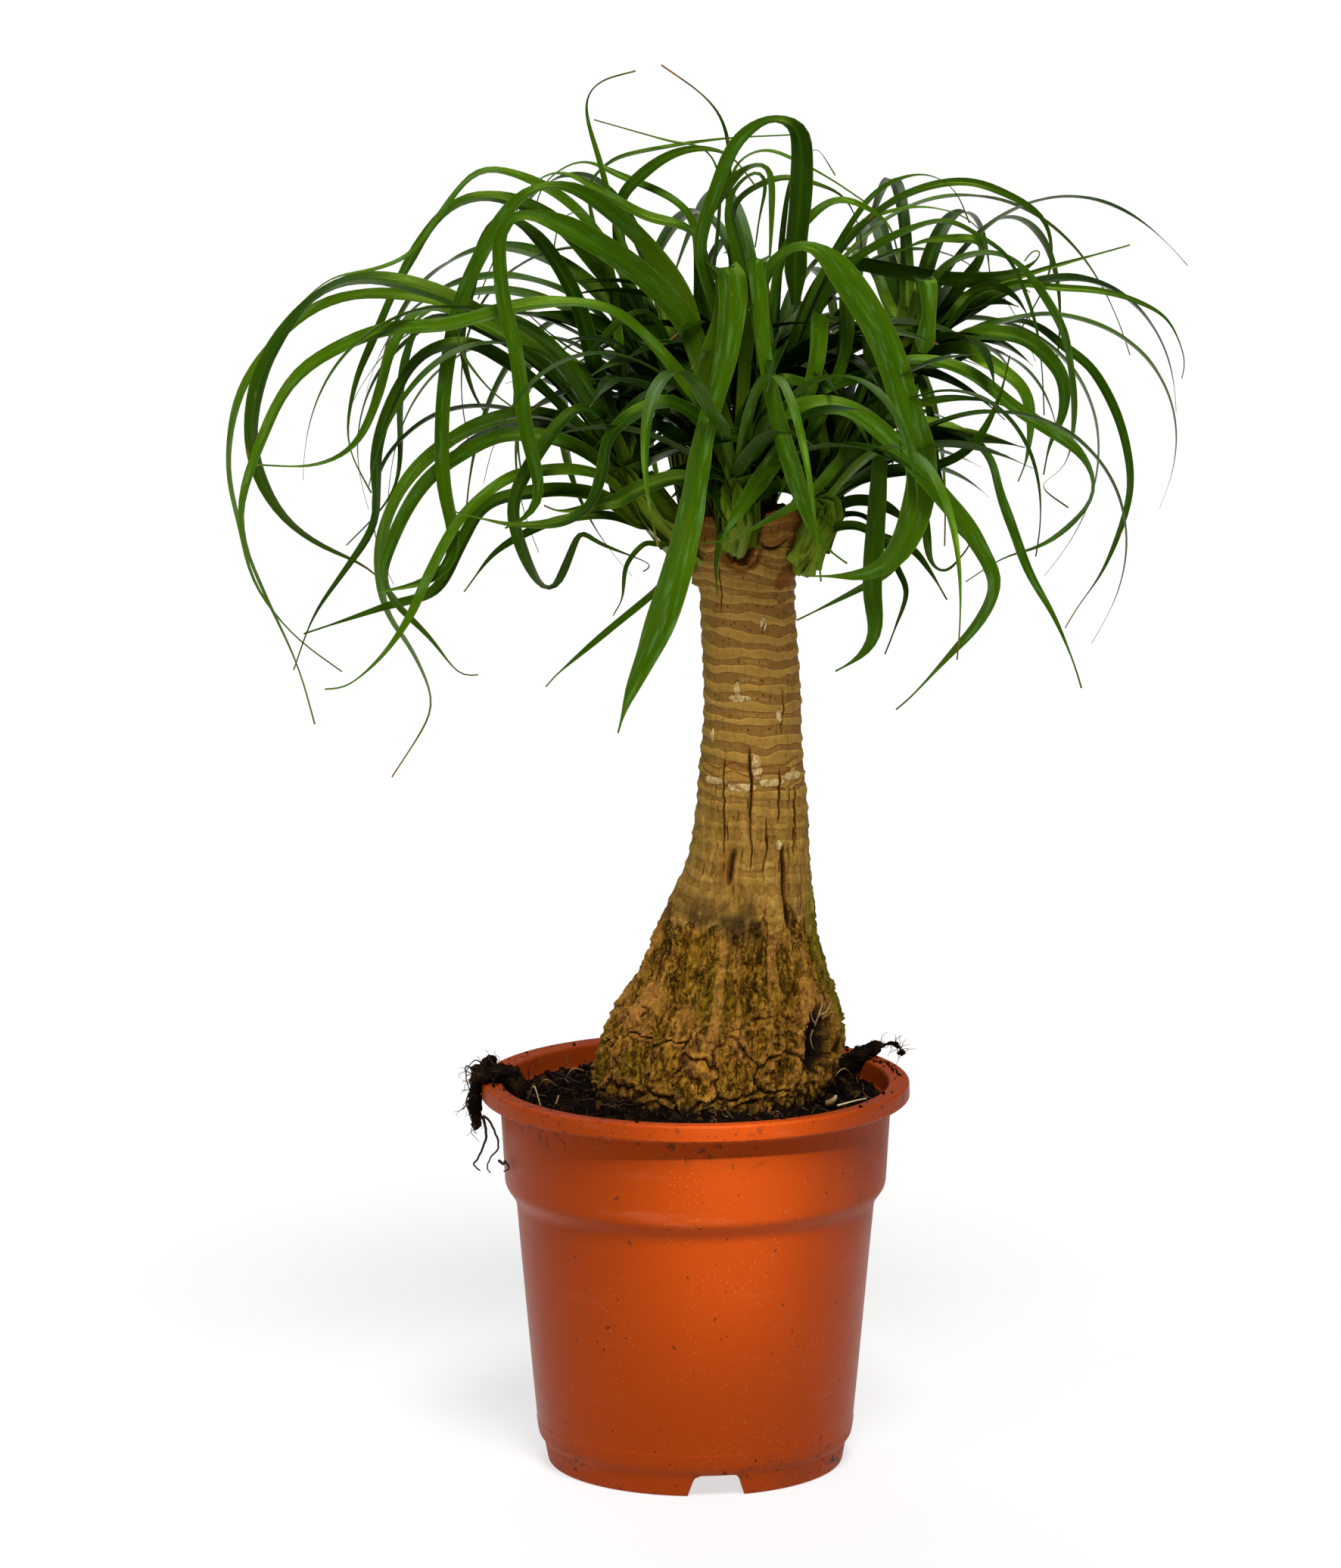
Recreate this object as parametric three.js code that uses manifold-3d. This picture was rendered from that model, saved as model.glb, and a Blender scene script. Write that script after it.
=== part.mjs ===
// A ponytail palm in a round plastic pot: swollen corky base, banded stem with a cut top, and six leafy
// shoots round the cut. Millimetres, +Z up. The plant is laid out about the pot's axis; the finished group is
// moved so that its origin is the middle of its outline on the surface that the pot stands on.

import * as THREE from 'three';
import { mergeVertices } from 'three/addons/utils/BufferGeometryUtils.js';
import Module from 'manifold-3d';

const wasm = await Module();
wasm.setup();

// ---------------------------------------------------------------- driving dimensions (mm)

const GAP = 0.35; // clearance between a piece and what carries it
const SLIVER = 0.02; // edges shorter than this are closed up where solids join

const POT_HEIGHT = 172.8;
const RIM_RADIUS = 94.7;
const RIM_DEPTH = 8; // height of the rim's outer band
const COLLAR_RADIUS = 86.3; // wall just under the rim
const STEP_TOP = 126; // lower edge of the upper band
const STEP_BOTTOM = 119;
const STEP_RADIUS = 84.2;
const LOWER_RADIUS = 79.3; // wall just under the step
const WALL_FOOT = 15.5; // where the wall turns in to the foot ring
const WALL_FOOT_RADIUS = 70.2;
const FOOT_RADIUS = 66.6;
const FOOT_WIDTH = 7;
const WALL = 2.4;
const FLOOR_TOP = 14.5; // upper side of the pot's floor
const FLOOR_UNDER = 11;
const FLOOR_CORNER = 3; // between the floor and the wall, inside
const EDGE = 2; // bevel of the rim's and the foot ring's outer edges
const POT_SIDES = 40;

const NOTCH_COUNT = 3;
const FIRST_NOTCH = THREE.MathUtils.degToRad(-82);
const NOTCH_TOP_WIDTH = 18;
const NOTCH_FOOT_WIDTH = 26;
const NOTCH_HEIGHT = 10;
const DRAIN_COUNT = 6;
const DRAIN_RADIUS = 5;
const DRAIN_CIRCLE = 42;
const DRAIN_SIDES = 10;

const SOIL_LEVEL = 163;
const SOIL_MOUND = 6; // how far the soil rises towards the stem
const SOIL_BUMP = 1.3;
const SOIL_EDGE = 5; // how far below its level the soil leaves the wall

// Stem outline: height, middle in x, radius. The lowest three rows lie in the soil.
const STEM = [
  [108, 2, 8],
  [118, 2, 24],
  [135, 3, 38],
  [150, 4, 46.5],
  [167, 5.6, 51.4],
  [181, 8.9, 52.4],
  [192, 11.3, 51.4],
  [203, 13.4, 48.4],
  [215, 16.1, 42.9],
  [234, 18, 35.6],
  [251, 20, 31.7],
  [269, 23.3, 26.6],
  [290, 24.8, 24.4],
  [312, 24.5, 23],
  [320, 24.5, 22.2],
  [338, 24.8, 20.9],
  [363, 23.7, 20.5],
  [392, 22.6, 20.4],
  [412, 24, 21.6],
  [428, 26, 22.6],
];
const STEM_TOP = 430;
// Lumps on the stem: how far out, where they sit, and how far they spread up the stem and round it.
const STEM_KNOB = { height: 5, z: 196, angle: -0.25, up: 9, round: 0.28 };
const STEM_ROOT_END = { height: 6, z: 172, angle: -0.62, up: 12, round: 0.3 };
const STEM_SIDES = 26;
const STEM_TAIL = 4; // how far the buried end runs to a point
const TORN_DROP = 2; // how much lower the torn edge, the ring inside it and the middle each lie
const DISH_SHARE = 0.72; // size of the ring inside the torn edge
const SCAR_SPACING = 7.6; // leaf scars up the stem
const SCAR_HEIGHT = 0.55;
const CORK_TOP = 262; // the corky base turns into the banded stem here
const CORK_DEPTH = 2.2;
const CORK_FADE = 40; // height over which cork and scars fade into the smooth stem
const CORK_FOOT = 150;
const CORK_STEP = 12; // height between two rows of the corky base
const SCAR_FOOT = 200;
const CORE_SIDES = 9; // round a shoot's base

// The eye that the leaves' courses are laid out for: a distance in front of the pot's axis, a height and a
// small step to the left. A course is drawn on the upright plane through the axis and then moved along the
// line of sight to its depth.
const VIEW_DISTANCE = 2982;
const VIEW_HEIGHT = 844;
const VIEW_SIDE = -11;

const STATIONS = 24; // steps along a leaf's course
const COURSE_TOLERANCE = 3; // how far a facet may leave the course
const RIB_THICKNESS = 1.3;
const TIP_THICKNESS = 1;
const TIP_HALF_WIDTH = 0.7;
const CHANNEL = 0.17; // depth of the blade's gutter as a share of its width
const NARROW = 6; // blades no wider than this have a three-sided section
const EASE_ROUNDS = 40;
const CLEAR_ROUNDS = 30;
const CLEAR_STEP = 1.2;
const EASE_LIMIT = 4; // furthest that a leaf is moved in one round
const TOUCH = 1e-5; // a common volume below this, in cubic millimetres, is no contact

const TAU = 2 * Math.PI;
const CM = 10;

// ---------------------------------------------------------------- small helpers

const lerp = (a, b, t) => a + (b - a) * t;
const clamp01 = (t) => Math.min(1, Math.max(0, t));
const smooth = (t) => clamp01(t) ** 2 * (3 - 2 * clamp01(t));

// A repeatable series of draws from 0 to 1.
function draws(seed) {
  let state = seed;
  return () => {
    state = (state * 1664525 + 1013904223) % 4294967296;
    return state / 4294967296;
  };
}

// A soft, repeatable unevenness made of a few waves.
function wobble(a, b, c) {
  return (
    Math.sin(a * 1.7 + 2.1 * b) * Math.cos(1.3 * b - c) +
    0.6 * Math.sin(3.1 * a - 1.9 * c + 0.7) +
    0.4 * Math.cos(4.3 * b + 2.3 * a)
  ) / 2;
}

function toSolid(geometry) {
  const bare = geometry.clone();
  bare.deleteAttribute('normal');
  bare.deleteAttribute('uv');
  const merged = mergeVertices(bare, 1e-4);
  return new wasm.Manifold(
    new wasm.Mesh({
      numProp: 3,
      vertProperties: new Float32Array(merged.attributes.position.array),
      triVerts: new Uint32Array(merged.index.array),
    }),
  );
}

function toGeometry(solid) {
  const mesh = solid.getMesh();
  const geometry = new THREE.BufferGeometry();
  geometry.setAttribute('position', new THREE.BufferAttribute(Float32Array.from(mesh.vertProperties), 3));
  geometry.setIndex(new THREE.BufferAttribute(Uint32Array.from(mesh.triVerts), 1));
  geometry.computeVertexNormals();
  return geometry;
}

// The one large body of a joined solid: slivers go, sealed hollows are filled and loose scraps are left out.
function largestBody(solid) {
  return solid.simplify(SLIVER).decompose()
    .reduce((best, body) => (body.volume() > best.volume() ? body : best));
}

// The triangles between each ring of points and the next.
function strips(rings, sides) {
  const index = [];
  for (let r = 0; r + 1 < rings; r += 1) {
    for (let k = 0; k < sides; k += 1) {
      const a = r * sides + k;
      const b = r * sides + ((k + 1) % sides);
      index.push(a, b, b + sides, a, b + sides, a + sides);
    }
  }
  return index;
}

function indexedSolid(points, index) {
  const geometry = new THREE.BufferGeometry().setFromPoints(points);
  geometry.setIndex(index);
  return toSolid(geometry);
}

// A closed skin over rows of points: each row is a ring, and the first and last rows are capped.
function ringSolid(rings) {
  const sides = rings[0].length;
  const index = strips(rings.length, sides);
  const last = (rings.length - 1) * sides;
  for (let k = 1; k + 1 < sides; k += 1) {
    index.push(0, k + 1, k, last, last + k, last + k + 1);
  }
  return indexedSolid(rings.flat(), index);
}

// A closed skin over rows of points whose ends run to a single point each.
function domedSolid(rings, lowPoint, highPoint) {
  const sides = rings[0].length;
  const points = [...rings.flat(), lowPoint, highPoint];
  const low = points.length - 2;
  const high = points.length - 1;
  const index = strips(rings.length, sides);
  const last = (rings.length - 1) * sides;
  for (let k = 0; k < sides; k += 1) {
    const next = (k + 1) % sides;
    index.push(low, next, k, high, last + k, last + next);
  }
  return indexedSolid(points, index);
}

function turned(profile, sides) {
  const geometry = new THREE.LatheGeometry(profile.map(([r, z]) => new THREE.Vector2(r, z)), sides);
  geometry.rotateX(Math.PI / 2); // the lathe's own axis is Y
  return geometry;
}

// ---------------------------------------------------------------- pot

function wallRadius(z) {
  if (z > STEP_TOP) return lerp(STEP_RADIUS, COLLAR_RADIUS, (z - STEP_TOP) / (POT_HEIGHT - RIM_DEPTH - STEP_TOP));
  if (z > STEP_BOTTOM) return lerp(LOWER_RADIUS, STEP_RADIUS, (z - STEP_BOTTOM) / (STEP_TOP - STEP_BOTTOM));
  return lerp(WALL_FOOT_RADIUS, LOWER_RADIUS, (z - WALL_FOOT) / (STEP_BOTTOM - WALL_FOOT));
}

function potSolid() {
  const rimUnder = POT_HEIGHT - RIM_DEPTH;
  const profile = [
    [0, FLOOR_UNDER],
    [FOOT_RADIUS - FOOT_WIDTH, FLOOR_UNDER],
    [FOOT_RADIUS - FOOT_WIDTH + 1, 0], // the foot ring's inner side leans out a little
    [FOOT_RADIUS - EDGE, 0],
    [FOOT_RADIUS, EDGE],
    [FOOT_RADIUS + 0.7, NOTCH_HEIGHT],
    [WALL_FOOT_RADIUS - 0.6, WALL_FOOT - 3],
    [WALL_FOOT_RADIUS, WALL_FOOT],
    [LOWER_RADIUS, STEP_BOTTOM],
    [STEP_RADIUS, STEP_TOP],
    [COLLAR_RADIUS, rimUnder - 1.5],
    [RIM_RADIUS - 1.6, rimUnder],
    [RIM_RADIUS, rimUnder + 1.5],
    [RIM_RADIUS - 0.3, POT_HEIGHT - EDGE],
    [RIM_RADIUS - 1.8, POT_HEIGHT],
    [COLLAR_RADIUS - WALL + 1, POT_HEIGHT - 0.6], // the rim's top falls slightly inwards
    [COLLAR_RADIUS - WALL, rimUnder - 3],
    [STEP_RADIUS - WALL, STEP_TOP],
    [LOWER_RADIUS - WALL, STEP_BOTTOM],
    [WALL_FOOT_RADIUS - WALL, FLOOR_TOP + FLOOR_CORNER],
    [WALL_FOOT_RADIUS - WALL - FLOOR_CORNER, FLOOR_TOP],
    [0, FLOOR_TOP],
  ];
  let pot = toSolid(turned(profile, POT_SIDES));
  for (let n = 0; n < NOTCH_COUNT; n += 1) {
    pot = pot.subtract(notchCutter(FIRST_NOTCH + (n * TAU) / NOTCH_COUNT));
  }
  for (let n = 0; n < DRAIN_COUNT; n += 1) {
    const angle = ((n + 0.5) * TAU) / DRAIN_COUNT;
    const drain = new THREE.CylinderGeometry(DRAIN_RADIUS, DRAIN_RADIUS, FLOOR_TOP, DRAIN_SIDES);
    drain.rotateX(Math.PI / 2);
    drain.translate(DRAIN_CIRCLE * Math.cos(angle), DRAIN_CIRCLE * Math.sin(angle), FLOOR_TOP);
    pot = pot.subtract(toSolid(drain));
  }
  return pot;
}

// A wedge that opens the foot ring: narrower at its top than on the floor, with one top corner cut off.
function notchCutter(angle) {
  const outline = new THREE.Shape();
  outline.moveTo(-NOTCH_FOOT_WIDTH / 2, -1);
  outline.lineTo(NOTCH_FOOT_WIDTH / 2, -1);
  outline.lineTo(NOTCH_TOP_WIDTH / 2, NOTCH_HEIGHT);
  outline.lineTo(-NOTCH_TOP_WIDTH / 2 + 2, NOTCH_HEIGHT);
  outline.lineTo(-NOTCH_TOP_WIDTH / 2 - 1.5, NOTCH_HEIGHT - 2.5);
  const spare = 6; // how far the cut runs past the ring, inside and out
  const cutter = new THREE.ExtrudeGeometry(outline, { depth: FOOT_WIDTH + 2 * spare, bevelEnabled: false });
  cutter.rotateX(Math.PI / 2); // outline's y turns to z, and the depth runs along -y
  cutter.translate(0, FOOT_RADIUS + spare, 0);
  cutter.rotateZ(angle - Math.PI / 2);
  return toSolid(cutter);
}

// ---------------------------------------------------------------- stem

function stemRow(z) {
  const n = STEM.findIndex((row) => row[0] > z);
  if (n === 0) return STEM[0].slice(1);
  if (n < 0) return STEM.at(-1).slice(1);
  const [a, b] = [STEM[n - 1], STEM[n]];
  const t = (z - a[0]) / (b[0] - a[0]);
  return [lerp(a[1], b[1], t), lerp(a[2], b[2], t)];
}

function bulge({ height, z: middle, angle: towards, up, round }, z, angle) {
  return height * Math.exp(-(((z - middle) / up) ** 2) - ((wrapped(angle - towards) / round) ** 2));
}

// Cork plates low down with a knob and a root end on the right, leaf scars as slightly wandering rings
// higher up. Both fade out where the other begins, and the cork also where the stem goes into the soil.
function stemRelief(z, angle) {
  const cork = smooth((CORK_TOP - z) / CORK_FADE) * smooth((z - CORK_FOOT) / 15);
  const plate = Math.abs(wobble(angle * 2, z / 17, 1)) + 0.5 * wobble(angle * 3, z / 9, 4);
  const ring = Math.max(0, Math.cos((TAU * (z + 1.5 * wobble(angle, 0, z / 60))) / SCAR_SPACING));
  const lumps = bulge(STEM_KNOB, z, angle) + bulge(STEM_ROOT_END, z, angle);
  const scars = smooth((z - SCAR_FOOT) / CORK_FADE) * SCAR_HEIGHT * ring;
  return cork * (CORK_DEPTH * plate + lumps) + (1 - cork) * scars;
}

function wrapped(angle) {
  return angle - TAU * Math.round(angle / TAU);
}

function stemRings(extra) {
  const heights = STEM.map((row) => row[0]);
  const rows = [];
  for (let n = 0; n + 1 < heights.length; n += 1) {
    const step = heights[n] < CORK_TOP ? CORK_STEP : SCAR_SPACING * 1.5;
    const count = Math.max(1, Math.round((heights[n + 1] - heights[n]) / step));
    for (let k = 0; k < count; k += 1) rows.push(lerp(heights[n], heights[n + 1], k / count));
  }
  rows.push(heights.at(-1));
  return rows.map((z) => {
    const [middle, radius] = stemRow(z);
    return Array.from({ length: STEM_SIDES }, (_, k) => {
      const angle = (k * TAU) / STEM_SIDES;
      const r = radius + stemRelief(z, angle) + extra;
      return new THREE.Vector3(middle + r * Math.cos(angle), r * Math.sin(angle), z);
    });
  });
}

// The cut top is a torn, slightly dished face: a ragged edge, a lower ring inside it, the middle lowest.
function stemSolid() {
  const rings = stemRings(0);
  const middle = STEM.at(-1)[1];
  const top = rings.at(-1);
  top.forEach((point, k) => {
    point.z = STEM_TOP - TORN_DROP + 2.4 * wobble((k * 6 * TAU) / STEM_SIDES, 2, k);
  });
  const dish = top.map((point, k) => new THREE.Vector3(
    middle + DISH_SHARE * (point.x - middle),
    DISH_SHARE * point.y,
    STEM_TOP - 2 * TORN_DROP + 1.2 * wobble(k, 1, 3),
  ));
  const low = new THREE.Vector3(STEM[0][1], 0, STEM[0][0] - STEM_TAIL);
  const high = new THREE.Vector3(middle, 0, STEM_TOP - 3 * TORN_DROP);
  return domedSolid([...rings, dish], low, high);
}

// The same outline a little larger and run on upward, to clear what grows against it.
function stemClearance() {
  const rings = stemRings(GAP);
  const middle = STEM.at(-1)[1];
  const above = STEM_TOP + 1.5; // over the highest points of the torn edge
  const top = rings.at(-1).map((point) => new THREE.Vector3(point.x, point.y, above));
  const low = new THREE.Vector3(STEM[0][1], 0, STEM[0][0] - STEM_TAIL - GAP);
  return domedSolid([...rings, top], low, new THREE.Vector3(middle, 0, above));
}

// ---------------------------------------------------------------- soil

function soilSolid() {
  const rings = [];
  const sides = POT_SIDES;
  const facet = 0.3; // the flats of the soil's sides and of the wall's may face each other's corners
  const inner = (z) => wallRadius(z) - WALL - GAP - facet;
  const floor = FLOOR_TOP + 0.5;
  const bands = [
    [WALL_FOOT_RADIUS - WALL - FLOOR_CORNER - 0.5, floor],
    [inner(FLOOR_TOP + 5), FLOOR_TOP + 5],
    [inner(STEP_BOTTOM - 1) - facet, STEP_BOTTOM - 1],
    [inner(STEP_TOP) - facet, STEP_TOP + 1],
    [inner(SOIL_LEVEL - SOIL_EDGE), SOIL_LEVEL - SOIL_EDGE],
  ];
  for (const [radius, z] of bands) {
    rings.push(Array.from({ length: sides }, (_, k) => {
      const angle = (k * TAU) / sides;
      return new THREE.Vector3(radius * Math.cos(angle), radius * Math.sin(angle), z);
    }));
  }
  const edge = inner(SOIL_LEVEL - SOIL_EDGE);
  for (const share of [0.97, 0.82, 0.66]) {
    rings.push(Array.from({ length: sides }, (_, k) => {
      const angle = (k * TAU) / sides;
      const radius = edge * share;
      const rise = SOIL_MOUND * smooth((1 - share) / 0.4);
      const bump = SOIL_BUMP * wobble(angle * 5, share * 19, k % 3);
      return new THREE.Vector3(radius * Math.cos(angle), radius * Math.sin(angle), SOIL_LEVEL + rise + bump);
    }));
  }
  const solid = domedSolid(
    rings,
    new THREE.Vector3(0, 0, floor),
    new THREE.Vector3(0, 0, SOIL_LEVEL + SOIL_MOUND),
  );
  return largestBody(solid.subtract(stemClearance()));
}

// ---------------------------------------------------------------- root and peat that hang over the rim

// Lumps of a clod: middle, half sizes. Strands: their points. All in mm.
const RIM_CLOD = {
  lumps: [
    { middle: [-91.5, 1, 173.5], size: [7.5, 21, 6.5] },
    { middle: [-83.5, 2, 171], size: [7, 13, 5] },
    { middle: [-95, -5, 164], size: [4.6, 9, 11] },
  ],
  strands: [
    [[-94.5, -8, 157], [-92.3, -8, 148.5], [-93.3, -9, 144], [-96.3, -9, 138], [-97.7, -9, 135.5], [-95, -8, 132.5]],
    [[-92.5, -10, 157], [-88.6, -11, 150.5], [-87.6, -12, 144], [-90, -12, 140], [-91.7, -11, 135], [-90.3, -11, 132]],
  ],
  radius: 0.9,
};
const RIM_ROOT = {
  lumps: [{ middle: [74, 43, 173.5], size: [11, 6, 4] }],
  strands: [
    [[68, 40, 173], [76, 46, 175.6], [82, 49, 176.4], [86, 50, 176], [90, 51, 175.4], [92.6, 51, 174], [92, 51, 171.2]],
  ],
  radius: 1.7,
};
const STRAND_STEPS = 7;
const STRAND_SIDES = 5;

// A lumpy ball, squashed to its half sizes.
function lump({ middle, size }) {
  const ball = new THREE.IcosahedronGeometry(1, 2);
  const corners = ball.attributes.position;
  for (let n = 0; n < corners.count; n += 1) {
    const corner = new THREE.Vector3().fromBufferAttribute(corners, n);
    corner.multiplyScalar(1 + 0.16 * wobble(corner.x * 3 + middle[0], corner.y * 3, corner.z * 3));
    corner.multiply(new THREE.Vector3(...size)).add(new THREE.Vector3(...middle));
    corners.setXYZ(n, corner.x, corner.y, corner.z);
  }
  return toSolid(ball);
}

// A root strand: a round tube along a few points, ending blunt.
function strand(points, radius) {
  const course = new THREE.CatmullRomCurve3(points.map((p) => new THREE.Vector3(...p)), false, 'catmullrom');
  const rings = course.getSpacedPoints(STRAND_STEPS).map((middle, n) => {
    const along = course.getTangentAt(n / STRAND_STEPS);
    const across = new THREE.Vector3(0.1, 1, 0.1).cross(along).normalize();
    const over = along.clone().cross(across);
    return Array.from({ length: STRAND_SIDES }, (_, k) => {
      const angle = (k * TAU) / STRAND_SIDES;
      return middle.clone().addScaledVector(across, radius * Math.cos(angle))
        .addScaledVector(over, radius * Math.sin(angle));
    });
  });
  return ringSolid(rings);
}

// The rim and the wall below it, a little larger, to clear what hangs over them.
function rimClearance() {
  const rimUnder = POT_HEIGHT - RIM_DEPTH;
  return toSolid(turned([
    [STEP_RADIUS - WALL - GAP, STEP_TOP],
    [STEP_RADIUS + 2, STEP_TOP],
    [COLLAR_RADIUS + GAP, rimUnder - 2],
    [RIM_RADIUS + GAP, rimUnder - 2 * GAP],
    [RIM_RADIUS + GAP, POT_HEIGHT + GAP],
    [COLLAR_RADIUS - WALL - GAP, POT_HEIGHT + GAP],
    [STEP_RADIUS - WALL - GAP, STEP_TOP],
  ], POT_SIDES));
}

// Peat and roots matted together, lying over the rim.
function drapedSolid({ lumps, strands, radius }) {
  const pieces = [...lumps.map(lump), ...strands.map((points) => strand(points, radius))];
  return largestBody(wasm.Manifold.union(pieces).subtract(rimClearance()));
}

// ---------------------------------------------------------------- leaves

// Each shoot: where it leaves the stem, where its leaves part, its radius low and high.
const SHOOTS = {
  front: { from: [18, -20, 408], to: [17, -30, 438], low: 9, high: 8 },
  left: { from: [3, -3, 402], to: [-30, -7, 440], low: 9, high: 11 },
  right: { from: [43, -9, 398], to: [55, -11, 428], low: 8, high: 9 },
  right_back: { from: [40, 10, 411], to: [93, 26, 486], low: 7.5, high: 11 },
  back: { from: [24, 19, 414], to: [30, 25, 462], low: 9, high: 12 },
  back_left: { from: [6, 13, 411], to: [-5, 25, 456], low: 8, high: 10 },
};

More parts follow.
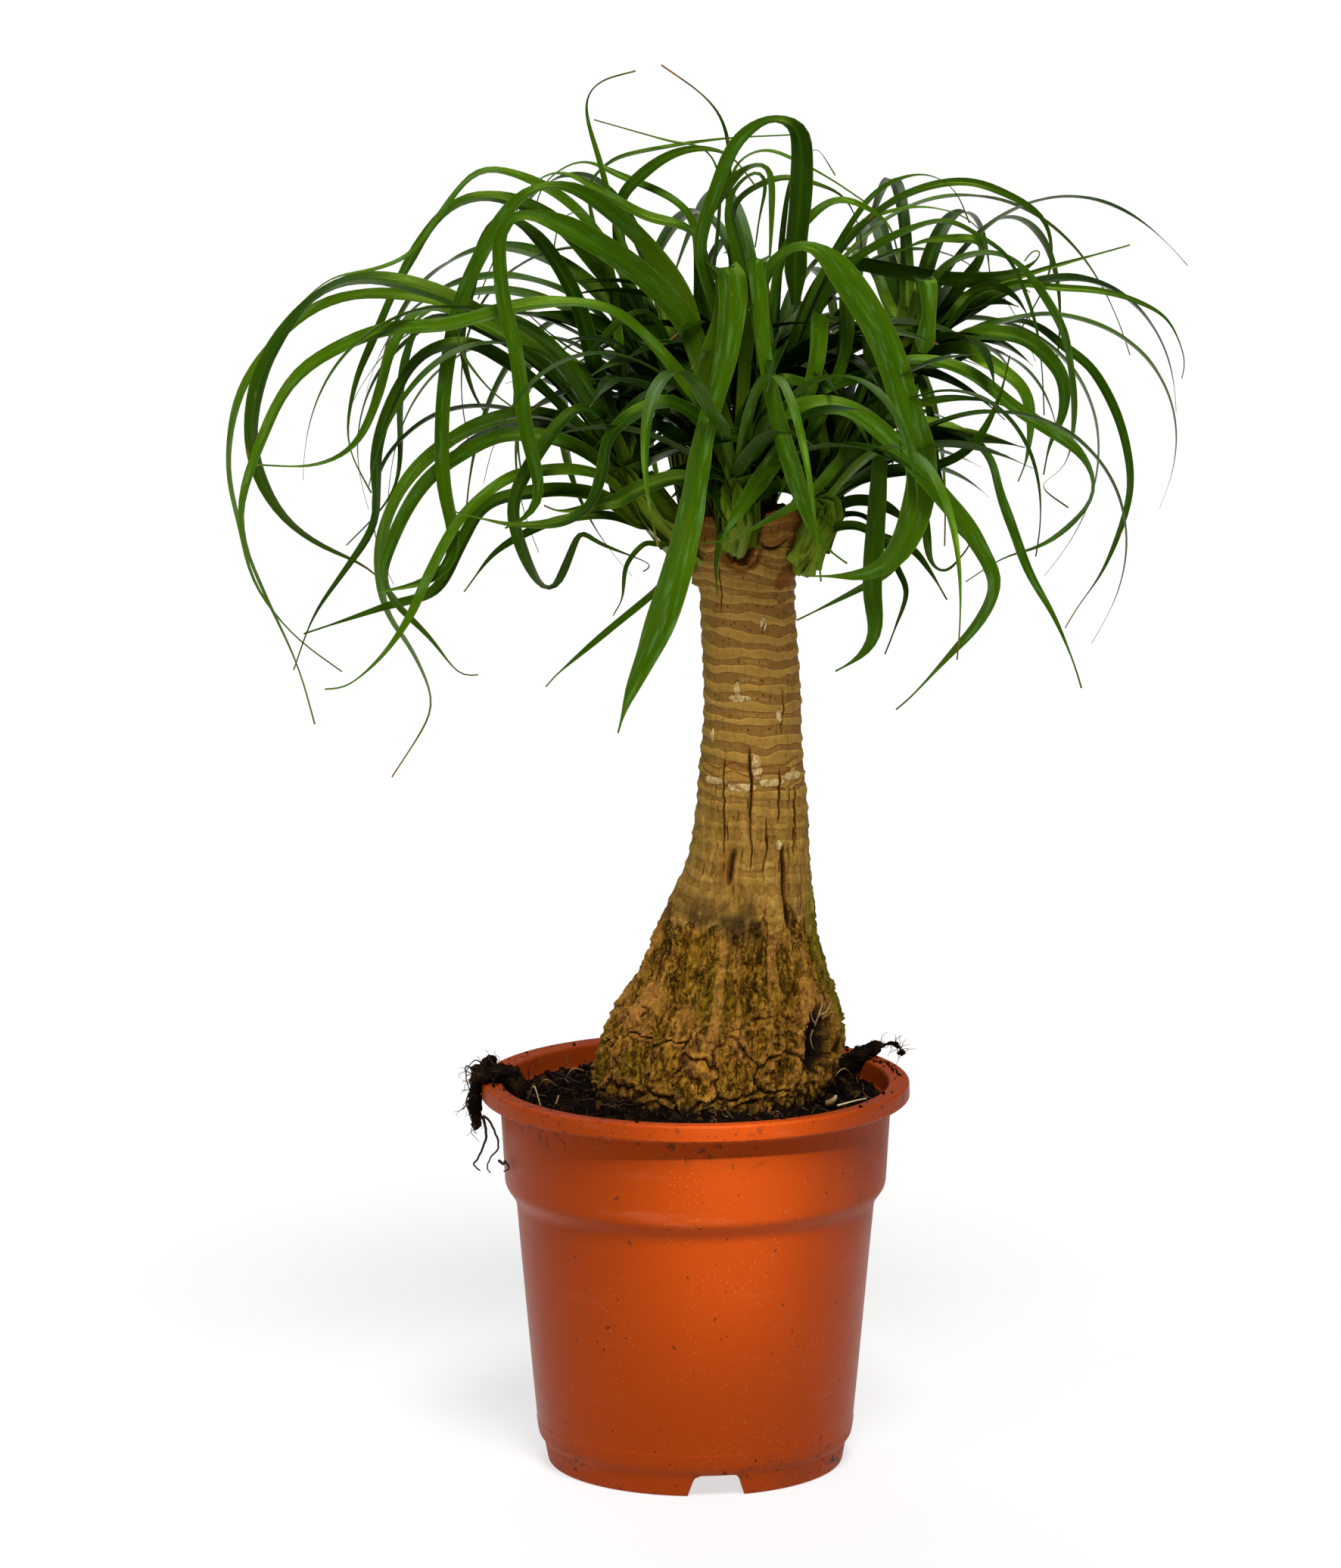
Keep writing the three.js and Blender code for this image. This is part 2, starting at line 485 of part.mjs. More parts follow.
// Leaves with a course of their own: width in mm; how far the upper face is turned to the front at the root
// and at the tip, in degrees; depth behind the pot's axis at root, middle and tip, in cm; then the course from
// root to tip as x and z in cm.
const COURSES = {
  front: [
    [13, [12, 80], [-3, -5.4, -8.2], [1.7, 43, 1, 46.5, 0.35, 49.5, 0.15, 51.8, 0.65, 53.1, 1.25, 53.4, 1.6, 52.5,
      1.5, 51, 1.3, 49.4, 0.9, 47.8, 0.4, 46.3, 0.1, 44.8, -0.4, 41.8, -1.15, 38.9, -2.05, 36.4, -2.95, 34.3,
      -3.4, 32.7]],
    [9, [40, 65], [-3.2, -4.6, -5], [1.95, 42.4, 1.7, 43.3, 1.2, 43.95, 0.6, 44.1, 0, 43.95, -1, 43.95,
      -2.5, 43.45, -3.3, 43, -4, 42.8, -5.8, 42.5, -6.6, 42.75]],
    [11, [50, 70], [-3, -4.6, -3], [2, 42.3, 2, 43.6, 2.15, 44.8, 2.6, 45.9, 3.3, 46.6, 4.3, 47, 6.3, 47.1,
      8, 46, 9.4, 44.6, 10.6, 43.2, 11.8, 41.8, 12.75, 40.1, 13.05, 39.3, 12.4, 37.7, 11.1, 36.2, 9.4, 34.3,
      8.75, 33.75]],
    [8, [70, 60], [-2.9, -1.4, -1.2], [1.8, 43, 1.6, 45, 1.35, 46.6, 1.35, 48.3, 2.1, 51.6, 1.9, 53.5, 1.45, 55.5,
      1.7, 56.5, 2.3, 57.1, 2.75, 57.3, 3, 56.7, 2.75, 55.4, 2.55, 54]],
    [3, [60, 60], [-3.3, -3.9, -3.5], [1.9, 42, 1.5, 41.8, 1.1, 41.3, 0.92, 40.5, 0.9, 39.6, 0.97, 38.8]],
    [6, [50, 50], [-3.2, -3.8, -4], [1.6, 41.9, 1.15, 42.4, 0.85, 43.1, 0.35, 43.6, -0.5, 43.5, -1.3, 42.9]],
    [11, [60, 75], [-3, -4, -5.6], [1.6, 43.2, 1.2, 45.5, 0, 49.6, -0.65, 51, -1.8, 52.3, -3.1, 53.4, -5.55, 54.85,
      -7.5, 55.5, -8.15, 55.2, -8.5, 54.3, -8.3, 51.6, -7.75, 49.4, -7.4, 46.3, -6.85, 44, -6.8, 42.9,
      -7.55, 42.05, -8.3, 41.75]],
    [8, [50, 60], [-3, -3.6, -2.4], [1.7, 43.4, 1.8, 45.4, 2, 46.9, 2.5, 47.8, 3.2, 48.2, 4.2, 48.15, 5.2, 47.8,
      6.2, 47.3, 7, 46.4, 7.6, 45.2, 7.9, 44.2]],
    [10, [40, 80], [-2.7, -5.2, -6.8], [1.9, 43, 2.6, 46, 3.1, 49, 3.2, 51.5, 3, 53.3, 2.65, 53.85, 2.55, 53.2,
      2.7, 52, 2.95, 49.4, 3.6, 46.5, 4.4, 43.8, 5.1, 41.8, 5.65, 40.9, 6.6, 40.2]],
    [14, [45, 80], [-2.6, -3.9, -4.4], [2, 43.2, 2.1, 46, 2.2, 49, 2.5, 51.3, 3.1, 52.9, 3.75, 53.8, 4.5, 54.2,
      5.1, 54, 5.9, 53.3, 7.3, 51.35, 8.35, 49.3, 9.05, 47, 9.75, 45, 9.65, 42.9, 8.85, 40.8, 7.5, 39.75,
      4.9, 39.65]],
    [8, [60, 60], [-3, -3.4, -3.2], [1.5, 43.5, 0.9, 46, -0.2, 47.7, -1.2, 49, -2.2, 50.1, -3.2, 51, -4.4, 51.5,
      -7.5, 51.5, -10.7, 50.6, -13, 50.5, -14.9, 49.9, -17.3, 48.4, -18.9, 45.4, -19.8, 42.2, -18.95, 39.35,
      -17.4, 35.8, -16.65, 33.1]],
    [9, [40, 75], [-3.4, -6, -6], [1.6, 43.6, 1, 45.3, 0.2, 46.5, -0.7, 47.1, -1.4, 47.3, -2.7, 46.75, -3.75, 45.7,
      -4.05, 44.2, -4.6, 42.7, -5.9, 42, -7.9, 41.9, -9, 42.1, -10.6, 42.5]],
  ],
  left: [
    [12, [50, 60], [-0.6, 0.4, 0], [-2.6, 43.2, -3.9, 45.6, -5.3, 47.8, -7, 49.4, -10.3, 51.6, -12.9, 52.45,
      -14.5, 52.6, -16.5, 51.8, -18.5, 49.2, -19.25, 46.5, -19.05, 44.35, -18, 42.35, -16.4, 41.05, -14.2, 40,
      -12.84, 38.44]],
    [6, [50, 60], [-0.3, 1.8, 2], [-2.6, 43.4, -3.8, 46.2, -5.2, 48.6, -7, 50.2, -9, 51.2, -13, 52, -16.1, 51.6,
      -18.5, 49.6, -19.85, 47.4, -20.3, 44.4, -19.85, 42, -19.25, 39.4, -17.6, 37.1, -15.45, 35.44]],
    [7, [50, 60], [-0.6, -1.6, -2], [-2.7, 43.2, -4.2, 46, -6.2, 48.6, -8.6, 50.3, -10.8, 51.2, -12, 51.2,
      -13.15, 49.6, -13.8, 47.4, -14.8, 45.4, -16.6, 44.5, -19.4, 44.55]],
    [7, [50, 60], [-0.6, 0.9, 0.6], [-2.8, 43.4, -4.6, 46.4, -6.8, 48.8, -9, 50.3, -10.9, 51, -12.05, 50.5,
      -12.75, 48, -12.85, 44.4, -13.5, 42.8, -15.2, 41]],
    [8, [50, 60], [-0.7, -2.3, -2.5], [-2.8, 43, -4.6, 45.6, -6.6, 47.8, -8.6, 49.3, -10, 49.9, -11.9, 49.3,
      -13.2, 47.2, -13.85, 45, -13.9, 42.1, -15.2, 40, -16.65, 37.9, -17.55, 35.5]],
    [9, [45, 60], [-0.8, -1, -1.5], [-2.7, 43, -3.6, 44.8, -5, 46.1, -6.3, 46.6, -7.6, 46.75, -10, 46, -12.5, 43.9,
      -13.7, 41, -13.5, 38.3, -12.4, 36.5, -11.55, 34.5, -11.7, 33.3, -13.3, 30.75]],
    [8, [45, 60], [-1, -2.6, -3], [-2.6, 42.6, -3.9, 44.4, -5.6, 45.5, -7.45, 45.85, -9, 45.6, -11.7, 43.8,
      -13.3, 40.9, -13.4, 39, -11.55, 36.9, -10.3, 35.3, -9.5, 35.3]],
    [6, [45, 60], [-1.1, -3.6, -4], [-2.6, 42.3, -3.7, 43.8, -5.2, 44.3, -6.7, 44.25, -8.2, 43.9, -10.2, 42.2,
      -11.6, 39.75, -12.5, 37.8, -13.7, 36.1, -15.2, 34.8, -16.2, 34.65]],
    [8, [55, 60], [-1.1, -2, -1], [-2.6, 42, -3.9, 43, -5.2, 43.35, -6.7, 43.35, -9, 42.8, -10.2, 41.1, -11.3, 39,
      -13.5, 38.3, -17.1, 37.1]],
    [5, [50, 60], [-1, -1.8, -2.2], [-2.3, 41.8, -3.8, 42.3, -5.4, 42.2, -6.8, 41.8, -8.7, 40.7, -10.1, 38.95]],
    [8, [45, 75], [-0.9, -4.6, -3.6], [-2.8, 43.5, -3.4, 45.4, -4, 46.6, -4.8, 47.05, -5.6, 46.65, -7, 44.8,
      -7.9, 42.8, -7.55, 40.9, -6.7, 39.25, -6.15, 39.2, -5.3, 41.1, -5, 41.75, -4.4, 41.2, -2.7, 40.5,
      -1.75, 40.1, -2.3, 39.85]],
    [3, [60, 60], [-0.9, -2, -2.5], [-1, 41, -1.7, 41.05, -2.3, 41, -3, 40.1, -3.2, 38.7, -3.6, 37.9]],
    [4, [60, 60], [-0.7, -1.5, -2], [-0.8, 41.2, -1.1, 40, -1.6, 39.1, -3.75, 37.3, -5.9, 35.45, -6.55, 34.75]],
    [9, [60, 60], [-0.3, 1, 0.6], [-2.7, 43.6, -3.6, 46.2, -4.4, 48.8, -5.1, 51.5, -6.4, 53.85, -7.9, 55.2,
      -8.9, 54.9, -9.9, 51.5, -10.1, 49.5, -9.3, 47, -7.45, 45.5]],
    [6, [65, 60], [-0.1, 1.6, 2.2], [-2.6, 43.6, -3, 46.5, -3.3, 49, -3.75, 53, -4.7, 55.4, -5.8, 55.2, -6.2, 53.6]],
    [4, [50, 60], [-0.4, -2.7, -3.6], [-2.6, 43.6, -4.4, 47.5, -6.6, 50.2, -8.8, 51.2, -10.1, 50.6, -10.2, 49.6,
      -9, 47.9, -7.6, 46.8]],
  ],
  right: [
    [8, [40, 60], [-1.2, -2.9, -3], [4.9, 41.8, 4.75, 42.8, 4.35, 43.35, 3.8, 43.55, 3.15, 43.45, 2.6, 43,
      2.35, 42.4, 2.4, 42.05]],
    [9, [40, 75], [-1.2, -3, -5.6], [4.9, 41.6, 5.3, 44, 5.6, 47, 5.7, 49.5, 5.6, 51, 5.4, 51.35, 5.3, 50.4,
      5.25, 49.2, 4.55, 46.8, 3.45, 44.8, 2.4, 43.3, 1.4, 41.8, 1.1, 41.05]],
    [8, [40, 75], [-1.1, -2.1, -4.7], [5.2, 42, 5.9, 45, 6.5, 48.5, 6.8, 51, 6.75, 52.2, 6.5, 52, 6.55, 50.8,
      6.4, 49.2, 5.4, 46.6, 4.3, 44.7, 3.5, 42.9]],
    [10, [40, 75], [-1, -2.4, -3.4], [5.2, 42, 6.2, 45.4, 7, 49, 7.4, 51, 7.6, 51.6, 7.7, 51, 7.75, 49, 7.95, 45.3,
      7.8, 42, 7.65, 39, 7.85, 37.2, 7.2, 36.1, 6.1, 35.45]],
    [7, [50, 75], [-1, -2.7, -5.8], [5.3, 42.5, 6.3, 44.8, 7, 47, 7.4, 48.2, 7.5, 47.6, 6.8, 45.7, 5.75, 44.15,
      4.6, 43, 3.15, 42.15, 1.6, 41.3, -0.1, 41.05]],
    [7, [50, 60], [-1, -1.6, -2.2], [5, 41.3, 5.7, 42.3, 6.5, 42.85, 7.3, 42.95, 8.2, 42.7, 9.1, 41.9, 9, 40.8,
      8.35, 39.85, 7, 39.05, 5.4, 38.2, 4.4, 37.7]],
    [5, [50, 60], [-1.2, -2.2, -2.8], [5, 41.2, 6, 41.75, 7, 41.85, 8, 41.4, 9.35, 40.85, 10.2, 39.85,
      10.95, 38.6]],
    [4, [50, 60], [-0.9, -0.8, -1.2], [5.2, 41.6, 6.4, 42.3, 7.4, 42.2, 8.1, 41.3, 8.75, 40, 9.15, 38.9,
      8.7, 37.4, 8.25, 36.2]],
    [8, [50, 60], [-0.9, -0.8, -1.8], [5.2, 42.3, 6.1, 43.6, 6.9, 45.2, 7.4, 46.7, 8, 48.2, 8.7, 49, 10.5, 49,
      12.1, 48.4, 13.7, 47.1, 15.2, 46.1, 16.6, 45.1, 17.3, 43.5, 16.45, 42.1, 15.05, 41, 13.45, 40.5,
      11.75, 39.4]],
    [7, [50, 60], [-0.9, -2, -3.4], [5.1, 42.3, 6.2, 44.2, 7.4, 45.7, 8.8, 46.4, 10.3, 46.3, 11.75, 45.8,
      12.75, 44.8, 13.15, 43.35, 13.75, 41.75, 14.5, 39.8, 15.6, 37.9, 16.45, 35.95, 16.85, 34.7]],
    [6, [50, 60], [-1, -3, -4], [5.3, 42.6, 6.6, 43.6, 8, 44.1, 10.2, 44.4, 11.6, 45, 12.5, 46, 13.2, 47.6,
      13.6, 49.3]],
    [4, [60, 60], [-1.2, -3.4, -5.6], [5.3, 42.8, 6.3, 45.3, 7.2, 47.6, 7.8, 48.8, 8.1, 48.5, 8.25, 47.3,
      8.9, 45.4, 9.2, 43.45, 9.1, 42.5]],
    [6, [50, 60], [-0.8, 0, -0.8], [5.3, 42.6, 6.6, 44.4, 7.9, 46, 9, 46.9, 10.8, 47.4, 12.5, 47.35, 13.9, 46.9]],
  ],
  right_back: [
    [7, [50, 60], [2.6, 3.6, 3.6], [9.2, 48.6, 9.8, 49.9, 10.8, 51.5, 11.6, 52.6, 12.15, 53.4, 12.3, 54.1,
      11.9, 54.35, 10, 54.3, 8.5, 53.7]],
    [6, [50, 60], [2.5, 1.5, 1], [9.2, 48.6, 9.6, 50.4, 10, 52, 10.6, 53, 11.3, 53.5, 12.9, 53.75, 14.2, 53,
      15.7, 50.8, 16.15, 49.2, 16.4, 46.85, 16.1, 44.65, 15.3, 43.9, 14.9, 43.6, 16.2, 42.65]],
    [9, [50, 60], [2.4, 1.1, 0.4], [9.2, 48.4, 10, 49.05, 10.85, 49.65, 12.1, 50.25, 13.85, 50.15, 15, 49.45,
      15.85, 48.3, 15.9, 46.85, 15.35, 45.4, 15.1, 44.1]],
    [6, [50, 60], [2.6, 2.2, 1], [9.2, 48.3, 10.3, 49.2, 11.3, 49.95, 12.85, 50.65, 14.5, 50.7, 16, 49.6,
      17.15, 48.7, 18.3, 46.6, 18.85, 44.2, 18.65, 42.35, 17.75, 39.95, 16.65, 38.3, 16.1, 37.35]],
    [4, [50, 60], [2.7, 3.4, 3], [9.4, 48.7, 10.65, 50.2, 12.05, 51.5, 13.65, 52.4, 15.5, 52.25, 17.5, 52.1,
      19.2, 51.6, 20.45, 50.8, 21.15, 49.2, 21.05, 48.3]],
    [3, [50, 60], [2.8, 4.5, 5.4], [9.3, 48.8, 10.5, 50.5, 12, 51.9, 14.75, 52.95, 18.75, 54.1]],
    [8, [50, 60], [2.4, 0.6, -0.2], [9.3, 48.5, 10.2, 49.3, 11, 49.65, 11.7, 49.6, 13.2, 48.7, 14.2, 47.75,
      14.5, 46.4, 14.35, 44.8, 14, 43.8]],
    [5, [60, 70], [2.2, -1, -2.2], [9.2, 48.3, 9.6, 48.4, 9.95, 47.5, 10.2, 46.4, 10.45, 44.2, 11.1, 42.2,
      12.1, 40.95, 12.9, 40.5]],
    [6, [50, 60], [2.2, 0, -0.6], [9.2, 48, 9.3, 46.5, 9.5, 44.8, 9.95, 42, 10.2, 40.3, 10.9, 39.85, 11.75, 40.75,
      11.95, 41.1]],
    [9, [70, 70], [2.3, 1, -0.4], [9, 48.6, 9.1, 50, 9.4, 51.4, 9.75, 52.6, 10, 52.3, 10.05, 51, 9.8, 49.4]],
    [7, [50, 60], [2.6, 2.8, 2.6], [9.4, 48.6, 10.6, 50.4, 11.8, 51.9, 12.9, 52.3, 13.85, 51.8, 14.6, 50.6]],
  ],
  back: [
    [10, [55, 75], [2.3, 0.4, -0.6], [2.9, 46, 1.5, 50, 0.4, 53, 0.25, 54.5, 1.3, 57.6, 1.9, 58.7, 3.2, 59.6,
      4.2, 59.3, 4.5, 58.7, 4.5, 56.2, 4.3, 54, 4.3, 51.5]],
    [7, [55, 75], [2.4, 1.4, 0.6], [2.9, 46, 1.2, 50.5, 0.2, 53.8, 0.3, 55, 1.7, 57, 2.8, 57.6, 3.2, 57.1,
      3.25, 55, 3.1, 52]],
    [5, [50, 60], [2.4, 3, 3.2], [2.9, 46, 2, 50, 1.6, 53.5, 1.6, 55.5, 2.1, 56.3, 3.6, 57, 5, 56.8, 6.4, 56.15,
      7.05, 54.8, 7.15, 53.9]],
    [6, [50, 60], [2.3, 1, 0.6], [3.1, 46, 3.3, 50, 3.6, 53, 4.3, 54.6, 5.8, 55.95, 7.1, 55.85, 8.35, 54.9,
      8.8, 53.3]],
    [4, [60, 60], [2.6, 2.2, 2], [2.9, 46, 2, 50.5, 1.4, 55, 1.4, 58, 1.2, 59.2, 0.8, 60, 0, 60.8, -1.5, 61.85]],
    [4, [60, 60], [2.4, 2.6, 3.4], [3.2, 46, 3.5, 51, 3.8, 55, 4.2, 57.2, 5.1, 58.3, 5.5, 57.9, 6, 57.1]],
    [4, [50, 60], [2.6, 3.6, 4.2], [2.9, 46.4, 1.9, 52, 1.5, 56, 1.8, 57.6, 3, 58.2, 4.3, 57.75, 5.8, 56.95,
      7.3, 55.95]],
    [4, [50, 60], [2.3, 1.8, 1.6], [3.3, 46, 4.2, 49.5, 5.2, 52.3, 6.7, 55, 8, 56.55, 9.75, 57.15, 11.1, 56.5,
      11.8, 55.05]],
    [5, [50, 60], [2.4, 2.8, 3.2], [3.3, 46, 4.6, 50, 5.5, 52.6, 7, 54.75, 9.1, 56.3, 11.55, 56.85, 13.5, 56.25,
      14.95, 55.3, 15.35, 54, 15.15, 52.5, 14, 50.35]],
    [5, [50, 60], [2.3, 0.4, 0], [3.3, 46, 5, 50.5, 6.2, 52.8, 7.65, 54, 9.15, 54.75, 10.8, 55.15, 12.3, 54.4,
      13.5, 53.5, 14.55, 51.15, 14.95, 49.1, 15.1, 46.7]],
    [10, [55, 70], [2.5, 3.2, 2.6], [3.2, 46, 4.3, 50, 5.3, 52.4, 6.4, 53.4, 9, 53, 12, 52.65, 13.9, 52.95,
      15, 53.7, 14.6, 54, 14.2, 53.4]],
    [3, [50, 60], [2.7, 4.2, 4.4], [3.3, 46.4, 5, 51.5, 6.2, 54, 7.4, 55.2, 9.5, 55.75, 11.4, 55.4, 12.5, 54.5]],
  ],
  back_left: [
    [12, [50, 75], [2.2, -1.2, -4], [-0.5, 45.6, -0.1, 49, -0.3, 51.3, -1.3, 53, -3.3, 55.2, -5.5, 56.65,
      -7.2, 56.5, -8.4, 55.2, -9.95, 52.3, -10.65, 49.6, -11, 46.7, -10.95, 43.6, -10.45, 41.35, -10.8, 39.9,
      -12.2, 39.25, -13.85, 38.95]],
    [6, [50, 60], [2.5, 2.2, 1], [-0.6, 46, -2.2, 51, -4.3, 54.6, -6, 56.3, -8, 57.2, -9.5, 57.2, -11.1, 55.3,
      -12.3, 53.7, -14, 53, -15.8, 52.65, -17.6, 51.05]],
    [8, [50, 60], [2.5, 3.2, 2.6], [-0.7, 46, -2.6, 50.5, -4.8, 53.8, -6.6, 55.5, -9.2, 56.2, -11, 55.35,
      -12.6, 52.9, -14, 49.85, -14.75, 48.1, -15.1, 45.5, -14.1, 43.3]],
    [7, [60, 60], [2.4, 2.4, 3], [-0.4, 46, 0.2, 50, 0.4, 53, -0.2, 54.7, -2.3, 55.4, -4.2, 56.5, -5.9, 57.25,
      -7.2, 56.6, -7.8, 55.4]],
    [5, [50, 60], [2.6, 3.6, 4.2], [-0.3, 46.4, 0, 51, 0, 54.5, -0.9, 56, -3.3, 57.1, -4.95, 57.7, -6.5, 56.8,
      -7, 55.4]],
    [4, [60, 60], [2.6, 3, 3], [-0.5, 46.4, -1.8, 51, -3.3, 54.5, -4.1, 57.5, -4.75, 60, -4.2, 61.1, -2.6, 61.6]],
    [3, [50, 60], [2.7, 4.4, 4.8], [-0.3, 46.4, 0.6, 52, 1, 56.5, 0.4, 58.2, -1.2, 58.6, -4.4, 59.5]],
    [4, [50, 60], [2.6, 4.8, 4.6], [-0.6, 46.4, -3.4, 52, -4.6, 56.2, -4, 57.4, -2.9, 58, 0.85, 58.65,
      4.05, 58.85]],
    [8, [50, 60], [2.5, 3.2, 2.6], [-0.5, 46.2, -2.8, 52, -3.3, 55.5, -2.45, 57, -0.65, 58.15, 1.3, 58.05,
      2.6, 56.6]],
    [6, [50, 60], [2.1, 0.2, 0], [-0.5, 45.8, -1, 49, -2, 51.1, -3.2, 50.8, -4.3, 49.7, -5, 49.35, -6.25, 50.2,
      -7.15, 51]],
  ],
};

// Leaves that fill the crown where no course is given: how many each shoot has, the longest, the middle of the
// fan and its spread in degrees (0 points to +X, 90 to the back).
const FANS = {
  front: { count: 4, longest: 270, towards: -95, spread: 130, seed: 19 },
  left: { count: 5, longest: 240, towards: 175, spread: 130, seed: 23 },
  right: { count: 4, longest: 240, towards: -20, spread: 110, seed: 37 },
  right_back: { count: 8, longest: 215, towards: 55, spread: 130, seed: 47 },
  back: { count: 12, longest: 300, towards: 85, spread: 150, seed: 59 },
  back_left: { count: 9, longest: 290, towards: 140, spread: 120, seed: 67 },
};

const UP = new THREE.Vector3(0, 0, 1);
const BACK = new THREE.Vector3(0, 1, 0);

// Root-to-tip depth as a curve through its three values.
function depthAt(depths, share) {
  const [root, middle, tip] = depths;
  return root * (1 - share) * (1 - 2 * share) + 4 * middle * share * (1 - share) + tip * share * (2 * share - 1);
}

// A point drawn on the upright plane through the axis, moved along the line of sight to a depth.
function alongSight(x, z, depth) {
  const scale = (VIEW_DISTANCE + depth) / VIEW_DISTANCE;
  return new THREE.Vector3(
    VIEW_SIDE + (x - VIEW_SIDE) * scale,
    depth,
    VIEW_HEIGHT + (z - VIEW_HEIGHT) * scale,
  );
}

function courseLeaf(shoot, [width, faces, depths, flat]) {
  const drawn = [];
  for (let n = 0; n < flat.length; n += 2) drawn.push(new THREE.Vector3(flat[n] * CM, 0, flat[n + 1] * CM));
  const curve = new THREE.CatmullRomCurve3(drawn, false, 'catmullrom');
  const points = curve.getSpacedPoints(STATIONS).map((p, n) => (
    alongSight(p.x, p.z, depthAt(depths, n / STATIONS) * CM)
  ));
  const crest = points.reduce((best, p, n) => (p.z > points[best].z ? n : best), 0);
  const before = points[Math.max(0, crest - 1)];
  const after = points[Math.min(STATIONS, crest + 1)];
  const inside = crest > 0 && crest < STATIONS;
  const side = Math.sign(inside ? after.x - before.x : points[STATIONS].x - points[0].x);
  return { shoot, width, faces, side, across: BACK, points, freedom: 0 };
}

// A leaf that leaves the shoot steeply and bends over under its own weight.
function fanLeaf(shoot, fan, n, draw) {
  const turn = ((n + 0.5) / fan.count - 0.5) * fan.spread + (draw() - 0.5) * 14;
  const heading = THREE.MathUtils.degToRad(fan.towards + turn);
  const out = new THREE.Vector3(Math.cos(heading), Math.sin(heading), 0);
  const length = fan.longest * lerp(0.68, 1, draw());
  const rise = THREE.MathUtils.degToRad(lerp(30, 72, draw()));
  const droop = THREE.MathUtils.degToRad(lerp(120, 175, draw()));
  const width = lerp(5, 10, draw());
  const twist = lerp(-25, 25, draw());
  const drift = lerp(-0.35, 0.35, draw());
  const sideways = new THREE.Vector3(-out.y, out.x, 0);
  const place = new THREE.Vector3(...SHOOTS[shoot].to);
  const points = [place.clone()];
  for (let k = 1; k <= STATIONS; k += 1) {
    const share = k / STATIONS;
    const slope = rise - droop * smooth(share * 0.95) * (0.55 + 0.45 * share);
    place.addScaledVector(out, (Math.cos(slope) * length) / STATIONS);
    place.addScaledVector(UP, (Math.sin(slope) * length) / STATIONS);
    place.addScaledVector(sideways, (drift * share * length) / STATIONS);
    points.push(place.clone());
  }
  return {
    shoot,
    width,
    faces: [twist * 0.3, twist],
    side: 1,
    across: sideways.clone(),
    points,
    freedom: 1,
  };
}

// Leaves that would touch are eased apart. Those with a course of their own only move in depth, so their
// outline from the front stays. Roots stay where they are.
function easeApart(leaves, rounds) {
  const reach = (leaf, n) => 1.8 + 0.3 * leaf.width * bladeWidth(n / STATIONS);
  const hold = (n) => smooth((n / STATIONS - 0.1) / 0.3);
  for (let round = 0; round < rounds; round += 1) {
    const push = leaves.map((leaf) => leaf.points.map(() => new THREE.Vector3()));
    const boxes = leaves.map((leaf) => new THREE.Box3().setFromPoints(leaf.points).expandByScalar(5));
    for (let a = 0; a < leaves.length; a += 1) {
      for (let b = a + 1; b < leaves.length; b += 1) {
        if (!boxes[a].intersectsBox(boxes[b])) continue;
        for (let i = 3; i <= STATIONS; i += 1) {
          for (let j = 3; j <= STATIONS; j += 1) {
            const p = leaves[a].points[i];
            const q = leaves[b].points[j];
            const need = reach(leaves[a], i) + reach(leaves[b], j);
            const dx = p.x - q.x;
            const dy = p.y - q.y;
            const dz = p.z - q.z;
            const apart = Math.sqrt(dx * dx + dy * dy + dz * dz);
            if (apart >= need) continue;
            const way = dy >= 0 ? 1 : -1;
            const amount = 0.5 * (need - apart);
            push[a][i].x += amount * leaves[a].freedom * (dx / (apart + 1));
            push[b][j].x -= amount * leaves[b].freedom * (dx / (apart + 1));
            push[a][i].y += amount * way;
            push[b][j].y -= amount * way;
            push[a][i].z += amount * leaves[a].freedom * (dz / (apart + 1));
            push[b][j].z -= amount * leaves[b].freedom * (dz / (apart + 1));
          }
        }
      }
    }
    leaves.forEach((leaf, a) => {
      for (let pass = 0; pass < 2; pass += 1) {
        const old = push[a].map((v) => v.clone());
        for (let n = 1; n < STATIONS; n += 1) {
          push[a][n].copy(old[n]).multiplyScalar(2).add(old[n - 1]).add(old[n + 1]).multiplyScalar(0.25);
        }
      }
      leaf.points.forEach((p, n) => p.addScaledVector(push[a][n].clampLength(0, EASE_LIMIT), 0.5 * hold(n)));
    });
  }
}

// Width along the blade as a share of its widest: a clasping root, parallel sides and a long drawn-out tip.
function bladeWidth(share) {
  const root = 0.75 + 0.25 * smooth(share / 0.2);
  return root * Math.max(0.12, 1 - smooth((share - 0.35) / 0.75) ** 0.9);
}

// Upper-face direction at each station: turned from the leaf's own bending plane towards the front.
function upperFaces(leaf) {
  const { points, faces, side, across } = leaf;
  const raw = points.map((p, n) => {
    const along = points[Math.min(STATIONS, n + 1)].clone().sub(points[Math.max(0, n - 1)]).normalize();
    const sideways = across.clone().addScaledVector(along, -across.dot(along)).normalize();
    const inPlane = along.clone().cross(sideways).multiplyScalar(side);
    const turn = THREE.MathUtils.degToRad(lerp(faces[0], faces[1], n / STATIONS));
    return inPlane.multiplyScalar(Math.cos(turn)).addScaledVector(sideways, -Math.sin(turn));
  });
  return raw.map((v, n) => v.clone().add(raw[Math.max(0, n - 1)]).add(raw[Math.min(STATIONS, n + 1)]).normalize());
}

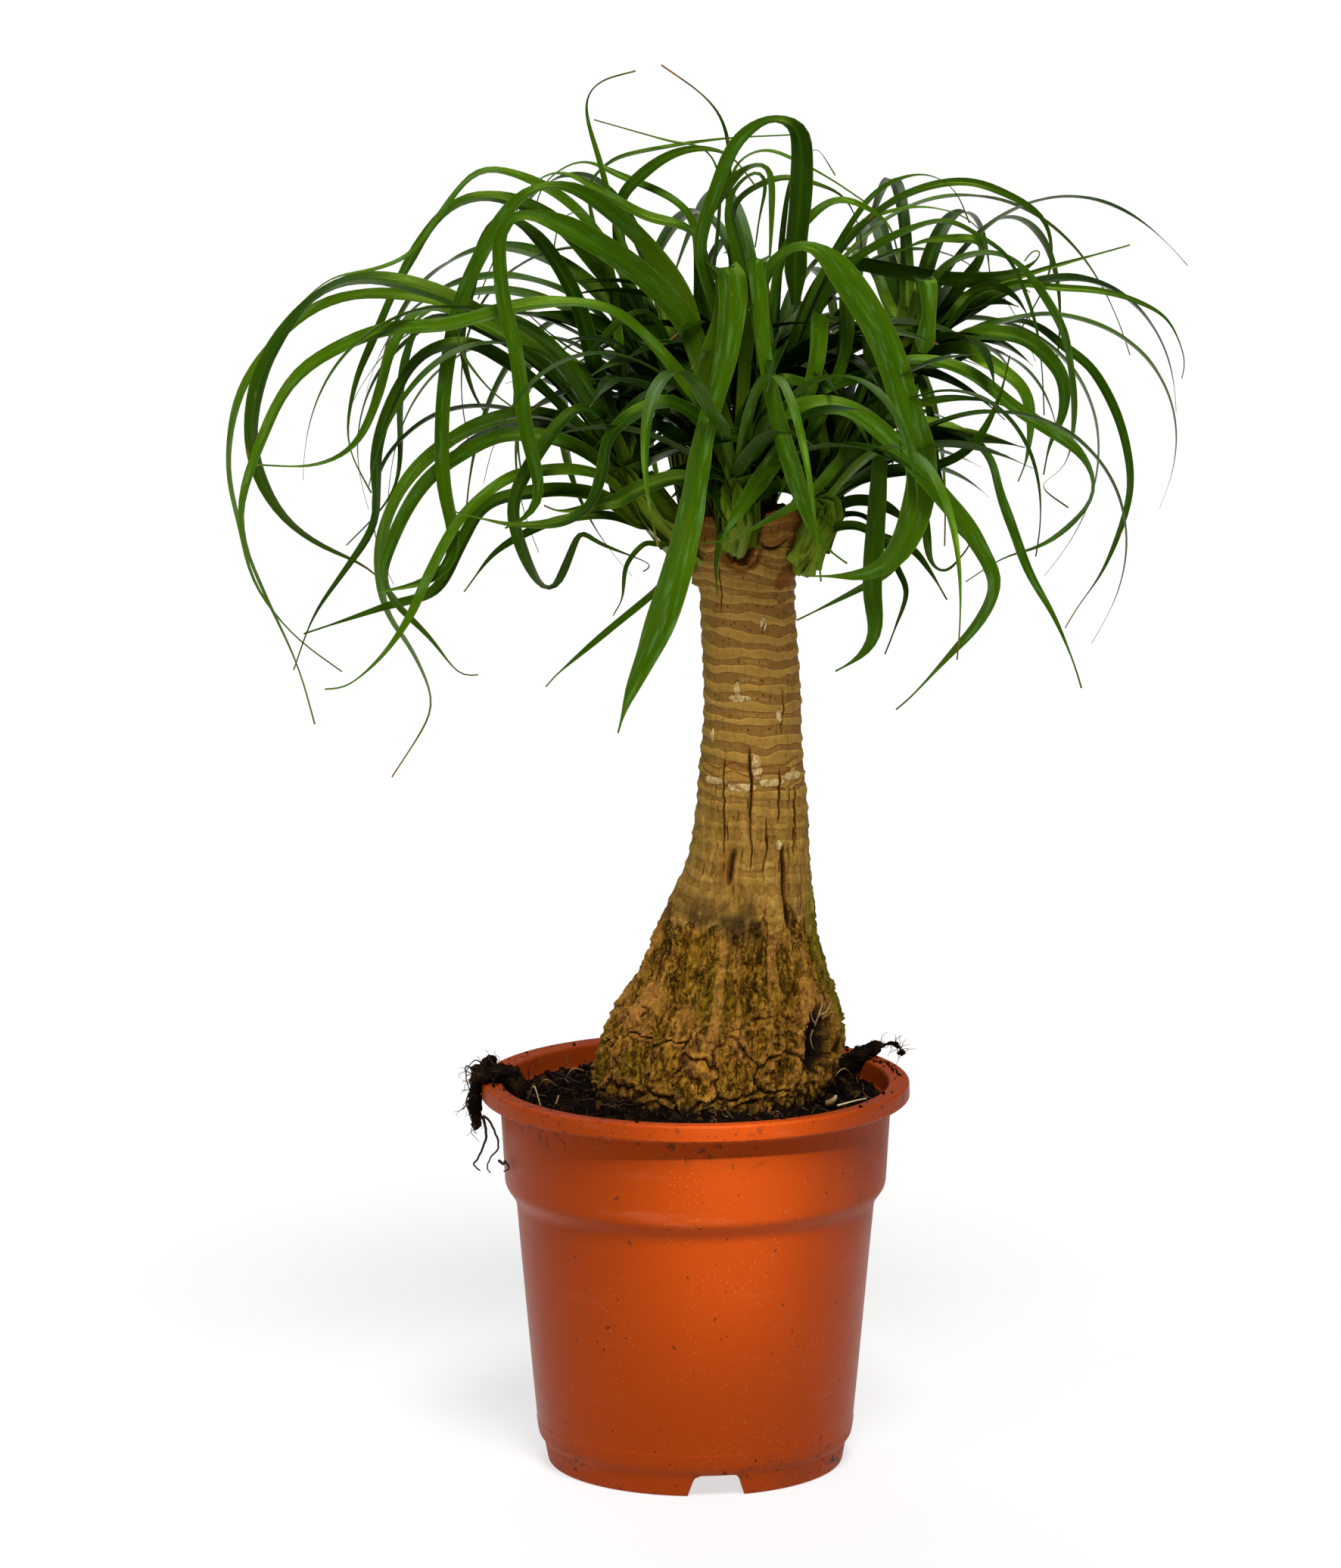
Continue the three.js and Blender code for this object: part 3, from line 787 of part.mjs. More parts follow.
// The stations that carry the shape, found by splitting where the course leaves its chord most.
function keptStations(points) {
  const kept = new Set([0, STATIONS]);
  const split = (from, to) => {
    let worst = COURSE_TOLERANCE;
    let at = -1;
    const chord = new THREE.Line3(points[from], points[to]);
    const foot = new THREE.Vector3();
    for (let n = from + 1; n < to; n += 1) {
      const away = chord.closestPointToPoint(points[n], true, foot).distanceTo(points[n]);
      if (away > worst) {
        worst = away;
        at = n;
      }
    }
    if (at < 0) return;
    kept.add(at);
    split(from, at);
    split(at, to);
  };
  split(0, STATIONS);
  return [...kept].sort((a, b) => a - b);
}

// One blade: a shallow gutter with a rib below, or a keel where it is narrow. A spare margin all round gives
// the room that the blade needs.
function bladeSolid(leaf, spare = 0) {
  const { points } = leaf;
  const faces = upperFaces(leaf);
  const rings = keptStations(points).map((n) => {
    const share = n / STATIONS;
    const along = points[Math.min(STATIONS, n + 1)].clone().sub(points[Math.max(0, n - 1)]).normalize();
    const up = faces[n].clone().addScaledVector(along, -faces[n].dot(along)).normalize();
    const sideways = along.clone().cross(up);
    const half = Math.max(TIP_HALF_WIDTH, (leaf.width * bladeWidth(share)) / 2) + spare;
    const thick = lerp(RIB_THICKNESS, TIP_THICKNESS, share) + 2 * spare;
    const gutter = 2 * half * CHANNEL;
    const at = (s, u) => points[n].clone().addScaledVector(sideways, s).addScaledVector(up, u);
    if (leaf.width <= NARROW) return [at(half, thick / 2), at(0, -thick / 2), at(-half, thick / 2)];
    return [
      at(half, gutter / 2 + thick / 4),
      at(0, -gutter / 2 - thick / 2),
      at(-half, gutter / 2 + thick / 4),
      at(0, -gutter / 2 + thick / 2),
    ];
  });
  return ringSolid(rings);
}

// The bundled leaf bases that the blades leave from.
function shootCore({ from, to, low, high }) {
  const start = new THREE.Vector3(...from);
  const end = new THREE.Vector3(...to);
  const along = end.clone().sub(start).normalize();
  const across = new THREE.Vector3(0, 1, 0.2).cross(along).normalize();
  const over = along.clone().cross(across);
  const steps = [ // share of the way along, radius
    [0, 0.8 * low],
    [0.35, low],
    [0.8, high],
    [1, 0.85 * high],
    [1.22, 0.3 * high],
  ];
  const rings = steps.map(([share, radius]) => Array.from({ length: CORE_SIDES }, (_, k) => {
    const angle = (k * TAU) / CORE_SIDES;
    return start.clone().lerp(end, share).addScaledVector(across, radius * Math.cos(angle))
      .addScaledVector(over, radius * Math.sin(angle));
  }));
  return ringSolid(rings);
}

// Where a leaf still meets a blade or the base of another shoot, both are bent a little further in depth.
function bendClear(leaves) {
  const ways = new Map();
  const hold = (n) => smooth((n / STATIONS - 0.03) / 0.12);
  const cores = Object.entries(SHOOTS).map(([shoot, core]) => ({ shoot, solid: shootCore(core) }));
  const nearest = (leaf, spot) => leaf.points.reduce(
    (best, p, n) => (p.distanceTo(spot) < leaf.points[best].distanceTo(spot) ? n : best),
    0,
  );
  const bend = (leaf, at, amount) => leaf.points.forEach((p, n) => {
    p.y += amount * hold(n) * Math.exp(-(((n - at) / 3) ** 2));
  });
  for (let round = 0; round < CLEAR_ROUNDS; round += 1) {
    const blades = leaves.map((leaf) => bladeSolid(leaf, GAP / 2));
    const boxes = leaves.map((leaf) => new THREE.Box3().setFromPoints(leaf.points).expandByScalar(6));
    const bends = [];
    const meet = (a, solid) => {
      const common = blades[a].intersect(solid);
      if (common.volume() < TOUCH) return null;
      const { min, max } = common.boundingBox();
      return new THREE.Vector3(...min).add(new THREE.Vector3(...max)).multiplyScalar(0.5);
    };
    for (let a = 0; a < leaves.length; a += 1) {
      for (let b = a + 1; b < leaves.length; b += 1) {
        if (leaves[a].shoot === leaves[b].shoot || !boxes[a].intersectsBox(boxes[b])) continue;
        const spot = meet(a, blades[b]);
        if (!spot) continue;
        const [i, j] = [nearest(leaves[a], spot), nearest(leaves[b], spot)];
        const key = `${a} ${b} ${Math.round(i / 6)}`;
        if (!ways.has(key)) ways.set(key, leaves[a].points[i].y >= leaves[b].points[j].y ? 1 : -1);
        bends.push([a, i, CLEAR_STEP * ways.get(key)], [b, j, -CLEAR_STEP * ways.get(key)]);
      }
      for (const core of cores) {
        const spot = core.shoot === leaves[a].shoot ? null : meet(a, core.solid);
        if (!spot) continue;
        const i = nearest(leaves[a], spot);
        bends.push([a, i, 2 * CLEAR_STEP * (leaves[a].points[i].y >= spot.y ? 1 : -1)]);
      }
    }
    for (const [a, at, amount] of bends) bend(leaves[a], at, amount);
    if (bends.length === 0) return;
  }
}

function allLeaves() {
  const leaves = [];
  for (const shoot of Object.keys(SHOOTS)) {
    for (const course of COURSES[shoot]) leaves.push(courseLeaf(shoot, course));
    const fan = FANS[shoot];
    const draw = draws(fan.seed);
    for (let n = 0; n < fan.count; n += 1) leaves.push(fanLeaf(shoot, fan, n, draw));
  }
  easeApart(leaves, EASE_ROUNDS);
  bendClear(leaves);
  return leaves;
}

// ---------------------------------------------------------------- assembly

const FINISH = {
  pot: { color: 0xb4532b, roughness: 0.5 },
  soil: { color: 0x2c2119, roughness: 0.95 },
  stem: { color: 0x9a7448, roughness: 0.85 },
  peat: { color: 0x3a2c20, roughness: 0.95 },
  leaf: { color: 0x3f7a1f, roughness: 0.45 },
};

const model = new THREE.Group();
model.name = 'potted_ponytail_palm';

function place(name, solid, finish) {
  const material = new THREE.MeshStandardMaterial({ metalness: 0, ...FINISH[finish] });
  const mesh = new THREE.Mesh(toGeometry(solid), material);
  mesh.name = name;
  model.add(mesh);
}

place('pot', potSolid(), 'pot');
place('soil', soilSolid(), 'soil');
place('stem', stemSolid(), 'stem');
place('rim_clod', drapedSolid(RIM_CLOD), 'peat');
place('rim_root', drapedSolid(RIM_ROOT), 'peat');

const stemSpace = stemClearance();

const leaves = allLeaves();
for (const [name, shoot] of Object.entries(SHOOTS)) {
  const blades = leaves.filter((leaf) => leaf.shoot === name).map((leaf) => bladeSolid(leaf));
  const joined = wasm.Manifold.union([shootCore(shoot), ...blades]);
  place(`shoot_${name}`, largestBody(joined.subtract(stemSpace)), 'leaf');
}

const box = new THREE.Box3().setFromObject(model);
model.position.set(-(box.min.x + box.max.x) / 2, -(box.min.y + box.max.y) / 2, 0);
model.updateMatrixWorld(true);

export default model;
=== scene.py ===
"""The potted ponytail palm as it looks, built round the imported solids.

Sizes are in millimetres about the pot's axis, as in the part's own source, until a mesh is made: then they
turn to metres and move to the frame's origin.
"""

import math

import bmesh
import bpy
import numpy as np
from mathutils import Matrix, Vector


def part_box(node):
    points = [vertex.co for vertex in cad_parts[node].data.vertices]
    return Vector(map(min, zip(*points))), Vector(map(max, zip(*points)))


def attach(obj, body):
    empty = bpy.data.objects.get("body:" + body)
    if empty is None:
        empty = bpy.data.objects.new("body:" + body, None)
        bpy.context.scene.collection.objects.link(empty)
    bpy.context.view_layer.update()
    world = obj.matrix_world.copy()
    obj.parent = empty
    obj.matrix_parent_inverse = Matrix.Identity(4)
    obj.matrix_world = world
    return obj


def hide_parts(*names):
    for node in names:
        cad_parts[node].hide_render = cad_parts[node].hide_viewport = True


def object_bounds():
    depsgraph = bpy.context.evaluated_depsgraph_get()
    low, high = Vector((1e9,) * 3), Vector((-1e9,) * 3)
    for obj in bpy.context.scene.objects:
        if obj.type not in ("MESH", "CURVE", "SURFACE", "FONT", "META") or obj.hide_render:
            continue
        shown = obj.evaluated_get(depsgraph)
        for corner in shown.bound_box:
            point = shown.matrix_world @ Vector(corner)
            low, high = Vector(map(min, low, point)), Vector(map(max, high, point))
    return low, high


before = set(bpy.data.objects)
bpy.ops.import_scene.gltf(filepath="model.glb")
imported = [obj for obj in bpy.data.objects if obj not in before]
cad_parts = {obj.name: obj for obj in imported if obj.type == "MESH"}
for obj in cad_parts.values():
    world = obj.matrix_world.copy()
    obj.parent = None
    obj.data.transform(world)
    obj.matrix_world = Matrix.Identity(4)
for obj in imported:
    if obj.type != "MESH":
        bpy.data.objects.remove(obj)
cad_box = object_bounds()

# ---------------------------------------------------------------- driving dimensions (mm)

MM = 0.001
CM = 10.0
TAU = 2 * math.pi

POT_HEIGHT = 172.8
RIM_RADIUS = 94.7
RIM_DEPTH = 8.0
RIM_UNDER = POT_HEIGHT - RIM_DEPTH
COLLAR_RADIUS = 86.3
STEP_TOP = 126.0
STEP_BOTTOM = 119.0
STEP_RADIUS = 84.2
LOWER_RADIUS = 79.3
WALL_FOOT = 15.5
WALL_FOOT_RADIUS = 70.2
FOOT_RADIUS = 66.6
FOOT_WIDTH = 7.0
WALL = 2.4
FLOOR_TOP = 14.5
FLOOR_UNDER = 11.0
POT_SIDES = 192

NOTCH_COUNT = 3
FIRST_NOTCH = math.radians(-82)
NOTCH_TOP_WIDTH = 18.0
NOTCH_FOOT_WIDTH = 26.0
NOTCH_HEIGHT = 10.0
DRAIN_COUNT = 6
DRAIN_RADIUS = 5.0
DRAIN_CIRCLE = 42.0
DRAIN_SIDES = 20

SOIL_LEVEL = 163.0
SOIL_MOUND = 6.0

# Stem outline: height, middle in x, radius.
STEM = [
    (108, 2, 8), (118, 2, 24), (135, 3, 38), (150, 4, 46.5), (167, 5.6, 51.4), (181, 8.9, 52.4),
    (192, 11.3, 51.4), (203, 13.4, 48.4), (215, 16.1, 42.9), (234, 18, 35.6), (251, 20, 31.7),
    (269, 23.3, 26.6), (290, 24.8, 24.4), (312, 24.5, 23), (320, 24.5, 22.2), (338, 24.8, 20.9),
    (363, 23.7, 20.5), (392, 22.6, 20.4), (412, 24, 21.6), (428, 26, 22.6),
]
STEM_TOP = 430.0
SCAR_SPACING = 7.6
CORK_TOP = 262.0

# The camera's place: how far before the axis, how high, how far to the side; its downward tilt and its lens.
VIEW_DISTANCE = 2982.0
VIEW_HEIGHT = 844.0
VIEW_SIDE = -11.0
VIEW_TILT = 0.179
LENS = 158.86
SENSOR = 36.0

STATIONS = 24
EASE_ROUNDS = 40

# Leaves with a course of their own: width in mm; how far the upper face is turned to the front at the root
# and at the tip, in degrees; depth behind the pot's axis at root, middle and tip, in cm; then the course
# from root to tip as x and z in cm.
COURSES = {
    "front": [
        [13, [12, 80], [-3, -5.4, -8.2], [1.7, 43, 1, 46.5, 0.35, 49.5, 0.15, 51.8, 0.65, 53.1,
         1.25, 53.4, 1.6, 52.5, 1.5, 51, 1.3, 49.4, 0.9, 47.8, 0.4, 46.3, 0.1, 44.8, -0.4, 41.8,
         -1.15, 38.9, -2.05, 36.4, -2.95, 34.3, -3.4, 32.7]],
        [9, [40, 65], [-3.2, -4.6, -5], [1.95, 42.4, 1.7, 43.3, 1.2, 43.95, 0.6, 44.1, 0, 43.95,
         -1, 43.95, -2.5, 43.45, -3.3, 43, -4, 42.8, -5.8, 42.5, -6.6, 42.75]],
        [11, [50, 70], [-3, -4.6, -3], [2, 42.3, 2, 43.6, 2.15, 44.8, 2.6, 45.9, 3.3, 46.6, 4.3, 47,
         6.3, 47.1, 8, 46, 9.4, 44.6, 10.6, 43.2, 11.8, 41.8, 12.75, 40.1, 13.05, 39.3, 12.4, 37.7,
         11.1, 36.2, 9.4, 34.3, 8.75, 33.75]],
        [8, [70, 60], [-2.9, -1.4, -1.2], [1.8, 43, 1.6, 45, 1.35, 46.6, 1.35, 48.3, 2.1, 51.6,
         1.9, 53.5, 1.45, 55.5, 1.7, 56.5, 2.3, 57.1, 2.75, 57.3, 3, 56.7, 2.75, 55.4, 2.55, 54]],
        [3, [60, 60], [-3.3, -3.9, -3.5], [1.9, 42, 1.5, 41.8, 1.1, 41.3, 0.92, 40.5, 0.9, 39.6,
         0.97, 38.8]],
        [6, [50, 50], [-3.2, -3.8, -4], [1.6, 41.9, 1.15, 42.4, 0.85, 43.1, 0.35, 43.6, -0.5, 43.5,
         -1.3, 42.9]],
        [11, [60, 75], [-3, -4, -5.6], [1.6, 43.2, 1.2, 45.5, 0, 49.6, -0.65, 51, -1.8, 52.3,
         -3.1, 53.4, -5.55, 54.85, -7.5, 55.5, -8.15, 55.2, -8.5, 54.3, -8.3, 51.6, -7.75, 49.4,
         -7.4, 46.3, -6.85, 44, -6.8, 42.9, -7.55, 42.05, -8.3, 41.75]],
        [8, [50, 60], [-3, -3.6, -2.4], [1.7, 43.4, 1.8, 45.4, 2, 46.9, 2.5, 47.8, 3.2, 48.2,
         4.2, 48.15, 5.2, 47.8, 6.2, 47.3, 7, 46.4, 7.6, 45.2, 7.9, 44.2]],
        [10, [40, 80], [-2.7, -5.2, -6.8], [1.9, 43, 2.6, 46, 3.1, 49, 3.2, 51.5, 3, 53.3, 2.65, 53.85,
         2.55, 53.2, 2.7, 52, 2.95, 49.4, 3.6, 46.5, 4.4, 43.8, 5.1, 41.8, 5.65, 40.9, 6.6, 40.2]],
        [14, [45, 80], [-2.6, -3.9, -4.4], [2, 43.2, 2.1, 46, 2.2, 49, 2.5, 51.3, 3.1, 52.9,
         3.75, 53.8, 4.5, 54.2, 5.1, 54, 5.9, 53.3, 7.3, 51.35, 8.35, 49.3, 9.05, 47, 9.75, 45,
         9.65, 42.9, 8.85, 40.8, 7.5, 39.75, 4.9, 39.65]],
        [8, [60, 60], [-3, -3.4, -3.2], [1.5, 43.5, 0.9, 46, -0.2, 47.7, -1.2, 49, -2.2, 50.1,
         -3.2, 51, -4.4, 51.5, -7.5, 51.5, -10.7, 50.6, -13, 50.5, -14.9, 49.9, -17.3, 48.4,
         -18.9, 45.4, -19.8, 42.2, -18.95, 39.35, -17.4, 35.8, -16.65, 33.1]],
        [9, [40, 75], [-3.4, -6, -6], [1.6, 43.6, 1, 45.3, 0.2, 46.5, -0.7, 47.1, -1.4, 47.3,
         -2.7, 46.75, -3.75, 45.7, -4.05, 44.2, -4.6, 42.7, -5.9, 42, -7.9, 41.9, -9, 42.1, -10.6, 42.5]],
    ],
    "left": [
        [12, [50, 60], [-0.6, 0.4, 0], [-2.6, 43.2, -3.9, 45.6, -5.3, 47.8, -7, 49.4, -10.3, 51.6,
         -12.9, 52.45, -14.5, 52.6, -16.5, 51.8, -18.5, 49.2, -19.25, 46.5, -19.05, 44.35, -18, 42.35,
         -16.4, 41.05, -14.2, 40, -12.84, 38.44]],
        [6, [50, 60], [-0.3, 1.8, 2], [-2.6, 43.4, -3.8, 46.2, -5.2, 48.6, -7, 50.2, -9, 51.2, -13, 52,
         -16.1, 51.6, -18.5, 49.6, -19.85, 47.4, -20.3, 44.4, -19.85, 42, -19.25, 39.4, -17.6, 37.1,
         -15.45, 35.44]],
        [7, [50, 60], [-0.6, -1.6, -2], [-2.7, 43.2, -4.2, 46, -6.2, 48.6, -8.6, 50.3, -10.8, 51.2,
         -12, 51.2, -13.15, 49.6, -13.8, 47.4, -14.8, 45.4, -16.6, 44.5, -19.4, 44.55]],
        [7, [50, 60], [-0.6, 0.9, 0.6], [-2.8, 43.4, -4.6, 46.4, -6.8, 48.8, -9, 50.3, -10.9, 51,
         -12.05, 50.5, -12.75, 48, -12.85, 44.4, -13.5, 42.8, -15.2, 41]],
        [8, [50, 60], [-0.7, -2.3, -2.5], [-2.8, 43, -4.6, 45.6, -6.6, 47.8, -8.6, 49.3, -10, 49.9,
         -11.9, 49.3, -13.2, 47.2, -13.85, 45, -13.9, 42.1, -15.2, 40, -16.65, 37.9, -17.55, 35.5]],
        [9, [45, 60], [-0.8, -1, -1.5], [-2.7, 43, -3.6, 44.8, -5, 46.1, -6.3, 46.6, -7.6, 46.75,
         -10, 46, -12.5, 43.9, -13.7, 41, -13.5, 38.3, -12.4, 36.5, -11.55, 34.5, -11.7, 33.3,
         -13.3, 30.75]],
        [8, [45, 60], [-1, -2.6, -3], [-2.6, 42.6, -3.9, 44.4, -5.6, 45.5, -7.45, 45.85, -9, 45.6,
         -11.7, 43.8, -13.3, 40.9, -13.4, 39, -11.55, 36.9, -10.3, 35.3, -9.5, 35.3]],
        [6, [45, 60], [-1.1, -3.6, -4], [-2.6, 42.3, -3.7, 43.8, -5.2, 44.3, -6.7, 44.25, -8.2, 43.9,
         -10.2, 42.2, -11.6, 39.75, -12.5, 37.8, -13.7, 36.1, -15.2, 34.8, -16.2, 34.65]],
        [8, [55, 60], [-1.1, -2, -1], [-2.6, 42, -3.9, 43, -5.2, 43.35, -6.7, 43.35, -9, 42.8,
         -10.2, 41.1, -11.3, 39, -13.5, 38.3, -17.1, 37.1]],
        [5, [50, 60], [-1, -1.8, -2.2], [-2.3, 41.8, -3.8, 42.3, -5.4, 42.2, -6.8, 41.8, -8.7, 40.7,
         -10.1, 38.95]],
        [8, [45, 75], [-0.9, -4.6, -3.6], [-2.8, 43.5, -3.4, 45.4, -4, 46.6, -4.8, 47.05, -5.6, 46.65,
         -7, 44.8, -7.9, 42.8, -7.55, 40.9, -6.7, 39.25, -6.15, 39.2, -5.3, 41.1, -5, 41.75,
         -4.4, 41.2, -2.7, 40.5, -1.75, 40.1, -2.3, 39.85]],
        [3, [60, 60], [-0.9, -2, -2.5], [-1, 41, -1.7, 41.05, -2.3, 41, -3, 40.1, -3.2, 38.7,
         -3.6, 37.9]],
        [4, [60, 60], [-0.7, -1.5, -2], [-0.8, 41.2, -1.1, 40, -1.6, 39.1, -3.75, 37.3, -5.9, 35.45,
         -6.55, 34.75]],
        [9, [60, 60], [-0.3, 1, 0.6], [-2.7, 43.6, -3.6, 46.2, -4.4, 48.8, -5.1, 51.5, -6.4, 53.85,
         -7.9, 55.2, -8.9, 54.9, -9.9, 51.5, -10.1, 49.5, -9.3, 47, -7.45, 45.5]],
        [6, [65, 60], [-0.1, 1.6, 2.2], [-2.6, 43.6, -3, 46.5, -3.3, 49, -3.75, 53, -4.7, 55.4,
         -5.8, 55.2, -6.2, 53.6]],
        [4, [50, 60], [-0.4, -2.7, -3.6], [-2.6, 43.6, -4.4, 47.5, -6.6, 50.2, -8.8, 51.2, -10.1, 50.6,
         -10.2, 49.6, -9, 47.9, -7.6, 46.8]],
    ],
    "right": [
        [8, [40, 60], [-1.2, -2.9, -3], [4.9, 41.8, 4.75, 42.8, 4.35, 43.35, 3.8, 43.55, 3.15, 43.45,
         2.6, 43, 2.35, 42.4, 2.4, 42.05]],
        [9, [40, 75], [-1.2, -3, -5.6], [4.9, 41.6, 5.3, 44, 5.6, 47, 5.7, 49.5, 5.6, 51, 5.4, 51.35,
         5.3, 50.4, 5.25, 49.2, 4.55, 46.8, 3.45, 44.8, 2.4, 43.3, 1.4, 41.8, 1.1, 41.05]],
        [8, [40, 75], [-1.1, -2.1, -4.7], [5.2, 42, 5.9, 45, 6.5, 48.5, 6.8, 51, 6.75, 52.2, 6.5, 52,
         6.55, 50.8, 6.4, 49.2, 5.4, 46.6, 4.3, 44.7, 3.5, 42.9]],
        [10, [40, 75], [-1, -2.4, -3.4], [5.2, 42, 6.2, 45.4, 7, 49, 7.4, 51, 7.6, 51.6, 7.7, 51,
         7.75, 49, 7.95, 45.3, 7.8, 42, 7.65, 39, 7.85, 37.2, 7.2, 36.1, 6.1, 35.45]],
        [7, [50, 75], [-1, -2.7, -5.8], [5.3, 42.5, 6.3, 44.8, 7, 47, 7.4, 48.2, 7.5, 47.6, 6.8, 45.7,
         5.75, 44.15, 4.6, 43, 3.15, 42.15, 1.6, 41.3, -0.1, 41.05]],
        [7, [50, 60], [-1, -1.6, -2.2], [5, 41.3, 5.7, 42.3, 6.5, 42.85, 7.3, 42.95, 8.2, 42.7,
         9.1, 41.9, 9, 40.8, 8.35, 39.85, 7, 39.05, 5.4, 38.2, 4.4, 37.7]],
        [5, [50, 60], [-1.2, -2.2, -2.8], [5, 41.2, 6, 41.75, 7, 41.85, 8, 41.4, 9.35, 40.85,
         10.2, 39.85, 10.95, 38.6]],
        [4, [50, 60], [-0.9, -0.8, -1.2], [5.2, 41.6, 6.4, 42.3, 7.4, 42.2, 8.1, 41.3, 8.75, 40,
         9.15, 38.9, 8.7, 37.4, 8.25, 36.2]],
        [8, [50, 60], [-0.9, -0.8, -1.8], [5.2, 42.3, 6.1, 43.6, 6.9, 45.2, 7.4, 46.7, 8, 48.2,
         8.7, 49, 10.5, 49, 12.1, 48.4, 13.7, 47.1, 15.2, 46.1, 16.6, 45.1, 17.3, 43.5, 16.45, 42.1,
         15.05, 41, 13.45, 40.5, 11.75, 39.4]],
        [7, [50, 60], [-0.9, -2, -3.4], [5.1, 42.3, 6.2, 44.2, 7.4, 45.7, 8.8, 46.4, 10.3, 46.3,
         11.75, 45.8, 12.75, 44.8, 13.15, 43.35, 13.75, 41.75, 14.5, 39.8, 15.6, 37.9, 16.45, 35.95,
         16.85, 34.7]],
        [6, [50, 60], [-1, -3, -4], [5.3, 42.6, 6.6, 43.6, 8, 44.1, 10.2, 44.4, 11.6, 45, 12.5, 46,
         13.2, 47.6, 13.6, 49.3]],
        [4, [60, 60], [-1.2, -3.4, -5.6], [5.3, 42.8, 6.3, 45.3, 7.2, 47.6, 7.8, 48.8, 8.1, 48.5,
         8.25, 47.3, 8.9, 45.4, 9.2, 43.45, 9.1, 42.5]],
        [6, [50, 60], [-0.8, 0, -0.8], [5.3, 42.6, 6.6, 44.4, 7.9, 46, 9, 46.9, 10.8, 47.4,
         12.5, 47.35, 13.9, 46.9]],
    ],
    "right_back": [
        [7, [50, 60], [2.6, 3.6, 3.6], [9.2, 48.6, 9.8, 49.9, 10.8, 51.5, 11.6, 52.6, 12.15, 53.4,
         12.3, 54.1, 11.9, 54.35, 10, 54.3, 8.5, 53.7]],
        [6, [50, 60], [2.5, 1.5, 1], [9.2, 48.6, 9.6, 50.4, 10, 52, 10.6, 53, 11.3, 53.5, 12.9, 53.75,
         14.2, 53, 15.7, 50.8, 16.15, 49.2, 16.4, 46.85, 16.1, 44.65, 15.3, 43.9, 14.9, 43.6,
         16.2, 42.65]],
        [9, [50, 60], [2.4, 1.1, 0.4], [9.2, 48.4, 10, 49.05, 10.85, 49.65, 12.1, 50.25, 13.85, 50.15,
         15, 49.45, 15.85, 48.3, 15.9, 46.85, 15.35, 45.4, 15.1, 44.1]],
        [6, [50, 60], [2.6, 2.2, 1], [9.2, 48.3, 10.3, 49.2, 11.3, 49.95, 12.85, 50.65, 14.5, 50.7,
         16, 49.6, 17.15, 48.7, 18.3, 46.6, 18.85, 44.2, 18.65, 42.35, 17.75, 39.95, 16.65, 38.3,
         16.1, 37.35]],
        [4, [50, 60], [2.7, 3.4, 3], [9.4, 48.7, 10.65, 50.2, 12.05, 51.5, 13.65, 52.4, 15.5, 52.25,
         17.5, 52.1, 19.2, 51.6, 20.45, 50.8, 21.15, 49.2, 21.05, 48.3]],
        [3, [50, 60], [2.8, 4.5, 5.4], [9.3, 48.8, 10.5, 50.5, 12, 51.9, 14.75, 52.95, 18.75, 54.1]],
        [8, [50, 60], [2.4, 0.6, -0.2], [9.3, 48.5, 10.2, 49.3, 11, 49.65, 11.7, 49.6, 13.2, 48.7,
         14.2, 47.75, 14.5, 46.4, 14.35, 44.8, 14, 43.8]],
        [5, [60, 70], [2.2, -1, -2.2], [9.2, 48.3, 9.6, 48.4, 9.95, 47.5, 10.2, 46.4, 10.45, 44.2,
         11.1, 42.2, 12.1, 40.95, 12.9, 40.5]],
        [6, [50, 60], [2.2, 0, -0.6], [9.2, 48, 9.3, 46.5, 9.5, 44.8, 9.95, 42, 10.2, 40.3,
         10.9, 39.85, 11.75, 40.75, 11.95, 41.1]],
        [9, [70, 70], [2.3, 1, -0.4], [9, 48.6, 9.1, 50, 9.4, 51.4, 9.75, 52.6, 10, 52.3, 10.05, 51,
         9.8, 49.4]],
        [7, [50, 60], [2.6, 2.8, 2.6], [9.4, 48.6, 10.6, 50.4, 11.8, 51.9, 12.9, 52.3, 13.85, 51.8,
         14.6, 50.6]],
    ],
    "back": [
        [10, [55, 75], [2.3, 0.4, -0.6], [2.9, 46, 1.5, 50, 0.4, 53, 0.25, 54.5, 1.3, 57.6, 1.9, 58.7,
         3.2, 59.6, 4.2, 59.3, 4.5, 58.7, 4.5, 56.2, 4.3, 54, 4.3, 51.5]],
        [7, [55, 75], [2.4, 1.4, 0.6], [2.9, 46, 1.2, 50.5, 0.2, 53.8, 0.3, 55, 1.7, 57, 2.8, 57.6,
         3.2, 57.1, 3.25, 55, 3.1, 52]],
        [5, [50, 60], [2.4, 3, 3.2], [2.9, 46, 2, 50, 1.6, 53.5, 1.6, 55.5, 2.1, 56.3, 3.6, 57,
         5, 56.8, 6.4, 56.15, 7.05, 54.8, 7.15, 53.9]],
        [6, [50, 60], [2.3, 1, 0.6], [3.1, 46, 3.3, 50, 3.6, 53, 4.3, 54.6, 5.8, 55.95, 7.1, 55.85,
         8.35, 54.9, 8.8, 53.3]],
        [4, [60, 60], [2.6, 2.2, 2], [2.9, 46, 2, 50.5, 1.4, 55, 1.4, 58, 1.2, 59.2, 0.8, 60, 0, 60.8,
         -1.5, 61.85]],
        [4, [60, 60], [2.4, 2.6, 3.4], [3.2, 46, 3.5, 51, 3.8, 55, 4.2, 57.2, 5.1, 58.3, 5.5, 57.9,
         6, 57.1]],
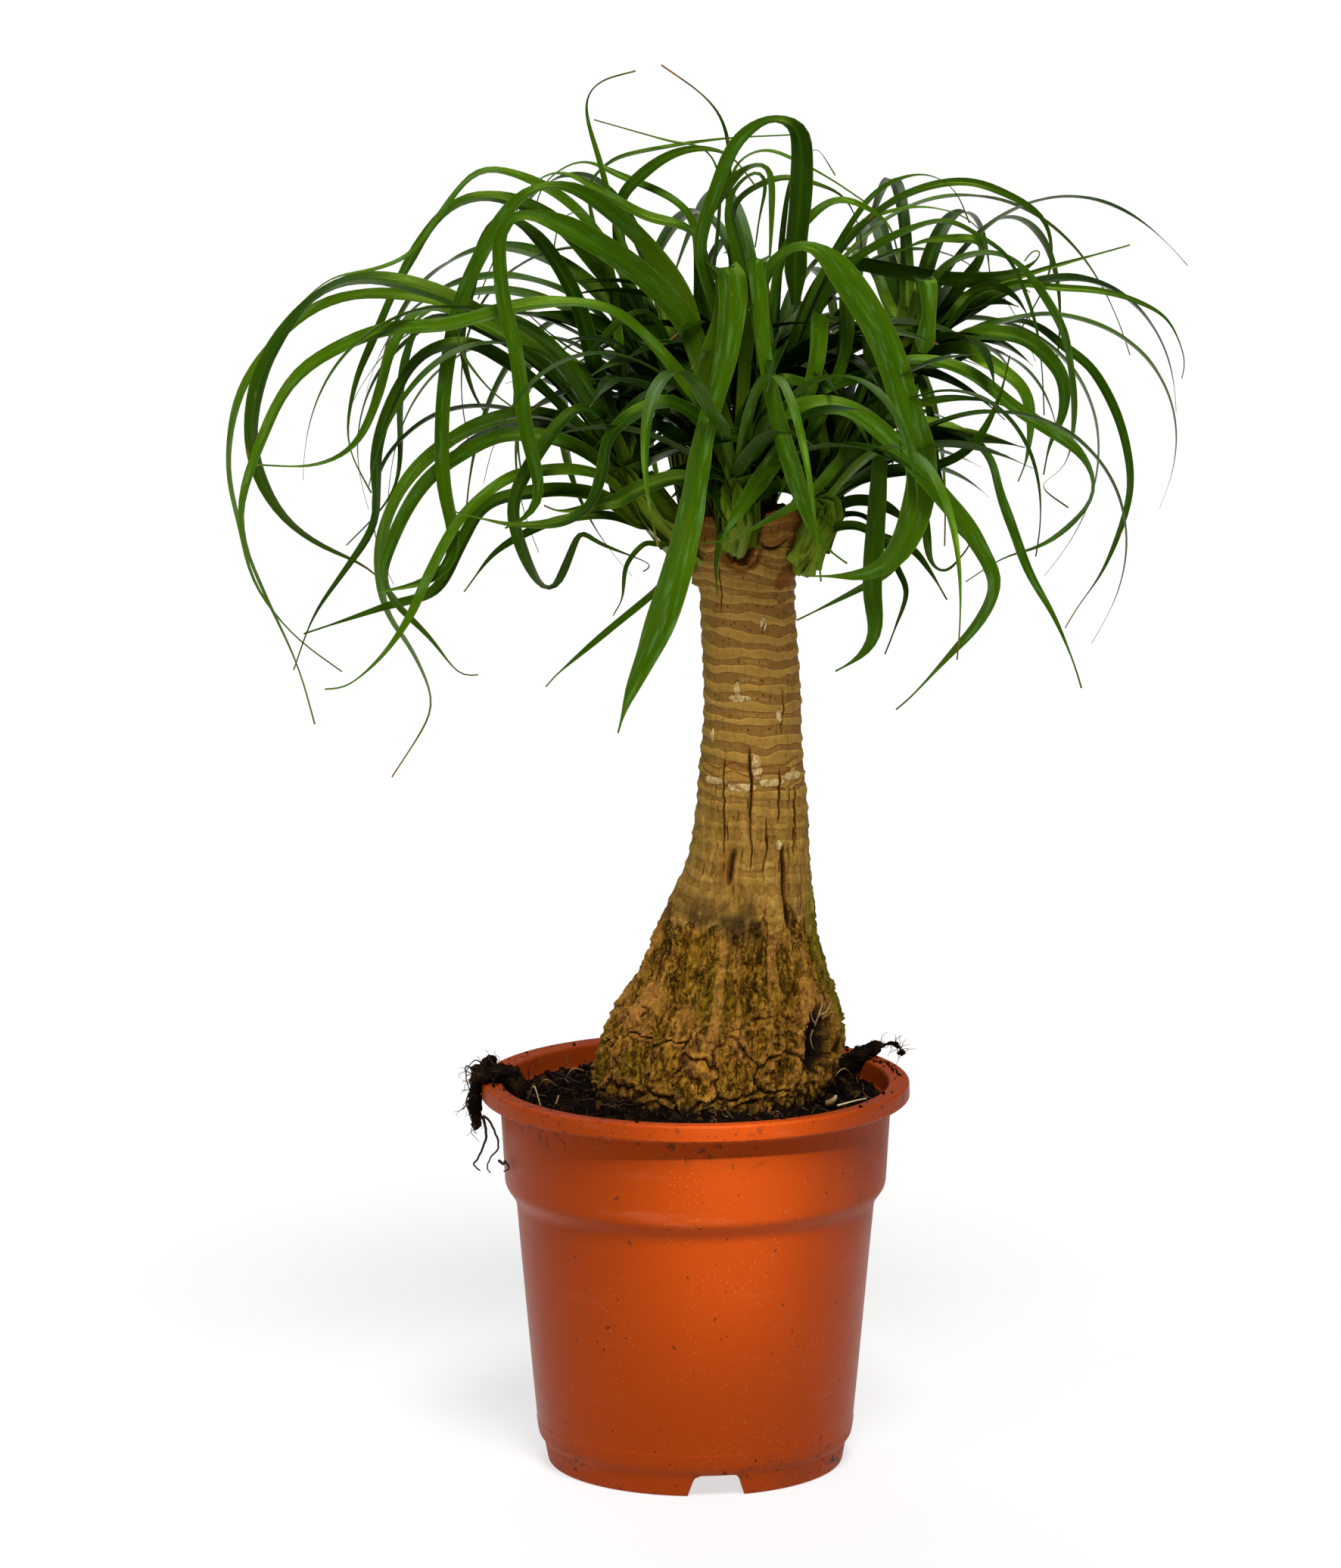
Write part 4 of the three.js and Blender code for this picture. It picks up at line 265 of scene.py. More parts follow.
        [4, [50, 60], [2.6, 3.6, 4.2], [2.9, 46.4, 1.9, 52, 1.5, 56, 1.8, 57.6, 3, 58.2, 4.3, 57.75,
         5.8, 56.95, 7.3, 55.95]],
        [4, [50, 60], [2.3, 1.8, 1.6], [3.3, 46, 4.2, 49.5, 5.2, 52.3, 6.7, 55, 8, 56.55, 9.75, 57.15,
         11.1, 56.5, 11.8, 55.05]],
        [5, [50, 60], [2.4, 2.8, 3.2], [3.3, 46, 4.6, 50, 5.5, 52.6, 7, 54.75, 9.1, 56.3, 11.55, 56.85,
         13.5, 56.25, 14.95, 55.3, 15.35, 54, 15.15, 52.5, 14, 50.35]],
        [5, [50, 60], [2.3, 0.4, 0], [3.3, 46, 5, 50.5, 6.2, 52.8, 7.65, 54, 9.15, 54.75, 10.8, 55.15,
         12.3, 54.4, 13.5, 53.5, 14.55, 51.15, 14.95, 49.1, 15.1, 46.7]],
        [10, [55, 70], [2.5, 3.2, 2.6], [3.2, 46, 4.3, 50, 5.3, 52.4, 6.4, 53.4, 9, 53, 12, 52.65,
         13.9, 52.95, 15, 53.7, 14.6, 54, 14.2, 53.4]],
        [3, [50, 60], [2.7, 4.2, 4.4], [3.3, 46.4, 5, 51.5, 6.2, 54, 7.4, 55.2, 9.5, 55.75, 11.4, 55.4,
         12.5, 54.5]],
    ],
    "back_left": [
        [12, [50, 75], [2.2, -1.2, -4], [-0.5, 45.6, -0.1, 49, -0.3, 51.3, -1.3, 53, -3.3, 55.2,
         -5.5, 56.65, -7.2, 56.5, -8.4, 55.2, -9.95, 52.3, -10.65, 49.6, -11, 46.7, -10.95, 43.6,
         -10.45, 41.35, -10.8, 39.9, -12.2, 39.25, -13.85, 38.95]],
        [6, [50, 60], [2.5, 2.2, 1], [-0.6, 46, -2.2, 51, -4.3, 54.6, -6, 56.3, -8, 57.2, -9.5, 57.2,
         -11.1, 55.3, -12.3, 53.7, -14, 53, -15.8, 52.65, -17.6, 51.05]],
        [8, [50, 60], [2.5, 3.2, 2.6], [-0.7, 46, -2.6, 50.5, -4.8, 53.8, -6.6, 55.5, -9.2, 56.2,
         -11, 55.35, -12.6, 52.9, -14, 49.85, -14.75, 48.1, -15.1, 45.5, -14.1, 43.3]],
        [7, [60, 60], [2.4, 2.4, 3], [-0.4, 46, 0.2, 50, 0.4, 53, -0.2, 54.7, -2.3, 55.4, -4.2, 56.5,
         -5.9, 57.25, -7.2, 56.6, -7.8, 55.4]],
        [5, [50, 60], [2.6, 3.6, 4.2], [-0.3, 46.4, 0, 51, 0, 54.5, -0.9, 56, -3.3, 57.1, -4.95, 57.7,
         -6.5, 56.8, -7, 55.4]],
        [4, [60, 60], [2.6, 3, 3], [-0.5, 46.4, -1.8, 51, -3.3, 54.5, -4.1, 57.5, -4.75, 60,
         -4.2, 61.1, -2.6, 61.6]],
        [3, [50, 60], [2.7, 4.4, 4.8], [-0.3, 46.4, 0.6, 52, 1, 56.5, 0.4, 58.2, -1.2, 58.6, -4.4, 59.5]],
        [4, [50, 60], [2.6, 4.8, 4.6], [-0.6, 46.4, -3.4, 52, -4.6, 56.2, -4, 57.4, -2.9, 58,
         0.85, 58.65, 4.05, 58.85]],
        [8, [50, 60], [2.5, 3.2, 2.6], [-0.5, 46.2, -2.8, 52, -3.3, 55.5, -2.45, 57, -0.65, 58.15,
         1.3, 58.05, 2.6, 56.6]],
        [6, [50, 60], [2.1, 0.2, 0], [-0.5, 45.8, -1, 49, -2, 51.1, -3.2, 50.8, -4.3, 49.7, -5, 49.35,
         -6.25, 50.2, -7.15, 51]],
    ],
}

# Broad straps by shoot and place in its list: width before and after the crest as shares of the course's
# width, tone before and after it as painted light and shade (dark where a limb is in shade, light where it
# is lit), 1 where the blade folds over a tight crest, and where the tip begins.
STRAPS = {
    ("front", 0): (0.85, 0.98, 0.35, 0.84, 1, 0.80),
    ("front", 6): (0.90, 0.54, 0.56, 0.58, 0, 0.84),
    ("front", 8): (0.80, 0.80, 0.40, 0.70, 1, 0.78),
    ("front", 9): (0.50, 0.90, 0.50, 0.78, 0, 0.78),
    ("right", 1): (0.75, 0.90, 0.35, 0.66, 1, 0.80),
    ("right", 2): (0.75, 0.80, 0.30, 0.48, 1, 0.80),
    ("right", 3): (0.80, 0.85, 0.35, 0.55, 1, 0.80),
    ("right_back", 9): (0.80, 1.00, 0.35, 0.72, 1, 0.95),
    ("back", 0): (0.60, 0.92, 0.60, 0.08, 0, 0.97),
    ("back", 10): (0.80, 0.90, 0.66, 0.66, 0, 0.72),
    ("back_left", 0): (0.70, 0.50, 0.50, 0.60, 0, 0.84),
}

# Leaves that fill the crown where no course is given: how many each shoot has, the longest, the middle of
# the fan and its spread in degrees (0 points to +X, 90 to the back).
FANS = {
    "front": {"count": 4, "longest": 270, "towards": -95, "spread": 130, "seed": 19},
    "left": {"count": 5, "longest": 240, "towards": 175, "spread": 130, "seed": 23},
    "right": {"count": 4, "longest": 240, "towards": -20, "spread": 110, "seed": 37},
    "right_back": {"count": 8, "longest": 215, "towards": 55, "spread": 130, "seed": 47},
    "back": {"count": 12, "longest": 300, "towards": 85, "spread": 150, "seed": 59},
    "back_left": {"count": 9, "longest": 290, "towards": 140, "spread": 120, "seed": 67},
}

# Short leaves that close the heart of each shoot, by the same rule, given a dark tone as painted shade of
# the crown's inside; droop is a share of the usual one.
HEARTS = {
    "front": {"count": 14, "longest": 105, "towards": 70, "spread": 300, "seed": 103, "droop": 0.40},
    "left": {"count": 14, "longest": 90, "towards": 80, "spread": 230, "seed": 107, "droop": 0.5},
    "right": {"count": 26, "longest": 115, "towards": 80, "spread": 280, "seed": 109, "droop": 0.45},
    "right_back": {"count": 14, "longest": 85, "towards": 80, "spread": 260, "seed": 113, "droop": 0.6},
    "back": {"count": 44, "longest": 125, "towards": 90, "spread": 350, "seed": 127, "droop": 0.5},
    "back_left": {"count": 30, "longest": 105, "towards": 90, "spread": 320, "seed": 131, "droop": 0.45},
}

# Each shoot: where it leaves the stem, where its leaves part, and its radius low and high.
SHOOTS = {
    "front": {"from": (18, -20, 408), "to": (17, -30, 438), "low": 9, "high": 8},
    "left": {"from": (3, -3, 402), "to": (-30, -7, 440), "low": 9, "high": 11},
    "right": {"from": (43, -9, 398), "to": (55, -11, 428), "low": 8, "high": 9},
    "right_back": {"from": (40, 10, 411), "to": (93, 26, 486), "low": 7.5, "high": 11},
    "back": {"from": (24, 19, 414), "to": (30, 25, 462), "low": 9, "high": 12},
    "back_left": {"from": (6, 13, 411), "to": (-5, 25, 456), "low": 8, "high": 10},
}

# ---------------------------------------------------------------- helpers


def lerp(a, b, t):
    return a + (b - a) * t


def smooth(t):
    """0 below 0, 1 above 1, and an even slope between."""
    t = np.clip(t, 0, 1)
    return t * t * (3 - 2 * t)


def bump(x, width):
    """A soft hill, 1 at zero."""
    return np.exp(-(x / width) ** 2)


def unit(v):
    """The same directions with a length of 1."""
    return v / np.maximum(np.linalg.norm(v, axis=-1, keepdims=True), 1e-9)


def wrapped(angle):
    """The same angle between minus and plus half a turn."""
    return angle - TAU * np.round(angle / TAU)


def draws(seed):
    """A repeatable series of draws from 0 to 1, the same as in the part's source."""
    state = seed
    while True:
        state = (state * 1664525 + 1013904223) % 4294967296
        yield state / 4294967296


def lattice(ix, iy, iz, seed):
    """A fixed draw from 0 to 1 for every whole-number place."""
    mixed = (ix * 374761393 + iy * 668265263 + iz * 974711 + seed * 1274126177) & 0xFFFFFFFF
    mixed = ((mixed ^ (mixed >> 13)) * 1274126177) & 0xFFFFFFFF
    return ((mixed ^ (mixed >> 16)) & 0xFFFFFF) / 0xFFFFFF


def noise(x, y, z=0.0, seed=1):
    """Smooth noise from -1 to 1 at arrays of points, one feature per unit."""
    x, y, z = np.broadcast_arrays(np.asarray(x, float), np.asarray(y, float), np.asarray(z, float))
    cell = [np.floor(c).astype(np.int64) for c in (x, y, z)]
    part = [smooth(c - f) for c, f in zip((x, y, z), cell)]
    total = 0.0
    for corner in range(8):
        offset = [corner & 1, (corner >> 1) & 1, corner >> 2]
        weight = 1.0
        for share, o in zip(part, offset):
            weight = weight * (share if o else 1 - share)
        total = total + weight * lattice(*(c + o for c, o in zip(cell, offset)), seed)
    return 2 * total - 1


def rough(x, y, z=0.0, seed=1, octaves=3):
    """Noise with finer and fainter octaves on top."""
    total = 0.0
    for n in range(octaves):
        total = total + noise(x * 2 ** n, y * 2 ** n, z * 2 ** n, seed + 7 * n) * 0.55 ** n
    return total


def spline(points, t):
    """Points at shares t of a smooth curve through the given points."""
    knots = np.asarray(points, float)
    place = (len(knots) - 1) * np.asarray(t, float)
    first = np.minimum(np.floor(place).astype(int), len(knots) - 2)
    w = (place - first)[:, None]
    padded = np.vstack([2 * knots[0] - knots[1], knots, 2 * knots[-1] - knots[-2]])
    p0, p1, p2, p3 = (padded[first + k] for k in range(4))
    t0, t1 = 0.5 * (p2 - p0), 0.5 * (p3 - p1)
    return p1 + t0 * w + (3 * (p2 - p1) - 2 * t0 - t1) * w ** 2 + (2 * (p1 - p2) + t0 + t1) * w ** 3


def spaced(points, steps):
    """Evenly spaced points along the smooth curve, both ends included."""
    fine_t = np.linspace(0, 1, 201)
    fine = spline(points, fine_t)
    run = np.concatenate([[0], np.cumsum(np.linalg.norm(np.diff(fine, axis=0), axis=1))])
    return spline(points, np.interp(np.linspace(0, run[-1], steps + 1), run, fine_t))


# ---------------------------------------------------------------- meshes

pot_low, pot_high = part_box("pot")
AXIS = np.array([(pot_low.x + pot_high.x) / 2, (pot_low.y + pot_high.y) / 2, 0.0])
LOWEST = np.array(cad_box[0]) + 0.0001
HIGHEST = np.array(cad_box[1]) - 0.0001


def placed(name, data):
    made = bpy.data.objects.new(name, data)
    bpy.context.scene.collection.objects.link(made)
    return made


def modified_mesh(piece, kind, **settings):
    """A new mesh: the piece's own after one modifier."""
    modifier = piece.modifiers.new("shaping", kind)
    for key, value in settings.items():
        setattr(modifier, key, value)
    bpy.context.view_layer.update()
    mesh = bpy.data.meshes.new_from_object(piece.evaluated_get(bpy.context.evaluated_depsgraph_get()))
    piece.modifiers.clear()
    return mesh


class Skin:
    """Collects points, faces and per-point values, and turns them into one object."""

    def __init__(self):
        self.points, self.faces, self.values, self.count = [], [], {}, 0

    def add(self, points, faces, **values):
        points = np.asarray(points, float).reshape(-1, 3)
        for name, value in values.items():
            full = np.broadcast_to(np.asarray(value, float), (len(points),))
            self.values.setdefault(name, []).append(full)
        self.points.append(points)
        self.faces.extend([corner + self.count for corner in face] for face in faces)
        self.count += len(points)

    def piece(self, name, material, slot, replaced=(), *, sharp):
        mesh = bpy.data.meshes.new(name)
        places = np.clip(np.vstack(self.points) * MM + AXIS, LOWEST, HIGHEST)
        mesh.from_pydata(places.tolist(), [], self.faces)
        for key, parts in self.values.items():
            set_values(mesh, key, np.concatenate(parts))
        return dressed(mesh, name, material, replaced, sharp)


def set_values(mesh, key, values):
    layer = mesh.attributes.new(key, "FLOAT", "POINT")
    layer.data.foreach_set("value", values.astype(np.float32))


def dressed(mesh, name, material, replaced, sharp):
    """A visible piece on the part's body; edges sharper than an angle in degrees stay sharp."""
    mesh.validate()
    mesh.polygons.foreach_set("use_smooth", [True] * len(mesh.polygons))
    mesh.set_sharp_from_angle(angle=math.radians(sharp))
    mesh.materials.clear()
    mesh.materials.append(material)
    made = placed(name, mesh)
    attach(made, "root")
    if replaced:
        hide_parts(*replaced)
    return made


def ring_faces(rows, sides):
    """Quads between rings of points."""
    r, k = np.meshgrid(np.arange(rows - 1), np.arange(sides), indexing="ij")
    a = (r * sides + k).ravel()
    b = (r * sides + (k + 1) % sides).ravel()
    return np.stack([a, b, b + sides, a + sides], axis=1)


def capped_faces(rows, sides):
    """Quads between rings of points, and a cap on the first and the last ring."""
    last = (rows - 1) * sides
    caps = [[*range(sides - 1, -1, -1)], [*range(last, last + sides)]]
    return ring_faces(rows, sides).tolist() + caps


def ring_angles(sides):
    return np.arange(sides) * TAU / sides


def frames_along(points):
    """Unit tangents of a course and two directions square to each, carried along without twisting."""
    along = unit(np.gradient(points, axis=0))
    across = np.empty_like(points)
    start = np.array([0.13, 0.97, 0.21]) if abs(along[0][1]) < 0.9 else np.array([1.0, 0.1, 0.1])
    for n, way in enumerate(along):
        previous = start if n == 0 else across[n - 1]
        across[n] = unit(previous - way * previous.dot(way))
    return along, across, np.cross(along, across)


def tube(skin, points, radii, sides, **values):
    """A round strand with capped ends."""
    points = np.asarray(points, float)
    radii = np.broadcast_to(np.asarray(radii, float), (len(points),))
    _, across, over = frames_along(points)
    angle = ring_angles(sides)
    circle = np.cos(angle)[None, :, None] * across[:, None] + np.sin(angle)[None, :, None] * over[:, None]
    rings = points[:, None] + radii[:, None, None] * circle
    full = {key: np.repeat(np.broadcast_to(v, (len(points),)), sides) for key, v in values.items()}
    skin.add(rings, capped_faces(len(points), sides), **full)


def icosphere(detail):
    """Points and faces of a ball of radius 1."""
    made = bmesh.new()
    bmesh.ops.create_icosphere(made, subdivisions=detail, radius=1)
    points = np.array([v.co for v in made.verts])
    faces = [[v.index for v in f.verts] for f in made.faces]
    made.free()
    return points, faces


# ---------------------------------------------------------------- materials


class Paint:
    """A procedural material and short ways to add its nodes."""

    def __init__(self, name, roughness=0.5, tint=(1, 1, 1), **sockets):
        self.material = bpy.data.materials.new(name)
        self.material.use_nodes = True
        self.tree = self.material.node_tree
        self.shader = self.tree.nodes["Principled BSDF"]
        self.shader.inputs["Roughness"].default_value = roughness
        self.shader.inputs["Specular Tint"].default_value = (*tint, 1)
        for key, value in sockets.items():
            self.shader.inputs[key.replace("_", " ")].default_value = value

    def node(self, kind, inputs=None, **settings):
        made = self.tree.nodes.new("ShaderNode" + kind)
        for key, value in settings.items():
            setattr(made, key, value)
        for key, value in (inputs or {}).items():
            self.put(made.inputs[key], value)
        return made

    def put(self, socket, value):
        if isinstance(value, bpy.types.NodeSocket):
            self.tree.links.new(value, socket)
        else:
            socket.default_value = value

    def place(self, scale=(1, 1, 1)):
        """Object coordinates in metres, stretched."""
        coordinates = self.node("TexCoord").outputs["Object"]
        return self.node("Mapping", {"Vector": coordinates, "Scale": scale}).outputs["Vector"]

    def value(self, name):
        return self.node("Attribute", attribute_name=name).outputs["Fac"]

    def vector(self, x, y, z):
        return self.node("CombineXYZ", {"X": x, "Y": y, "Z": z}).outputs["Vector"]

    def noise(self, scale, vector=None, detail=3.0, roughness=0.55, distortion=0.0):
        inputs = {"Scale": scale, "Detail": detail, "Roughness": roughness, "Distortion": distortion}
        inputs["Vector"] = self.place() if vector is None else vector
        return self.node("TexNoise", inputs).outputs["Fac"]

    def cells(self, scale, vector=None):
        inputs = {"Scale": scale, "Vector": self.place() if vector is None else vector}
        return self.node("TexVoronoi", inputs).outputs["Distance"]

    def stretched(self, scale, **settings):
        """Noise with its own number of features per metre in x, y and z."""
        return self.noise(1.0, self.place(scale), **settings)

    def calc(self, operation, first, *others):
        """The values joined by one operation, from the left."""
        total = first
        for value in others:
            made = self.node("Math", operation=operation)
            self.put(made.inputs[0], total)
            self.put(made.inputs[1], value)
            total = made.outputs[0]
        return total

    def times(self, *values):
        return self.calc("MULTIPLY", *values)

    def plus(self, *values):
        return self.calc("ADD", *values)

    def minus(self, *values):
        return self.calc("SUBTRACT", *values)

    def size(self, value):
        return self.calc("ABSOLUTE", value, 0.0)

    def swing(self, noise, amount):
        """Noise that swings to both sides of zero."""
        return self.times(self.minus(noise, 0.5), amount)

    def step(self, value, low, high):
        """0 below low, 1 above high and smooth between; low above high turns it round."""
        inputs = {"Value": value, "From Min": low, "From Max": high}
        return self.node("MapRange", inputs, interpolation_type="SMOOTHSTEP").outputs["Result"]

    def ramp(self, value, stops):
        made = self.node("ValToRGB", {"Fac": value})
        band = made.color_ramp
        while len(band.elements) < len(stops):
            band.elements.new(1.0)
        for element, (place, colour) in zip(band.elements, stops):
            element.position = place
            element.color = (*colour, 1.0)
        return made.outputs["Color"]

    def layer(self, under, over, mask, share=1.0):
        """One colour over another where the mask shows, never by more than the share."""
        made = self.node("Mix", data_type="RGBA")
        self.put(made.inputs["Factor"], mask if share == 1 else self.times(mask, share))
        for socket, colour in ((made.inputs[6], under), (made.inputs[7], over)):
            self.put(socket, (*colour, 1.0) if isinstance(colour, tuple) else colour)
        return made.outputs[2]

    def finish(self, colour, roughness, height, depth, strength):
        self.put(self.shader.inputs["Base Color"], colour)
        if roughness is not None:
            self.put(self.shader.inputs["Roughness"], roughness)
        made = self.node("Bump", {"Height": height, "Distance": depth, "Strength": strength})
        self.put(self.shader.inputs["Normal"], made.outputs["Normal"])
        return self.material


def leaf_material():
    """Glossy gutter leaves: pale base, fine veins, faint margins, spots, scratches, pale patches of painted
    sheen, dry tips.
    """
    p = Paint("leaf_surface", roughness=0.40, tint=(0.62, 1.0, 0.08), Specular_IOR_Level=0.36)
    across, tone, run, side = (p.value(name) for name in ("across", "tone", "run", "side"))

    def on_blade(side_scale, run_scale, third=tone):
        """A place on the blade: across it, along it, and a third number that differs from leaf to leaf."""
        return p.vector(p.times(side, side_scale), p.times(run, run_scale), third)

    patch = p.noise(1.0, on_blade(0.16, 0.025), detail=3)
    # The darkest stops of this ramp give the painted shade of the heart leaves and of the shaded limbs of
    # straps.
    green = p.ramp(p.plus(p.times(tone, 0.55), p.times(patch, 0.45)), [
        (0.15, (0.001, 0.009, 0.000)),
        (0.34, (0.006, 0.025, 0.000)),
        (0.56, (0.020, 0.060, 0.000)),
        (0.80, (0.054, 0.124, 0.001)),
    ])
    young = p.ramp(p.value("heart"), [
        (0.0, (0.230, 0.275, 0.020)),
        (0.35, (0.145, 0.225, 0.006)),
        (1.0, (0.050, 0.112, 0.001)),
    ])
    colour = p.layer(green, young, p.value("base"))
    middle = p.step(p.size(across), 0.30, 0.0)
    colour = p.layer(colour, (0.055, 0.130, 0.002), middle, 0.20)
    veins = p.noise(1.0, on_blade(4.2, 0.012), detail=2)
    colour = p.layer(colour, (0.008, 0.040, 0.001), p.step(veins, 0.42, 0.70), 0.42)
    margin = p.step(p.size(across), 0.90, 0.985)
    colour = p.layer(colour, (0.090, 0.130, 0.014), margin, 0.55)
    colour = p.layer(colour, (0.020, 0.056, 0.001), p.value("under"), 0.35)
    spots = p.step(p.cells(1.0, on_blade(0.10, 0.030, p.times(tone, 9))), 0.075, 0.035)
    colour = p.layer(colour, (0.17, 0.105, 0.020), spots, 0.60)
    scratches = p.step(p.cells(1.0, on_blade(1.3, 0.10, p.times(tone, 5))), 0.085, 0.03)
    colour = p.layer(colour, (0.30, 0.42, 0.18), scratches, 0.55)
    brown = p.ramp(patch, [(0.3, (0.05, 0.022, 0.006)), (0.7, (0.20, 0.10, 0.022))])
    colour = p.layer(colour, brown, p.value("dry"))
    # Painted sheen: pale green patches on the lighter leaves stand in for highlights; the same noise also
    # sets gloss and bump.
    sheen_noise = p.noise(1.0, on_blade(0.5, 0.06), detail=3)
    painted_sheen = p.times(p.step(sheen_noise, 0.50, 0.72), p.step(tone, 0.35, 0.80))
    colour = p.layer(colour, (0.125, 0.270, 0.080), painted_sheen, 0.34)
    gloss = p.ramp(sheen_noise, [(0.3, (0.27,) * 3), (0.7, (0.44,) * 3)])
    height = p.plus(veins, p.times(sheen_noise, 0.6))
    return p.finish(colour, gloss, height, depth=0.00022, strength=0.55)


def pot_material():
    """Satin plastic with rubbed patches, scuffs, peat specks, and a darker film low down and under the rim
    that is painted shade as well as peat dust.
    """
    p = Paint("pot_plastic_surface", roughness=0.42, tint=(1.0, 0.50, 0.25), Specular_IOR_Level=0.12)
    cloud = p.noise(9.0, detail=3)
    grain = p.noise(700.0, detail=2)
    dust = p.value("dust")
    colour = p.layer((0.275, 0.034, 0.002), (0.315, 0.041, 0.004), p.step(cloud, 0.35, 0.70), 0.5)
    bleached = p.step(p.stretched((22, 22, 120), detail=4), 0.60, 0.78)
    colour = p.layer(colour, (0.48, 0.15, 0.07), bleached, 0.16)
    scuffs = p.step(p.stretched((90, 90, 420), detail=5, roughness=0.7), 0.70, 0.78)
    scuffs = p.times(scuffs, p.step(p.noise(26.0, detail=1), 0.52, 0.64))
    colour = p.layer(colour, (0.70, 0.34, 0.20), scuffs, 0.42)
    pale_specks = p.times(p.step(p.cells(520.0), 0.16, 0.09), p.step(p.noise(30.0, detail=4), 0.44, 0.60))
    colour = p.layer(colour, (0.66, 0.24, 0.11), pale_specks, 0.38)
    lone_specks = p.step(p.noise(230.0, detail=3, roughness=0.6), 0.685, 0.705)
    colour = p.layer(colour, (0.050, 0.014, 0.006), lone_specks, 0.85)
    cluster = p.step(p.noise(21.0, detail=3), 0.43, 0.54)
    specks = p.times(p.step(p.noise(240.0, detail=5, roughness=0.75), 0.565, 0.60), cluster, dust)
    colour = p.layer(colour, (0.028, 0.012, 0.006), specks)
    # Darker film: peat dust, and low down and under the rim painted shade as well.
    shade_and_dust_film = p.times(dust, p.step(p.noise(34.0, detail=5), 0.48, 0.75))
    colour = p.layer(colour, (0.110, 0.030, 0.010), shade_and_dust_film, 0.30)
    colour = p.layer(colour, (0.20, 0.030, 0.006), p.value("inside"), 0.35)
    gloss = p.plus(p.times(p.step(cloud, 0.3, 0.7), 0.07), p.times(grain, 0.06), 0.33, p.times(dust, 0.18))
    return p.finish(colour, gloss, grain, depth=0.00012, strength=0.35)


def band_colour(p, edge, fine):
    """The bare stem: brown bands between pale scars, with a thin painted shadow beside each scar, lower down
    faded into upright fibres.
    """
    bands = p.ramp(edge, [
        (0.00, (0.195, 0.090, 0.020)),
        (0.40, (0.225, 0.108, 0.024)),
        # The dark stop just below the pale scar is a painted shadow of the scar.
        (0.49, (0.125, 0.050, 0.008)),
        (0.53, (0.450, 0.255, 0.060)),
        (0.62, (0.340, 0.186, 0.036)),
        (1.00, (0.260, 0.134, 0.024)),
    ])
    blotch = p.stretched((60, 60, 110), detail=4, distortion=0.6)
    bands = p.layer(bands, (0.190, 0.110, 0.010), p.step(blotch, 0.46, 0.75), 0.35)
    bands = p.layer(bands, (0.080, 0.036, 0.008), p.step(fine, 0.48, 0.70), 0.26)
    bands = p.layer(bands, (0.400, 0.235, 0.060), p.value("ring"), 0.8)
    threads = p.stretched((430, 430, 30), detail=4)
    bands = p.layer(bands, (0.100, 0.046, 0.008), p.step(threads, 0.54, 0.70), 0.30)
    upright = p.stretched((300, 300, 70), detail=5, roughness=0.65, distortion=0.6)
    plain = p.ramp(upright, [
        (0.32, (0.085, 0.036, 0.006)),
        (0.48, (0.215, 0.110, 0.016)),
        (0.60, (0.330, 0.190, 0.034)),
        (0.78, (0.450, 0.290, 0.075)),
    ])
    return p.layer(bands, plain, p.value("faded"), 0.62)


def cork_colour(p, lower, crumb, rubbed, split):
    """The corky base: crumbly and dark between the plates, with painted highlights on its raised crumbs and
    painted shade in its pits, tan where their lips are rubbed.
    """
    corky = p.ramp(lower, [
        (0.30, (0.012, 0.005, 0.000)),
        (0.43, (0.085, 0.036, 0.000)),
        (0.53, (0.215, 0.100, 0.006)),
        (0.65, (0.370, 0.178, 0.016)),
        (0.80, (0.540, 0.300, 0.050)),
    ])
    olive = p.step(p.stretched((26, 26, 20), detail=3), 0.45, 0.65)
    corky = p.layer(corky, (0.150, 0.098, 0.002), olive, 0.50)
    ruddy = p.step(p.stretched((70, 70, 34), detail=3), 0.50, 0.66)
    corky = p.layer(corky, (0.310, 0.120, 0.026), ruddy, 0.50)
    loose = p.minus(1.0, p.times(p.value("plate"), 0.50))
    # Painted highlight on the raised crumbs, then painted shade in the pits between them.
    corky = p.layer(corky, (0.500, 0.290, 0.060), p.times(p.step(crumb, 0.54, 0.68), 0.75, loose))
    corky = p.layer(corky, (0.016, 0.007, 0.000), p.times(p.step(crumb, 0.44, 0.32), 0.75, loose))
    worn = p.times(rubbed, p.plus(p.times(p.step(crumb, 0.40, 0.58), 0.36), 0.20))
    corky = p.layer(corky, (0.430, 0.195, 0.044), worn)
    return p.layer(corky, (0.016, 0.006, 0.000), split, 0.85)


